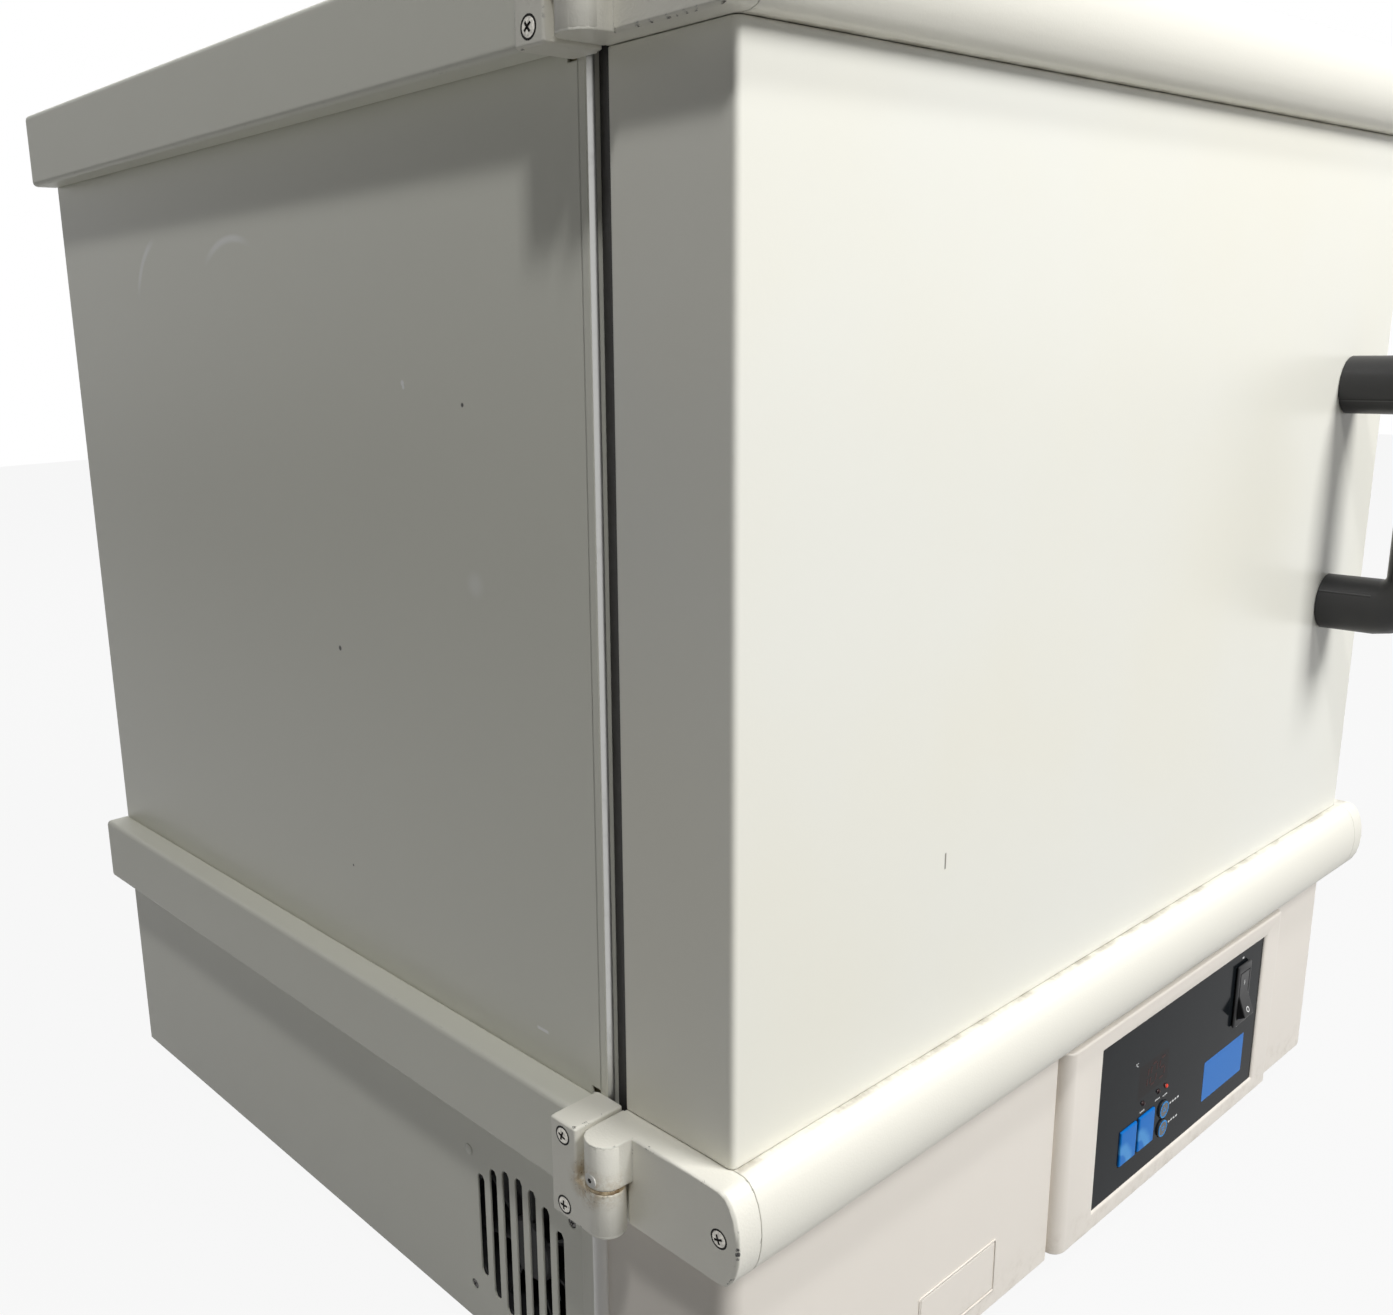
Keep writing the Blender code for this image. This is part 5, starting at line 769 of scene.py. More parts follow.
def build_finishes(finishes):
    """Every material of the CAD nodes, by the node that wears it."""
    cabinet = cabinet_paint(finishes)
    side = side_paint(finishes)
    rails = rail_paint(finishes)
    trim = trim_paint(finishes)
    hinge = hinge_paint(finishes)
    base = base_moulding(finishes)
    keys = key_blue(finishes)
    round_keys = round_key_black(finishes)
    foot = rubber("foot_rubber")
    washer = nylon_washer()
    wool = mineral_wool()
    zinc = zinc_sheet("zinc_sheet")
    pin = bright_metal("pin_steel", (0.52, 0.51, 0.49), 0.30)
    wire = bright_metal("shelf_wire", (0.68, 0.68, 0.69), 0.15)
    black = moulded_plastic("black_moulding", (0.018, 0.018, 0.019)).material
    duct = brushed_steel("duct_steel", finishes, 2, (0.98, 0.97, 0.94), 0.32, 0.10)
    return {
        "left_side_panel": side, "right_side_panel": side,
        "top_panel": cabinet, "cabinet_floor": cabinet, "front_frame": cabinet,
        "base_housing": cabinet, "back_panel": cabinet, "base_floor_pan": zinc,
        "left_lower_rail": rails, "left_upper_rail": rails,
        "right_lower_rail": rails, "right_upper_rail": rails,
        "door_outer_panel": door_paint(finishes),
        "door_bottom_trim": trim, "door_top_trim": trim,
        "bottom_end_cap": trim, "top_end_cap": trim,
        "lower_hinge_cap": hinge, "upper_hinge_cap": hinge,
        "lower_hinge_block": hinge, "upper_hinge_block": hinge,
        "lower_hinge_pin": pin, "upper_hinge_pin": pin,
        "lower_hinge_washer": washer, "upper_hinge_washer": washer,
        "base_front_panel": base, "control_bezel": base,
        "control_overlay": overlay_gloss(finishes),
        "menu_key": keys, "set_key": keys, "up_key": round_keys, "down_key": round_keys,
        "switch_body": black,
        "power_rocker": moulded_plastic("rocker_black", (0.012, 0.012, 0.013), 0.22, 0.0008,
                                        0.00001).material,
        "cooling_fan_frame": black, "cooling_fan_rotor": black, "power_inlet": black,
        "magnetic_catch": moulded_plastic("catch_plastic", (0.10, 0.10, 0.10), 0.5).material,
        "handle": handle_plastic(finishes),
        "front_left_foot": foot, "front_right_foot": foot, "rear_left_foot": foot,
        "rear_right_foot": foot,
        "door_gasket": rubber("gasket_silicone", (0.030, 0.028, 0.026)),
        "chamber_liner": brushed_steel("liner_steel", finishes, 1, heat=0.18),
        "left_duct_panel": duct, "right_duct_panel": duct,
        "floor_duct_panel": brushed_steel("floor_duct_steel", finishes, 0, roughness=0.34,
                                          heat=0.15),
        "door_inner_panel": brushed_steel("inner_door_steel", finishes, 2, roughness=0.28),
        "exhaust_tube": brushed_steel("vent_steel", finishes, 1, roughness=0.34),
        "vent_damper": brushed_steel("damper_steel", finishes, 0, roughness=0.36),
        "blower_wheel": brushed_steel("wheel_steel", finishes, 0, (0.8, 0.8, 0.8), 0.42),
        "temperature_probe": bright_metal("probe_steel", (0.58, 0.57, 0.55), 0.28),
        "lower_shelf": wire, "upper_shelf": wire,
        "body_insulation": wool, "door_insulation": wool,
        "blower_motor": motor_enamel(),
        "control_board": circuit_board(),
        "heating_element": heater_sheath(),
    }


# Geometry nodes

class Recipe:
    """A geometry-nodes tree with named inputs, which ends in real geometry with its materials."""

    def __init__(self, name):
        self.tree = bpy.data.node_groups.new(name, "GeometryNodeTree")
        for side in ("INPUT", "OUTPUT"):
            self.tree.interface.new_socket("Geometry", in_out=side,
                                           socket_type="NodeSocketGeometry")
        self.entry = self.tree.nodes.new("NodeGroupInput")
        self.exit = self.tree.nodes.new("NodeGroupOutput")

    def input(self, name, kind, default=None):
        """Adds a named input and returns its socket inside the tree."""
        item = self.tree.interface.new_socket(name, in_out="INPUT",
                                              socket_type=f"NodeSocket{kind}")
        if default is not None:
            item.default_value = default
        return self.entry.outputs[name]

    def node(self, kind, output=0, settings=None, **values):
        """Adds a node: settings first, then the values or links of its sockets."""
        node = self.tree.nodes.new(kind)
        for name, value in (settings or {}).items():
            setattr(node, name, value)
        for name, value in values.items():
            wanted = name.replace("_", " ").lower()
            sockets = [s for s in node.inputs if s.enabled and s.name.lower() == wanted]
            socket = node.inputs[int(name[3:])] if name.startswith("in_") else sockets[0]
            for item in value if isinstance(value, list) else [value]:
                if isinstance(item, bpy.types.NodeSocket):
                    self.tree.links.new(item, socket)
                else:
                    socket.default_value = item
        return node.outputs[output]

    def end(self, geometry):
        self.tree.links.new(self.node("GeometryNodeRealizeInstances", Geometry=geometry),
                            self.exit.inputs[0])


# A screw head's cross recess, darkened as painted shade, and the dark disc under it, a painted
# shadow round the head, as shares of the head's radius or height
CROSS_LENGTH, CROSS_WIDTH, CROSS_DEPTH = 1.25, 0.30, 1.5
SHADOW_RING_SIZE = 1.24
SHADOW_RING_DEPTH = 0.00012


def screw_row_recipe():
    """A row of cross-recess screw heads between two points, each turned its own way."""
    recipe = Recipe("screw_row")
    start = recipe.input("Start", "Vector")
    end = recipe.input("End", "Vector")
    facing = recipe.input("Facing", "Vector")
    count = recipe.input("Count", "Int", 1)
    radius = recipe.input("Head radius", "Float", 0.003)
    height = recipe.input("Head height", "Float", 0.001)
    steps = recipe.input("Steps", "Int", 20)
    seed = recipe.input("Seed", "Int", 1)
    metal = recipe.input("Head material", "Material")
    # Near-black material for the painted shade in the recess and the painted shadow disc under the
    # head.
    shadow = recipe.input("Gap material", "Material")
    line = recipe.node("GeometryNodeMeshLine", settings={"mode": "END_POINTS"}, Count=count,
                       Start_Location=start, Offset=end)
    size = recipe.node("ShaderNodeCombineXYZ", X=radius, Y=radius, Z=height)
    ball = recipe.node("GeometryNodeMeshUVSphere", Segments=steps, Rings=12, Radius=1.0)
    dome = recipe.node("GeometryNodeTransform", Geometry=ball, Scale=size)

    def share(size, part):
        return recipe.node("ShaderNodeMath", settings={"operation": "MULTIPLY"}, in_0=size,
                           in_1=part)

    long, thin = share(radius, CROSS_LENGTH), share(radius, CROSS_WIDTH)
    deep = share(height, CROSS_DEPTH)
    arms = []
    for first, second in ((long, thin), (thin, long)):
        bar = recipe.node("GeometryNodeMeshCube",
                          Size=recipe.node("ShaderNodeCombineXYZ", X=first, Y=second, Z=deep))
        arms.append(recipe.node("GeometryNodeTransform", Geometry=bar,
                                Translation=recipe.node("ShaderNodeCombineXYZ", Z=height)))
    dome = recipe.node("GeometryNodeSetMaterial", Geometry=dome, Material=metal)
    # The cross's faces take the near-black material: painted shade in the recess.
    arms = [recipe.node("GeometryNodeSetMaterial", Geometry=arm, Material=shadow) for arm in arms]
    head = recipe.node("GeometryNodeMeshBoolean", settings={"operation": "DIFFERENCE",
                                                            "solver": "EXACT"},
                       in_0=dome, in_1=arms)
    # Thin dark disc under the head: a painted shadow round it.
    gap = recipe.node("GeometryNodeMeshCylinder", Vertices=steps, Radius=share(radius, SHADOW_RING_SIZE),
                      Depth=SHADOW_RING_DEPTH)
    gap = recipe.node("GeometryNodeSetMaterial", Geometry=gap, Material=shadow)
    screw = recipe.node("GeometryNodeJoinGeometry", Geometry=[head, gap])
    spin = recipe.node("FunctionNodeRandomValue", output="Value", settings={"data_type": "FLOAT"},
                       in_2=0.0, in_3=math.pi, Seed=seed)
    turn = recipe.node("FunctionNodeRotateEuler", settings={"rotation_type": "AXIS_ANGLE",
                                                            "space": "LOCAL"},
                       in_0=recipe.node("FunctionNodeAlignEulerToVector", settings={"axis": "Z"},
                                        in_2=facing),
                       in_2=(0.0, 0.0, 1.0), in_3=spin)
    recipe.end(recipe.node("GeometryNodeInstanceOnPoints", Points=line, Instance=screw,
                           Rotation=turn))
    return recipe.tree


def grown(name, tree, **inputs):
    """Runs a tree on an empty mesh and returns the plain mesh that it makes."""
    carrier = bpy.data.objects.new(name, bpy.data.meshes.new(name))
    bpy.context.scene.collection.objects.link(carrier)
    modifier = carrier.modifiers.new("grow", "NODES")
    modifier.node_group = tree
    sockets = {item.name: item.identifier for item in tree.interface.items_tree
               if item.in_out == "INPUT"}
    for label, value in inputs.items():
        modifier[sockets[label.replace("_", " ")]] = value
    carrier.update_tag()
    graph = bpy.context.evaluated_depsgraph_get()
    mesh = bpy.data.meshes.new_from_object(carrier.evaluated_get(graph), depsgraph=graph)
    bpy.data.objects.remove(carrier)
    return mesh


# Mesh kit

def add_piece(name, bm, materials, body, smooth_angle=None):
    """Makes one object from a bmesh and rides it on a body."""
    bmesh.ops.remove_doubles(bm, verts=bm.verts, dist=1e-7)
    bmesh.ops.recalc_face_normals(bm, faces=bm.faces)
    mesh = bpy.data.meshes.new(name)
    bm.to_mesh(mesh)
    bm.free()
    for material in materials:
        mesh.materials.append(material)
    if smooth_angle is not None:
        mesh.shade_smooth()
        mesh.set_sharp_from_angle(angle=smooth_angle)
    piece = bpy.data.objects.new(name, mesh)
    bpy.context.scene.collection.objects.link(piece)
    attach(piece, body)
    return piece


def add_slab(bm, outline, lift, low, high, index=0):
    """Closed slab: a flat outline carried from low to high, where lift(a, b, at) gives a point."""
    loops = [[bm.verts.new(lift(a, b, at)) for a, b in outline] for at in (low, high)]
    count = len(outline)
    faces = [bm.faces.new(loops[0]), bm.faces.new(loops[1])]
    for i in range(count):
        j = (i + 1) % count
        faces.append(bm.faces.new((loops[0][i], loops[0][j], loops[1][j], loops[1][i])))
    for face in faces:
        face.material_index = index


def add_band(bm, outer, inner, lift, low, high, index=0):
    """Closed ring: the space between two outlines of equal count, from low to high."""
    count = len(outer)
    loops = [[bm.verts.new(lift(a, b, at)) for a, b in outline]
             for outline, at in ((outer, low), (outer, high), (inner, high), (inner, low))]
    for k in range(4):
        first, second = loops[k], loops[(k + 1) % 4]
        for i in range(count):
            j = (i + 1) % count
            bm.faces.new((first[i], first[j], second[j], second[i])).material_index = index


def add_revolved(bm, centre, facing, profile, steps=24, index=0):
    """Closed turned solid on an axis; profile is (along, radius) from one end to the other."""
    facing = Vector(facing).normalized()
    side = facing.orthogonal().normalized()
    other = facing.cross(side)
    loops = []
    for along, radius in profile:
        loops.append([bm.verts.new(Vector(centre) + facing * along
                                   + side * radius * math.cos(math.tau * k / steps)
                                   + other * radius * math.sin(math.tau * k / steps))
                      for k in range(steps)])
    faces = [bm.faces.new(loops[0]), bm.faces.new(loops[-1])]
    for first, second in zip(loops, loops[1:]):
        for i in range(steps):
            j = (i + 1) % steps
            faces.append(bm.faces.new((first[i], first[j], second[j], second[i])))
    for face in faces:
        face.material_index = index


def box_outline(left, low, right, high, round_by=0.0, steps=4):
    """Rectangle, with round corners where round_by is given."""
    if not round_by:
        return [(left, low), (right, low), (right, high), (left, high)]
    corners = ((right - round_by, low + round_by, -90), (right - round_by, high - round_by, 0),
               (left + round_by, high - round_by, 90), (left + round_by, low + round_by, 180))
    return [(x + round_by * math.cos(math.radians(start + 90 * k / steps)),
             z + round_by * math.sin(math.radians(start + 90 * k / steps)))
            for x, z, start in corners for k in range(steps + 1)]


def ring_outline(x, z, radius, steps=32):
    """Circle about a point."""
    turns = [math.tau * k / steps for k in range(steps)]
    return [(x + radius * math.cos(turn), z + radius * math.sin(turn)) for turn in turns]


def upright(a, b, at):
    """Point on a level plane: a is X, b is Y, at is Z."""
    return (a, b, at)


def quarter_round(a, b, wide, deep, steps=6):
    """Outline of a quarter turn about a point, from its side at +a to its end at -b."""
    turns = [math.radians(90) * step / steps for step in range(steps + 1)]
    return [(a + wide * math.cos(turn), b - deep * math.sin(turn)) for turn in turns]


def facing_front(a, b, at):
    """Point on a plane that faces the front: a is X, b is Z, at is Y."""
    return (a, at, b)


def worn_by(node):
    """The material that a CAD node wears."""
    return frame["nodes"][node].data.materials[0]


def centre_of(node):
    """The middle of a CAD node's box."""
    low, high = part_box(node)
    return (low + high) / 2


# Places on the oven, read from its nodes

LEFTWARDS = (-1.0, 0.0, 0.0)
BACKWARDS = (0.0, 1.0, 0.0)
WASHER_LOW, WASHER_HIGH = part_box("lower_hinge_washer")
HINGE_X, HINGE_Y = centre_of("lower_hinge_washer").xy
KNUCKLE_RADIUS = (WASHER_HIGH.x - WASHER_LOW.x) / 2
DOOR_LOW, DOOR_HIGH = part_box("door_outer_panel")
OVERLAY_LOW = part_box("control_overlay")[0]
BLOCK_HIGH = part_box("lower_hinge_block")[1]
END_CAP_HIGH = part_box("bottom_end_cap")[1]
SIDE_LOW, SIDE_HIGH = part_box("left_side_panel")
TRIM_HEIGHT = 0.045
BLOCK_FACE = SIDE_LOW.x - 0.0288
BLOCK_MIDDLE = BLOCK_HIGH.y - 0.0083
BLOCK_SCREW_INSET = 0.0052
CAP_FACE = SIDE_LOW.x - 0.013
NOSE_MIDDLE = DOOR_LOW.y - 0.0044
SET_SCREW_FACE = HINGE_X - 0.0081
SET_SCREW_LEVEL = 0.0179


def hinge_levels(distance):
    """Heights at a distance outwards from the door panel's lower and upper edges."""
    return DOOR_LOW.z - distance, DOOR_HIGH.z + distance


# Pieces

class OvenOperator:
    """What the oven's operators share."""
    bl_options = {"REGISTER", "UNDO"}

    def build(self, scene):
        raise NotImplementedError

    def execute(self, context):
        self.build(context.scene)
        return {"FINISHED"}


class OVEN_OT_finishes(OvenOperator, Operator):
    """Give every solid of the oven its paint, metal, rubber or moulding"""
    bl_idname = "oven.finishes"
    bl_label = "Finishes"

    def build(self, scene):
        wears = build_finishes(scene.oven_finishes)
        unfinished = sorted(set(frame["nodes"]) - set(wears))
        if unfinished:
            raise RuntimeError(f"no finish for {unfinished}")
        for name, material in wears.items():
            mesh = frame["nodes"][name].data
            mesh.materials.clear()
            mesh.materials.append(material)


# Width of the rounding of each rounded piece's edges, in metres
ROUNDED = {
    "door_outer_panel": 0.0014, "door_top_trim": 0.0, "door_bottom_trim": 0.0,
    "top_end_cap": 0.0010, "bottom_end_cap": 0.0010, "lower_hinge_cap": 0.0010,
    "upper_hinge_cap": 0.0010, "lower_hinge_block": 0.0015, "upper_hinge_block": 0.0015,
    "base_front_panel": 0.0, "control_bezel": 0.0005, "handle": 0.0,
    "left_lower_rail": 0.0014, "left_upper_rail": 0.0014, "right_lower_rail": 0.0014,
    "right_upper_rail": 0.0014, "up_key": 0.0003, "down_key": 0.0003, "menu_key": 0.0003,
    "set_key": 0.0003, "switch_body": 0.0004, "power_rocker": 0.0004, "front_left_foot": 0.0008,
    "front_right_foot": 0.0008, "rear_left_foot": 0.0008, "rear_right_foot": 0.0008,
    "lower_hinge_washer": 0.0002, "upper_hinge_washer": 0.0002, "exhaust_tube": 0.0003,
    "vent_damper": 0.0003, "blower_motor": 0.0005, "temperature_probe": 0.0,
    "heating_element": 0.0, "lower_shelf": 0.0, "upper_shelf": 0.0, "power_inlet": 0.0003,
}
ROUNDING_STEPS = 3
SHARP_FROM = math.radians(46)
FLAT_WITHIN = math.radians(0.5)
MERGE_WITHIN = 2e-6


class OVEN_OT_rounded_pieces(OvenOperator, Operator):
    """Make smooth, rounded copies of the moulded, cast and bent pieces"""
    bl_idname = "oven.rounded_pieces"
    bl_label = "Rounded pieces"

    def build(self, scene):
        bodies = frame["record"]["behaviour"]["bodies"]
        owner = {node: body for body, nodes in bodies.items() for node in nodes}
        for node, width in ROUNDED.items():
            source = frame["nodes"][node].data
            bm = bmesh.new()
            bm.from_mesh(source)
            bmesh.ops.remove_doubles(bm, verts=bm.verts, dist=MERGE_WITHIN)
            bmesh.ops.dissolve_limit(bm, angle_limit=FLAT_WITHIN, verts=bm.verts, edges=bm.edges)
            mesh = bpy.data.meshes.new(node)
            bm.to_mesh(mesh)
            bm.free()
            mesh.materials.append(source.materials[0])
            work = bpy.data.objects.new(f"{node}_rounding", mesh)
            scene.collection.objects.link(work)
            if width:
                rounding = work.modifiers.new("rounding", "BEVEL")
                rounding.width = width
                rounding.segments = ROUNDING_STEPS
                rounding.limit_method = "ANGLE"
                rounding.angle_limit = SHARP_FROM
            mesh.shade_smooth()
            mesh.set_sharp_from_angle(angle=SHARP_FROM)
            level = work.modifiers.new("level", "WEIGHTED_NORMAL")
            level.keep_sharp = True
            graph = bpy.context.evaluated_depsgraph_get()
            smooth = bpy.data.meshes.new_from_object(work.evaluated_get(graph), depsgraph=graph)
            bpy.data.objects.remove(work)
            piece = bpy.data.objects.new(f"smooth_{node}", smooth)
            scene.collection.objects.link(piece)
            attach(piece, owner[node])
            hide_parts(node)


# Heights of the knuckles' outer ends from the door panel's edge, and their clearance at the washer
DOOR_KNUCKLE_FROM = 0.00045
BLOCK_KNUCKLE_FROM = TRIM_HEIGHT - 0.0002
WASHER_CLEAR = 0.0001


class OVEN_OT_hinge_barrels(OvenOperator, Operator):
    """Turn the true round skin of the cast knuckles, with their broken edges"""
    bl_idname = "oven.hinge_barrels"
    bl_label = "Hinge barrels"

    def build(self, scene):
        cast = worn_by("lower_hinge_cap")
        skin = KNUCKLE_RADIUS
        for name, edge, way in (("lower", DOOR_LOW.z, -1.0), ("upper", DOOR_HIGH.z, 1.0)):
            low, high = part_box(f"{name}_hinge_washer")
            near, far = sorted((abs(low.z - edge), abs(high.z - edge)))
            for body, start, end in (("door", DOOR_KNUCKLE_FROM, near - WASHER_CLEAR),
                                     ("cabinet", BLOCK_KNUCKLE_FROM, far + WASHER_CLEAR)):
                length = abs(end - start)
                profile = [(0.0, skin - 0.0010), (0.0003, skin - 0.0004), (0.0010, skin),
                           (length - 0.0004, skin), (length, skin - 0.0004)]
                bm = bmesh.new()
                add_revolved(bm, (HINGE_X, HINGE_Y, edge + way * start),
                             (0.0, 0.0, way if end > start else -way), profile, 56)
                add_piece(f"{name}_{body}_barrel", bm, [cast], body,
                          math.radians(35))


# The housing's fold, the base front's lips and the bead, from the edges that they stand on
SEAM_DEEP = 0.0008
FOLD_SUNK, FOLD_FRONT, FOLD_BACK = 0.0004, 0.0070, 0.0176
SHIELD_INSET, SHIELD_DROP = 0.0018, 0.0080
LIP_WIDE, LIP_DEEP, LIP_BACK = 0.0036, 0.0044, 0.0072
BEAD_WIDE, BEAD_DEEP, BEAD_SHORT = 0.0028, 0.0034, 0.0035
EDGE_SHORT, EDGE_DROP = 0.001, 0.0025


def add_housing_fold(low, high):
    """The folded front edges of the base housing's sides."""
    bm = bmesh.new()
    for x, out in ((low.x, -1.0), (high.x, 1.0)):
        inside, front, back = x - out * FOLD_SUNK, low.y + FOLD_FRONT, low.y + FOLD_BACK
        profile = [(inside, back), (x + out * 0.0002, back), (x + out * 0.0004, low.y + 0.0090),
                   (x + out * 0.0007, front), (inside, front)]
        add_slab(bm, profile, upright, low.z + EDGE_SHORT, high.z - EDGE_DROP)
    add_piece("housing_front_edges", bm, [worn_by("base_housing")], "cabinet",
              math.radians(12))


def add_front_shield(low, high):
    """The plate that closes the slot above the base front from behind."""
    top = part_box("base_front_panel")[1].z
    bm = bmesh.new()
    outline = box_outline(low.x + SHIELD_INSET, top - SHIELD_DROP, high.x - SHIELD_INSET,
                          high.z - 0.0002)
    add_slab(bm, outline, facing_front, low.y + 0.0003, low.y + 0.0013)
    add_piece("base_front_shield", bm, [worn_by("base_floor_pan")], "cabinet")


def add_seam_fillers():
    """Strips that fill the seams between the side sheets and the front frame."""
    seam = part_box("front_frame")[1].y
    bm = bmesh.new()
    for x, out in ((SIDE_LOW.x, -1.0), (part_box("right_side_panel")[1].x, 1.0)):
        strip = box_outline(x - out * SEAM_DEEP, seam - 0.0001, x, SIDE_LOW.y + 0.0001)
        add_slab(bm, strip, upright, SIDE_LOW.z + 0.0005, SIDE_HIGH.z - 0.0005)
    add_piece("corner_seam_fillers", bm, [worn_by("left_side_panel")], "cabinet")


def add_side_lips(low, high):
    """The moulded front's rounded lips, which lap round the housing's sides, coloured whiter than
    the moulding as a painted highlight under a glossy coat.
    """
    # Whiter than the moulding's own colour: a painted highlight.
    lip_highlight = plain_print("base_lip_painted_highlight", (0.93, 0.91, 0.87), 0.25)
    lip_highlight.node_tree.nodes["Principled BSDF"].inputs["Coat Weight"].default_value = 1.0
    back = low.y + LIP_BACK
    bm = bmesh.new()
    for x, out in ((low.x, -1.0), (high.x, 1.0)):
        inside = x - out * 0.0002
        profile = [(x + out * 0.0026, back),
                   *quarter_round(inside, low.y + 0.0040, out * LIP_WIDE, LIP_DEEP),
                   (inside, back)]
        add_slab(bm, profile, upright, low.z + EDGE_SHORT, high.z - EDGE_DROP)
    add_piece("base_side_lips", bm, [lip_highlight], "cabinet", math.radians(40))


def add_corner_bead():
    """The bright rounded bead along the cabinet's corner, seen through the door's gap."""
    bead = bright_metal("corner_bead_metal", (0.50, 0.50, 0.485), 0.36)
    outside, back = SIDE_LOW.x + 0.0001, SIDE_LOW.y
    inside = outside + BEAD_WIDE
    profile = [(inside, back - 0.0001), (outside, back - 0.0001),
               *quarter_round(inside, back - 0.0030, -BEAD_WIDE, BEAD_DEEP)]
    bm = bmesh.new()
    add_slab(bm, profile, upright, SIDE_LOW.z + BEAD_SHORT, SIDE_HIGH.z - BEAD_SHORT)
    add_piece("corner_bead", bm, [bead], "cabinet", math.radians(30))


class OVEN_OT_housing_edges(OvenOperator, Operator):
    """Form the housing's folded edges, the base front's lips and shield, seams and corner bead"""
    bl_idname = "oven.housing_edges"
    bl_label = "Housing edges"

    def build(self, scene):
        low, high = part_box("base_housing")
        add_housing_fold(low, high)
        add_front_shield(low, high)
        add_seam_fillers()
        add_side_lips(low, high)
        add_corner_bead()


def add_screws(name, body, rows, radius, scene, material, height=None, seed=1):
    """Screw heads in rows of (start, end, count, facing), as one piece on one body."""
    fixings = scene.oven_fixings
    tree = bpy.data.node_groups.get("screw_row") or screw_row_recipe()
    # Near-black material for the painted shade in the recesses and the painted shadow disc under
    # each head.
    shadow = bpy.data.materials.get("screw_painted_shade") or plain_print("screw_painted_shade", (0.012, 0.011, 0.01))
    bm = bmesh.new()
    for index, (start, end, count, facing) in enumerate(rows):
        mesh = grown("row", tree, Start=start, End=end, Count=count, Facing=facing,
                     Head_radius=radius, Head_height=height or fixings.head_height,
                     Steps=fixings.steps, Seed=seed + index, Head_material=material,
                     Gap_material=shadow)
        for polygon in mesh.polygons:
            polygon.material_index = int(mesh.materials[polygon.material_index] != material)
        bm.from_mesh(mesh)
        bpy.data.meshes.remove(mesh)
    mesh = bpy.data.meshes.new(name)
    bm.to_mesh(mesh)
    bm.free()
    mesh.materials.append(material)
    mesh.materials.append(shadow)
    mesh.shade_smooth()
    mesh.set_sharp_from_angle(angle=math.radians(35))
    piece = bpy.data.objects.new(name, mesh)
    scene.collection.objects.link(piece)
    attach(piece, body)


def single(place, facing):
    """A row of one screw."""
    return (place, place, 1, facing)


class OVEN_OT_hinge_screws(OvenOperator, Operator):
    """Fit the screws of the hinge blocks, of the trims' end caps, and the hinge set screws"""
    bl_idname = "oven.hinge_screws"
    bl_label = "Hinge screws"

    def build(self, scene):
        fixings = scene.oven_fixings
        plated = screw_metal("hinge_screw_metal", (0.62, 0.60, 0.55), 0.42)
        insets = (BLOCK_SCREW_INSET, TRIM_HEIGHT - BLOCK_SCREW_INSET)
        rows = [single((BLOCK_FACE, BLOCK_MIDDLE, z), LEFTWARDS)
                for inset in insets for z in hinge_levels(inset)]
        add_screws("hinge_block_screws", "cabinet", rows, fixings.hinge_head, scene, plated,
                   seed=3)
        rows = []
        for z in hinge_levels(TRIM_HEIGHT / 2):
            rows.append(single((CAP_FACE, NOSE_MIDDLE, z), LEFTWARDS))
            rows.append(single((END_CAP_HIGH.x, NOSE_MIDDLE, z), (1.0, 0.0, 0.0)))
        add_screws("end_cap_screws", "door", rows, fixings.hinge_head, scene, plated,
                   seed=11)
        bm = bmesh.new()
        radius = fixings.set_screw
        cap = [(-0.0008, radius * 0.8), (0.0, radius), (0.0008, radius), (0.0011, radius * 0.86),
               (0.0011, radius * 0.38)]
        # A dark hexagon standing on each cap's end: painted shade where the hex socket is.
        hex_socket_shade = [(0.0009, radius * 0.36), (0.00115, radius * 0.36)]
        for z in hinge_levels(SET_SCREW_LEVEL):
            place = (SET_SCREW_FACE, HINGE_Y, z)
            add_revolved(bm, place, LEFTWARDS, cap, fixings.steps)
            add_revolved(bm, place, LEFTWARDS, hex_socket_shade, 6, 1)
        white = moulded_plastic("set_screw_nylon", (0.74, 0.73, 0.69), 0.35, 0.0005, 0.00001,
                                0.0003).material
        # Near-black screw material, for the hexagon's painted shade.
        socket = bpy.data.materials.get("screw_painted_shade")
        add_piece("hinge_set_screws", bm, [white, socket], "door", math.radians(40))


# Screws of the back, base, fan, inlet, vent, floor pan and inner door
REAR_INSET = 0.009
REAR_SIDE_ROW_FROM = 0.11
FAN_HOLE_HALF_PITCH = 0.04125
FAN_SCREW, SMALL_SCREW, DOOR_SCREW = 0.0023, 0.0016, 0.003
LOW_HEAD = 0.0006
INLET_SCREW_OUT = 0.0168
VENT_SCREW_OUT = 0.0205
VENT_SCREW_ANGLES = (120, 240)
PAN_INSET_X, PAN_INSET_Y = 0.02, 0.012
DOOR_INSET_X, DOOR_INSET_Z = 0.03, 0.009


def rear_rows():
    """Rows round the back panel and across the back of the base."""
    low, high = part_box("back_panel")
    left, right = low.x + REAR_INSET, high.x - REAR_INSET
    side_low, side_high = low.z + REAR_SIDE_ROW_FROM, high.z - REAR_SIDE_ROW_FROM
    rows = [((left, high.y, z), (right, high.y, z), 6, BACKWARDS)
            for z in (low.z + REAR_INSET, high.z - REAR_INSET)]
    rows += [((x, high.y, side_low), (x, high.y, side_high), 4, BACKWARDS)
             for x in (left, right)]
    low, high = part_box("base_housing")
    rows += [((left, high.y, z), (right, high.y, z), 4, BACKWARDS)
             for z in (low.z + REAR_INSET, high.z - REAR_INSET)]
    return rows


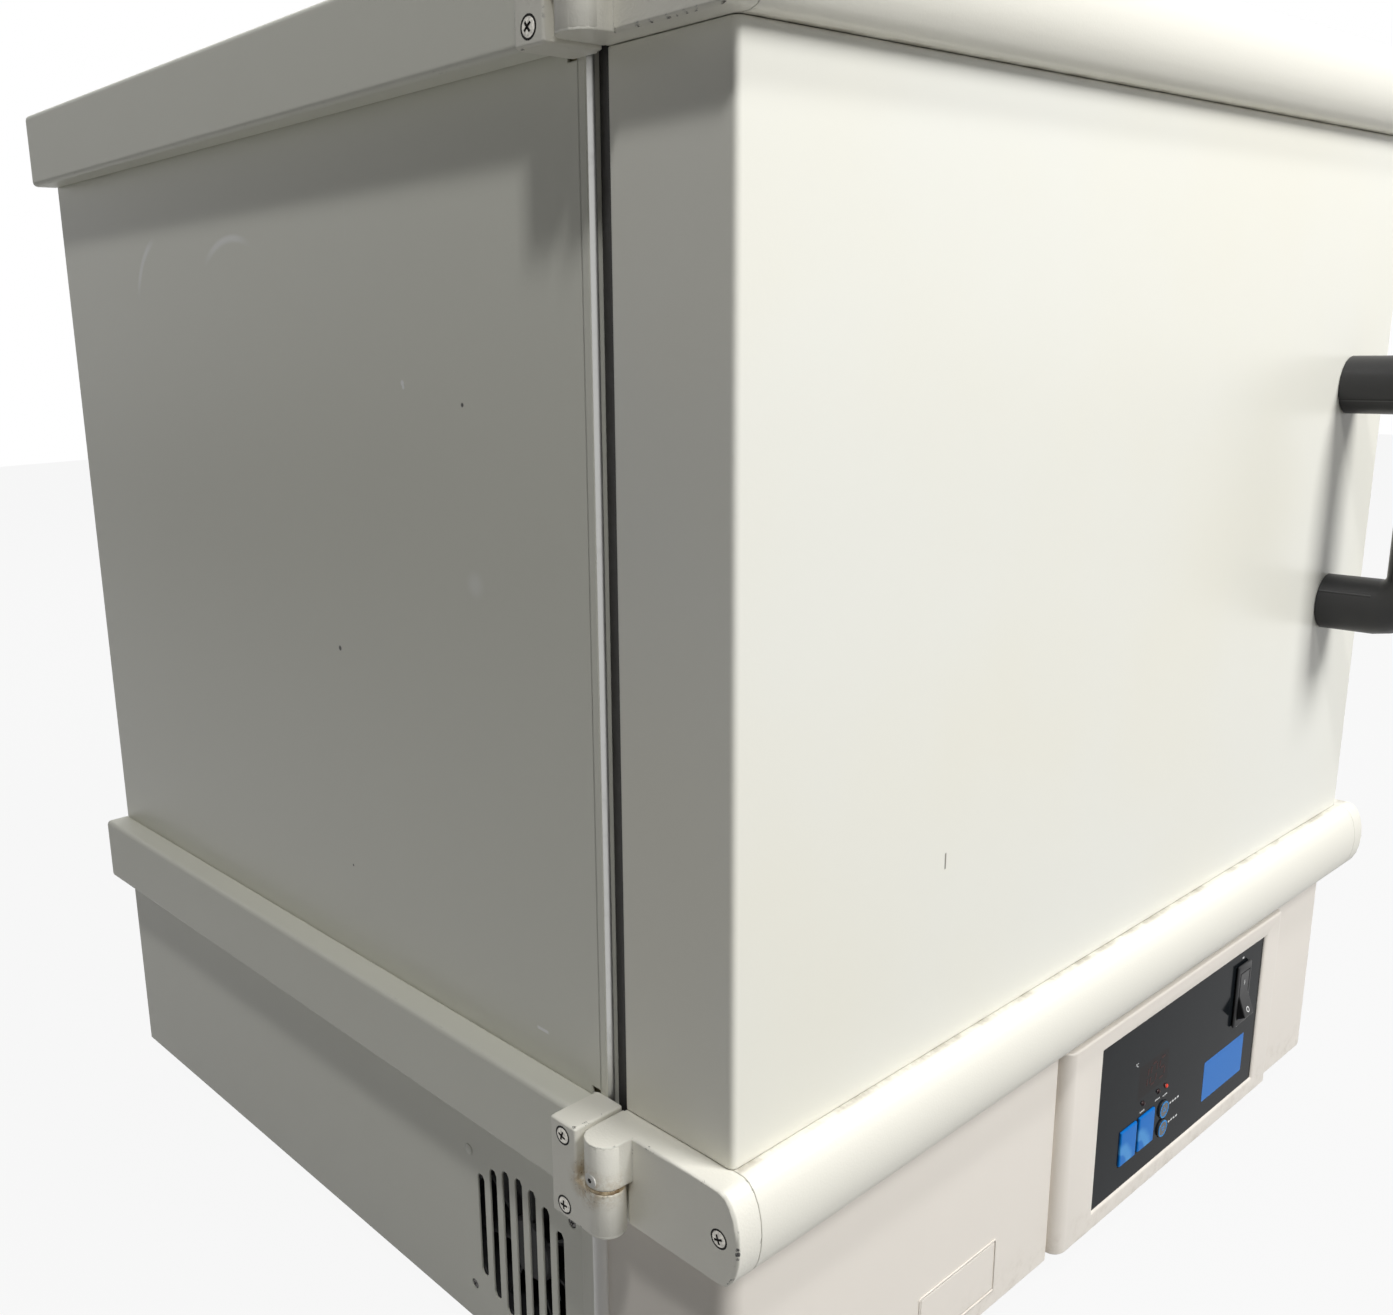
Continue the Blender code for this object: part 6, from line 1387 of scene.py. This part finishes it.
def inlet_and_vent_rows():
    """Screws on both sides of the power inlet and on the exhaust tube's flange."""
    middle, face = centre_of("power_inlet"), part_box("power_inlet")[1].y
    rows = [single((middle.x + way * INLET_SCREW_OUT, face, middle.z), BACKWARDS)
            for way in (-1, 1)]
    middle, face = centre_of("exhaust_tube"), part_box("exhaust_tube")[1].y
    for turn in (math.radians(angle) for angle in VENT_SCREW_ANGLES):
        rows.append(single((middle.x + VENT_SCREW_OUT * math.cos(turn), face,
                            middle.z + VENT_SCREW_OUT * math.sin(turn)), BACKWARDS))
    return rows


def floor_pan_rows():
    """Rows along the front and the back of the floor pan, from below."""
    low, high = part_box("base_floor_pan")
    left, right = low.x + PAN_INSET_X, high.x - PAN_INSET_X
    return [((left, y, low.z), (right, y, low.z), 5, (0.0, 0.0, -1.0))
            for y in (low.y + PAN_INSET_Y, high.y - PAN_INSET_Y)]


def inner_door_rows():
    """Rows along the top and the bottom of the door's inner panel."""
    low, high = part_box("door_inner_panel")
    left, right = low.x + DOOR_INSET_X, high.x - DOOR_INSET_X
    return [((left, DOOR_HIGH.y, z), (right, DOOR_HIGH.y, z), 5, BACKWARDS)
            for z in (low.z + DOOR_INSET_Z, high.z - DOOR_INSET_Z)]


def add_fan_fixings(scene):
    """Three dark screws of the cooling fan, and the painted plug in its fourth hole."""
    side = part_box("base_housing")[0].x
    middle, half = centre_of("cooling_fan_frame"), FAN_HOLE_HALF_PITCH
    dark = screw_metal("fan_screw_metal", (0.16, 0.155, 0.15), 0.45)
    rows = [single((side + 0.0005, middle.y + a * half, middle.z + b * half), LEFTWARDS)
            for a, b in ((-1, -1), (-1, 1), (1, -1))]
    add_screws("fan_screws", "cabinet", rows, FAN_SCREW, scene, dark, LOW_HEAD, 31)
    plug = [(-0.0006, 0.0026), (0.0, 0.0030), (0.0001, 0.0031), (0.0002, 0.0028)]
    bm = bmesh.new()
    add_revolved(bm, (side, middle.y + half, middle.z + half), LEFTWARDS, plug, 24)
    add_piece("fan_hole_plug", bm, [worn_by("base_housing")], "cabinet",
              math.radians(40))


class OVEN_OT_panel_screws(OvenOperator, Operator):
    """Fit the screws of the back, the base, the fan, the inlet and the inner door"""
    bl_idname = "oven.panel_screws"
    bl_label = "Panel screws"

    def build(self, scene):
        head = scene.oven_fixings.panel_head
        zinc = screw_metal("panel_screw_metal", (0.60, 0.60, 0.58), 0.30)
        add_screws("rear_screws", "cabinet", rear_rows(), head, scene, zinc,
                   seed=21)
        add_fan_fixings(scene)
        add_screws("inlet_and_vent_screws", "cabinet", inlet_and_vent_rows(), SMALL_SCREW, scene,
                   zinc, LOW_HEAD, 41)
        add_screws("pan_screws", "cabinet", floor_pan_rows(), head, scene, zinc,
                   seed=51)
        add_screws("inner_door_screws", "door", inner_door_rows(), DOOR_SCREW, scene, zinc,
                   seed=61)


# Rivets, from the ducts' and the floor's edges
RIVET_INSET = 0.03
DUCT_RIVET_INSET_Y, FLOOR_RIVET_INSET_Y = 0.05, 0.02
RIVET_STEPS = 14
FLAT_FACE = 0.9


class OVEN_OT_chamber_rivets(OvenOperator, Operator):
    """Set the rivets that hold the duct walls inside the chamber"""
    bl_idname = "oven.chamber_rivets"
    bl_label = "Chamber rivets"

    def build(self, scene):
        radius = scene.oven_fixings.rivet_head
        steel = bright_metal("rivet_steel", (0.60, 0.59, 0.57), 0.26)
        bm = bmesh.new()
        duct_low, duct_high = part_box("left_duct_panel")
        floor_low, floor_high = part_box("floor_duct_panel")
        middle_x = (floor_low.x + floor_high.x) / 2
        profile = [(-0.0002, radius), (0.0004, radius), (0.0010, radius * 0.72),
                   (0.0012, radius * 0.3)]
        for node, inward in (("left_duct_panel", 1.0), ("right_duct_panel", -1.0)):
            land = landing(node)
            for z in (duct_low.z + RIVET_INSET, duct_high.z - RIVET_INSET):
                for y in (duct_low.y + DUCT_RIVET_INSET_Y, (duct_low.y + duct_high.y) / 2,
                          duct_high.y - DUCT_RIVET_INSET_Y):
                    start = Vector((middle_x, y, z))
                    place, facing = land(start, Vector((-inward, 0.0, 0.0)))
                    if place is not None and abs(facing.x) > FLAT_FACE:
                        add_revolved(bm, place, facing, profile, RIVET_STEPS)
        for x in (floor_low.x + RIVET_INSET, middle_x, floor_high.x - RIVET_INSET):
            for y in (floor_low.y + FLOOR_RIVET_INSET_Y, floor_high.y - FLOOR_RIVET_INSET_Y):
                add_revolved(bm, (x, y, floor_high.z), (0.0, 0.0, 1.0), profile, RIVET_STEPS)
        add_piece("chamber_rivets", bm, [steel], "cabinet", math.radians(50))


def landing(node):
    """A function that gives where a ray meets a node, and the way that its surface faces there."""
    mesh = frame["nodes"][node].data
    solid = BVHTree.FromPolygons([v.co.copy() for v in mesh.vertices],
                                 [tuple(p.vertices) for p in mesh.polygons])

    def land(start, way):
        place, facing, _, _ = solid.ray_cast(start, way)
        return place, facing
    return land


# Both ends of a digit's seven bars, as shares of its width and height
SEGMENTS = {
    "a": ((0.0, 1.0), (1.0, 1.0)), "b": ((1.0, 1.0), (1.0, 0.5)), "c": ((1.0, 0.5), (1.0, 0.0)),
    "d": ((0.0, 0.0), (1.0, 0.0)), "e": ((0.0, 0.5), (0.0, 0.0)), "f": ((0.0, 1.0), (0.0, 0.5)),
    "g": ((0.0, 0.5), (1.0, 0.5)),
}
LIT_SEGMENTS = {"0": "abcdef", "1": "bc", "5": "acdfg"}
DIGIT_WIDTH, BAR_HALF_WIDTH, DIGIT_LEAN = 0.52, 0.055, 0.10


def add_digit(bm, digit, left, low, height, face, thick, index):
    """One leaning seven-bar digit, each bar a slim hexagon."""
    width, half = height * DIGIT_WIDTH, height * BAR_HALF_WIDTH
    for bar in LIT_SEGMENTS[digit]:
        (ax, az), (bx, bz) = SEGMENTS[bar]
        start = Vector((ax * width, az * height))
        end = Vector((bx * width, bz * height))
        along = (end - start).normalized()
        across = Vector((-along.y, along.x)) * half
        start, end = start + along * half * 1.2, end - along * half * 1.2
        outline = [start, start + along * half + across, end - along * half + across, end,
                   end - along * half - across, start + along * half - across]
        outline = [(left + p.x + p.y * DIGIT_LEAN, low + p.y) for p in outline]
        add_slab(bm, outline, facing_front, face - thick, face, index)


# Marks on the control overlay, from its left and lower edges
DIGITS_X, DIGITS_Z = 0.0520, 0.0560
DIGIT_PITCH = 0.80
DEGREE_X, DEGREE_Z, DEGREE_HEIGHT = 0.0435, 0.0755, 0.0026
PLATE_LEFT, PLATE_RIGHT = 0.1385, 0.1955
PLATE_LOW, PLATE_HIGH = 0.0125, 0.0405
LAMPS_X, LAMPS_Z = (0.0559, 0.0752, 0.0850), 0.0469
LIT_LAMP_X = LAMPS_X[2]
LAMP_LABELS_Z, LAMP_LABEL_WIDTH = (0.0417, 0.0417, 0.0407), 0.0062
KEY_LABELS_X, KEY_LABELS_Z, KEY_LABEL_WIDTH = 0.0990, (0.0314, 0.0183), 0.0130
SWITCH_DOTS_X, SWITCH_DOTS_Z = 0.1812, (0.0985, 0.0497)
DOT_WIDTH, DOT_HEIGHT = 0.0022, 0.0014


class OVEN_OT_panel_print(OvenOperator, Operator):
    """Print the display, the marks and the blue plate on the control overlay"""
    bl_idname = "oven.panel_print"
    bl_label = "Control panel print"

    def build(self, scene):
        marks = scene.oven_panel_marks
        add_display_digits(marks.digit_height, marks.print_lift)
        add_panel_marks(marks.mark_line, marks.print_lift, tuple(scene.oven_finishes.key))
        add_lamp_lenses()


def add_display_digits(height, lift):
    """The faintly lit number in the display window."""
    left, face, low = OVERLAY_LOW
    red = glowing("display_red", (0.9, 0.06, 0.03), 0.030, (0.010, 0.004, 0.004))
    bm = bmesh.new()
    for place, digit in enumerate("105"):
        add_digit(bm, digit, left + DIGITS_X + place * height * DIGIT_PITCH, low + DIGITS_Z,
                  height, face, lift, 0)
    add_piece("display_digits", bm, [red], "cabinet")


def add_panel_marks(line, lift, blue_colour):
    """The blue plate, the degree mark, and the dashes and dots that stand for words."""
    left, face, low = OVERLAY_LOW
    white = plain_print("panel_white", (0.72, 0.73, 0.73))
    blue = plain_print("panel_blue", blue_colour, 0.28)
    bm = bmesh.new()
    plate = box_outline(left + PLATE_LEFT, low + PLATE_LOW, left + PLATE_RIGHT,
                        low + PLATE_HIGH, 0.0008)
    add_slab(bm, plate, facing_front, face - lift, face, 1)
    add_degree_mark(bm, left + DEGREE_X, low + DEGREE_Z, DEGREE_HEIGHT, face, lift)
    for x, z in zip(LAMPS_X, LAMP_LABELS_Z):
        add_dashes(bm, left + x, low + z, LAMP_LABEL_WIDTH, line, face, lift)
    for z in KEY_LABELS_Z:
        add_dashes(bm, left + KEY_LABELS_X, low + z, KEY_LABEL_WIDTH, line * 1.3, face, lift)
    for z in SWITCH_DOTS_Z:
        dot = box_outline(left + SWITCH_DOTS_X, low + z, left + SWITCH_DOTS_X + DOT_WIDTH,
                          low + z + DOT_HEIGHT, 0.0004)
        add_slab(bm, dot, facing_front, face - lift, face, 0)
    add_piece("panel_marks", bm, [white, blue], "cabinet")


def add_lamp_lenses():
    """Domed ends of the three lamps, of which one is lit."""
    lamp = glowing("lamp_red", (1.0, 0.10, 0.06), 0.45, (0.4, 0.03, 0.02))
    dim = plain_print("lamp_unlit", (0.030, 0.016, 0.016), 0.3)
    board_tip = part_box("control_board")[0].y
    lens = [(-0.0004, 0.00115), (0.0001, 0.0012), (0.00035, 0.0009), (0.0004, 0.0003)]
    bm = bmesh.new()
    for x in LAMPS_X:
        place = (OVERLAY_LOW.x + x, board_tip, OVERLAY_LOW.z + LAMPS_Z)
        add_revolved(bm, place, (0.0, -1.0, 0.0), lens, 20, int(x == LIT_LAMP_X))
    add_piece("lamp_lenses", bm, [dim, lamp], "cabinet", math.radians(60))


def add_degree_mark(bm, x, z, height, face, lift):
    """Small degree sign and letter C, which say the display's unit."""
    add_band(bm, ring_outline(x, z + height * 0.8, height * 0.22, 16),
             ring_outline(x, z + height * 0.8, height * 0.12, 16), facing_front, face - lift, face)
    outer = [(x + height * 0.75 + height * 0.42 * math.cos(math.radians(a)),
              z + height * 0.45 + height * 0.5 * math.sin(math.radians(a)))
             for a in range(45, 316, 15)]
    inner = [(x + height * 0.75 + height * 0.27 * math.cos(math.radians(a)),
              z + height * 0.45 + height * 0.35 * math.sin(math.radians(a)))
             for a in range(315, 44, -15)]
    add_slab(bm, outer + inner, facing_front, face - lift, face, 0)


def add_dashes(bm, middle, z, width, line, face, lift):
    """Short broken line that stands where a label would be."""
    parts = 4
    pitch = width / parts
    for k in range(parts):
        x = middle - width / 2 + k * pitch
        dash = box_outline(x, z - line, x + pitch * 0.66, z + line)
        add_slab(bm, dash, facing_front, face - lift, face, 0)


class OVEN_OT_key_marks(OvenOperator, Operator):
    """Print the ring and the arrow on both round keys"""
    bl_idname = "oven.key_marks"
    bl_label = "Round key marks"

    def build(self, scene):
        lift = scene.oven_panel_marks.print_lift
        blue = plain_print("key_ring_blue", (0.01, 0.25, 0.66), 0.3)
        for node, way in (("up_key", 1.0), ("down_key", -1.0)):
            low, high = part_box(node)
            x, _, z = centre_of(node)
            radius, face = (high.x - low.x) / 2, low.y
            bm = bmesh.new()
            add_band(bm, ring_outline(x, z, radius * 0.97), ring_outline(x, z, radius * 0.80),
                     facing_front, face - lift, face + 0.0001)
            size = radius * 0.40
            arrow = [(x - size, z - way * size * 0.55), (x + size, z - way * size * 0.55),
                     (x, z + way * size * 0.95)]
            hollow = [(x - size * 0.58, z - way * size * 0.33),
                      (x + size * 0.58, z - way * size * 0.33), (x, z + way * size * 0.55)]
            add_band(bm, arrow, hollow, facing_front, face - lift, face + 0.0001)
            add_piece(f"{node}_mark", bm, [blue], node)


# The rocker's marks: their heights as shares of its own, and their sizes in metres
ON_MARK_LEVEL, OFF_MARK_LEVEL = 0.76, 0.22
BAR_HALF, BAR_REACH = 0.0003, 0.0016
RING_OUTER, RING_INNER = 0.0019, 0.0013
INK_PROUD, INK_SUNK = 0.00005, 0.0001


class OVEN_OT_rocker_marks(OvenOperator, Operator):
    """Print I and O on the power rocker"""
    bl_idname = "oven.rocker_marks"
    bl_label = "Rocker marks"

    def build(self, scene):
        white = plain_print("rocker_white", (0.80, 0.80, 0.79))
        low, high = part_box("power_rocker")
        x = centre_of("power_rocker").x
        land = landing("power_rocker")
        bm = bmesh.new()
        for share, kind in ((ON_MARK_LEVEL, "bar"), (OFF_MARK_LEVEL, "ring")):
            z = low.z + (high.z - low.z) * share
            place, facing = land(Vector((x, low.y - 0.02, z)), Vector((0.0, 1.0, 0.0)))
            up = Vector((1.0, 0.0, 0.0)).cross(facing).normalized()
            up = up if up.z > 0 else -up

            def lift(a, b, at, place=place, up=up, facing=facing):
                return place + Vector((a, 0.0, 0.0)) + up * b + facing * at

            if kind == "bar":
                bar = box_outline(-BAR_HALF, -BAR_REACH, BAR_HALF, BAR_REACH)
                add_slab(bm, bar, lift, INK_PROUD, -INK_SUNK)
            else:
                add_band(bm, ring_outline(0.0, 0.0, RING_OUTER, 24),
                         ring_outline(0.0, 0.0, RING_INNER, 24), lift, INK_PROUD, -INK_SUNK)
        add_piece("rocker_marks", bm, [white], "power_rocker")


# The bare plate, from the base front's left and lower edges
FRAME_X, FRAME_Z = 0.1425, 0.0105
FRAME_WIDTH, FRAME_HEIGHT = 0.0700, 0.0325
FRAME_BORDER, FRAME_FIELD = 0.0009, 0.0020


class OVEN_OT_plates(OvenOperator, Operator):
    """Fit the bare framed plate on the base's front"""
    bl_idname = "oven.plates"
    bl_label = "Bare front plate"

    def build(self, scene):
        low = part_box("base_front_panel")[0]
        base = worn_by("base_front_panel")
        left, under = low.x + FRAME_X, low.z + FRAME_Z
        right, over = left + FRAME_WIDTH, under + FRAME_HEIGHT
        face = low.y

        def inset(by, corner):
            return box_outline(left + by, under + by, right - by, over - by, corner)

        bm = bmesh.new()
        add_band(bm, inset(0.0, 0.0016), inset(FRAME_BORDER, 0.0010), facing_front,
                 face - 0.0005, face + 0.0002)
        add_slab(bm, inset(FRAME_FIELD, 0.0008), facing_front, face - 0.0002, face + 0.0002)
        add_piece("front_plate_frame", bm, [base], "cabinet", math.radians(30))


# Stage

# Each light's name, place, target and size
LIGHTS = (("front_light", (0.55, -2.3, 2.5), (0.05, -0.2, 0.40), (1.2, 1.2)),
          ("ceiling_light", (-1.10, -1.05, 2.55), (-0.30, -0.20, 0.50), (0.22, 0.22)),
          ("back_light", (1.9, 2.1, 1.6), (0.1, 0.1, 0.35), (1.6, 1.2)))
FLOOR_HALF = 6.0


def turned_camera():
    """Camera matrix from the place and the three angles worked out for the photograph."""
    yaw, pitch, roll = (math.radians(a) for a in (CAMERA_YAW, CAMERA_PITCH, CAMERA_ROLL))
    forward = Vector((math.sin(yaw) * math.cos(pitch), math.cos(yaw) * math.cos(pitch),
                      math.sin(pitch)))
    level = Vector((math.cos(yaw), -math.sin(yaw), 0.0))
    above = level.cross(forward)
    right = level * math.cos(roll) + above * math.sin(roll)
    up = above * math.cos(roll) - level * math.sin(roll)
    turn = Matrix((right, up, -forward)).transposed().to_4x4()
    turn.translation = Vector(CAMERA_PLACE)
    return turn


def add_area_light(name, place, target, size, power):
    light = bpy.data.lights.new(name, "AREA")
    light.shape = "RECTANGLE"
    light.size, light.size_y = size
    light.energy = power
    lamp = bpy.data.objects.new(name, light)
    bpy.context.scene.collection.objects.link(lamp)
    lamp.location = place
    lamp.rotation_euler = (Vector(target) - Vector(place)).to_track_quat("-Z", "Y").to_euler()


def seen_plainly(tree):
    """1 for what the camera sees, also in mirrors and through glass, else 0."""
    path = tree.nodes.new("ShaderNodeLightPath")
    direct, mirrored, through = (Value(tree, path.outputs[f"Is {kind} Ray"])
                                 for kind in ("Camera", "Glossy", "Transmission"))
    return (direct + mirrored + through).clamped()


def mixed(tree, factor, first, second):
    """Mixes two shaders by a mask and returns the socket."""
    mix = tree.nodes.new("ShaderNodeMixShader")
    for socket, source in zip(mix.inputs, (factor.socket, first, second)):
        tree.links.new(source, socket)
    return mix.outputs[0]


def stage_material(name, colour, white):
    """Pale matt surface that the camera and mirrors see nearer white, still with its shadow."""
    finish = Finish(name, 0.9, 0.0, colour)
    finish.shader.inputs["Specular IOR Level"].default_value = 0.1
    tree = finish.tree
    glow = tree.nodes.new("ShaderNodeEmission")
    glow.inputs["Color"].default_value = (1.0, 1.0, 1.0, 1.0)
    surface = mixed(tree, seen_plainly(tree) * white, finish.shader.outputs[0], glow.outputs[0])
    tree.links.new(surface, tree.nodes["Material Output"].inputs[0])
    return finish.material


class OVEN_OT_stage(OvenOperator, Operator):
    """Set the floor, the white room, the lights and the camera"""
    bl_idname = "oven.stage"
    bl_label = "Floor, lights and camera"

    def build(self, scene):
        stage = scene.oven_stage
        floor_mesh = bpy.data.meshes.new("floor")
        bm = bmesh.new()
        bmesh.ops.create_grid(bm, x_segments=8, y_segments=8, size=FLOOR_HALF)
        bm.to_mesh(floor_mesh)
        bm.free()
        floor_mesh.materials.append(stage_material("floor_pale", tuple(stage.floor),
                                                   stage.floor_white))
        floor = bpy.data.objects.new("floor", floor_mesh)
        scene.collection.objects.link(floor)

        world = bpy.data.worlds.new("room")
        scene.world = world
        world.use_nodes = True
        tree = world.node_tree
        tree.nodes.clear()
        output = tree.nodes.new("ShaderNodeOutputWorld")
        soft = tree.nodes.new("ShaderNodeBackground")
        soft.inputs["Color"].default_value = (1.0, 1.0, 0.99, 1.0)
        soft.inputs["Strength"].default_value = stage.sky
        seen = tree.nodes.new("ShaderNodeBackground")
        seen.inputs["Color"].default_value = (1.0, 1.0, 1.0, 1.0)
        surface = mixed(tree, seen_plainly(tree), soft.outputs[0], seen.outputs[0])
        tree.links.new(surface, output.inputs[0])

        for (name, place, target, size), power in zip(LIGHTS, (stage.key_power, stage.top_power,
                                                               stage.back_power)):
            add_area_light(name, place, target, size, power)

        lens = bpy.data.cameras.new("photo_camera")
        lens.sensor_fit = "HORIZONTAL"
        lens.sensor_width = SENSOR_WIDTH
        lens.lens = CAMERA_FOCAL_PIXELS / PHOTO_SIZE[0] * SENSOR_WIDTH
        lens.shift_x = (PHOTO_SIZE[0] / 2 - CAMERA_CENTRE_PIXELS[0]) / PHOTO_SIZE[0]
        lens.shift_y = (CAMERA_CENTRE_PIXELS[1] - PHOTO_SIZE[1] / 2) / PHOTO_SIZE[0]
        lens.clip_start = 0.02
        camera = bpy.data.objects.new("photo_camera", lens)
        scene.collection.objects.link(camera)
        camera.matrix_world = turned_camera()
        scene.camera = camera
        scene.view_settings.view_transform = "Standard"


class OVEN_PT_panel(Panel):
    """Lists the oven's builders and their values"""
    bl_idname = "OVEN_PT_panel"
    bl_label = "Bench oven"
    bl_space_type = "VIEW_3D"
    bl_region_type = "UI"
    bl_category = "Oven"

    def draw(self, context):
        layout = self.layout
        for operator in OPERATORS:
            layout.operator(operator.bl_idname)
        for group in (context.scene.oven_finishes, context.scene.oven_fixings,
                      context.scene.oven_panel_marks, context.scene.oven_stage):
            box = layout.box()
            for name in type(group).__annotations__:
                box.prop(group, name)


GROUPS = {"oven_finishes": OvenFinishes, "oven_fixings": OvenFixings,
          "oven_panel_marks": OvenPanelMarks, "oven_stage": OvenStage}
OPERATORS = (OVEN_OT_finishes, OVEN_OT_rounded_pieces, OVEN_OT_hinge_barrels,
             OVEN_OT_housing_edges, OVEN_OT_hinge_screws, OVEN_OT_panel_screws,
             OVEN_OT_chamber_rivets, OVEN_OT_panel_print, OVEN_OT_key_marks,
             OVEN_OT_rocker_marks, OVEN_OT_plates, OVEN_OT_stage)


def register():
    for group in GROUPS.values():
        bpy.utils.register_class(group)
    for name, group in GROUPS.items():
        setattr(bpy.types.Scene, name, PointerProperty(type=group))
    for operator in OPERATORS:
        bpy.utils.register_class(operator)
    bpy.utils.register_class(OVEN_PT_panel)


def unregister():
    bpy.utils.unregister_class(OVEN_PT_panel)
    for operator in reversed(OPERATORS):
        bpy.utils.unregister_class(operator)
    for name, group in reversed(GROUPS.items()):
        delattr(bpy.types.Scene, name)
        bpy.utils.unregister_class(group)


def main():
    register()
    for operator in OPERATORS:
        family, name = operator.bl_idname.split(".")
        getattr(getattr(bpy.ops, family), name)()


if __name__ == "__main__":
    main()
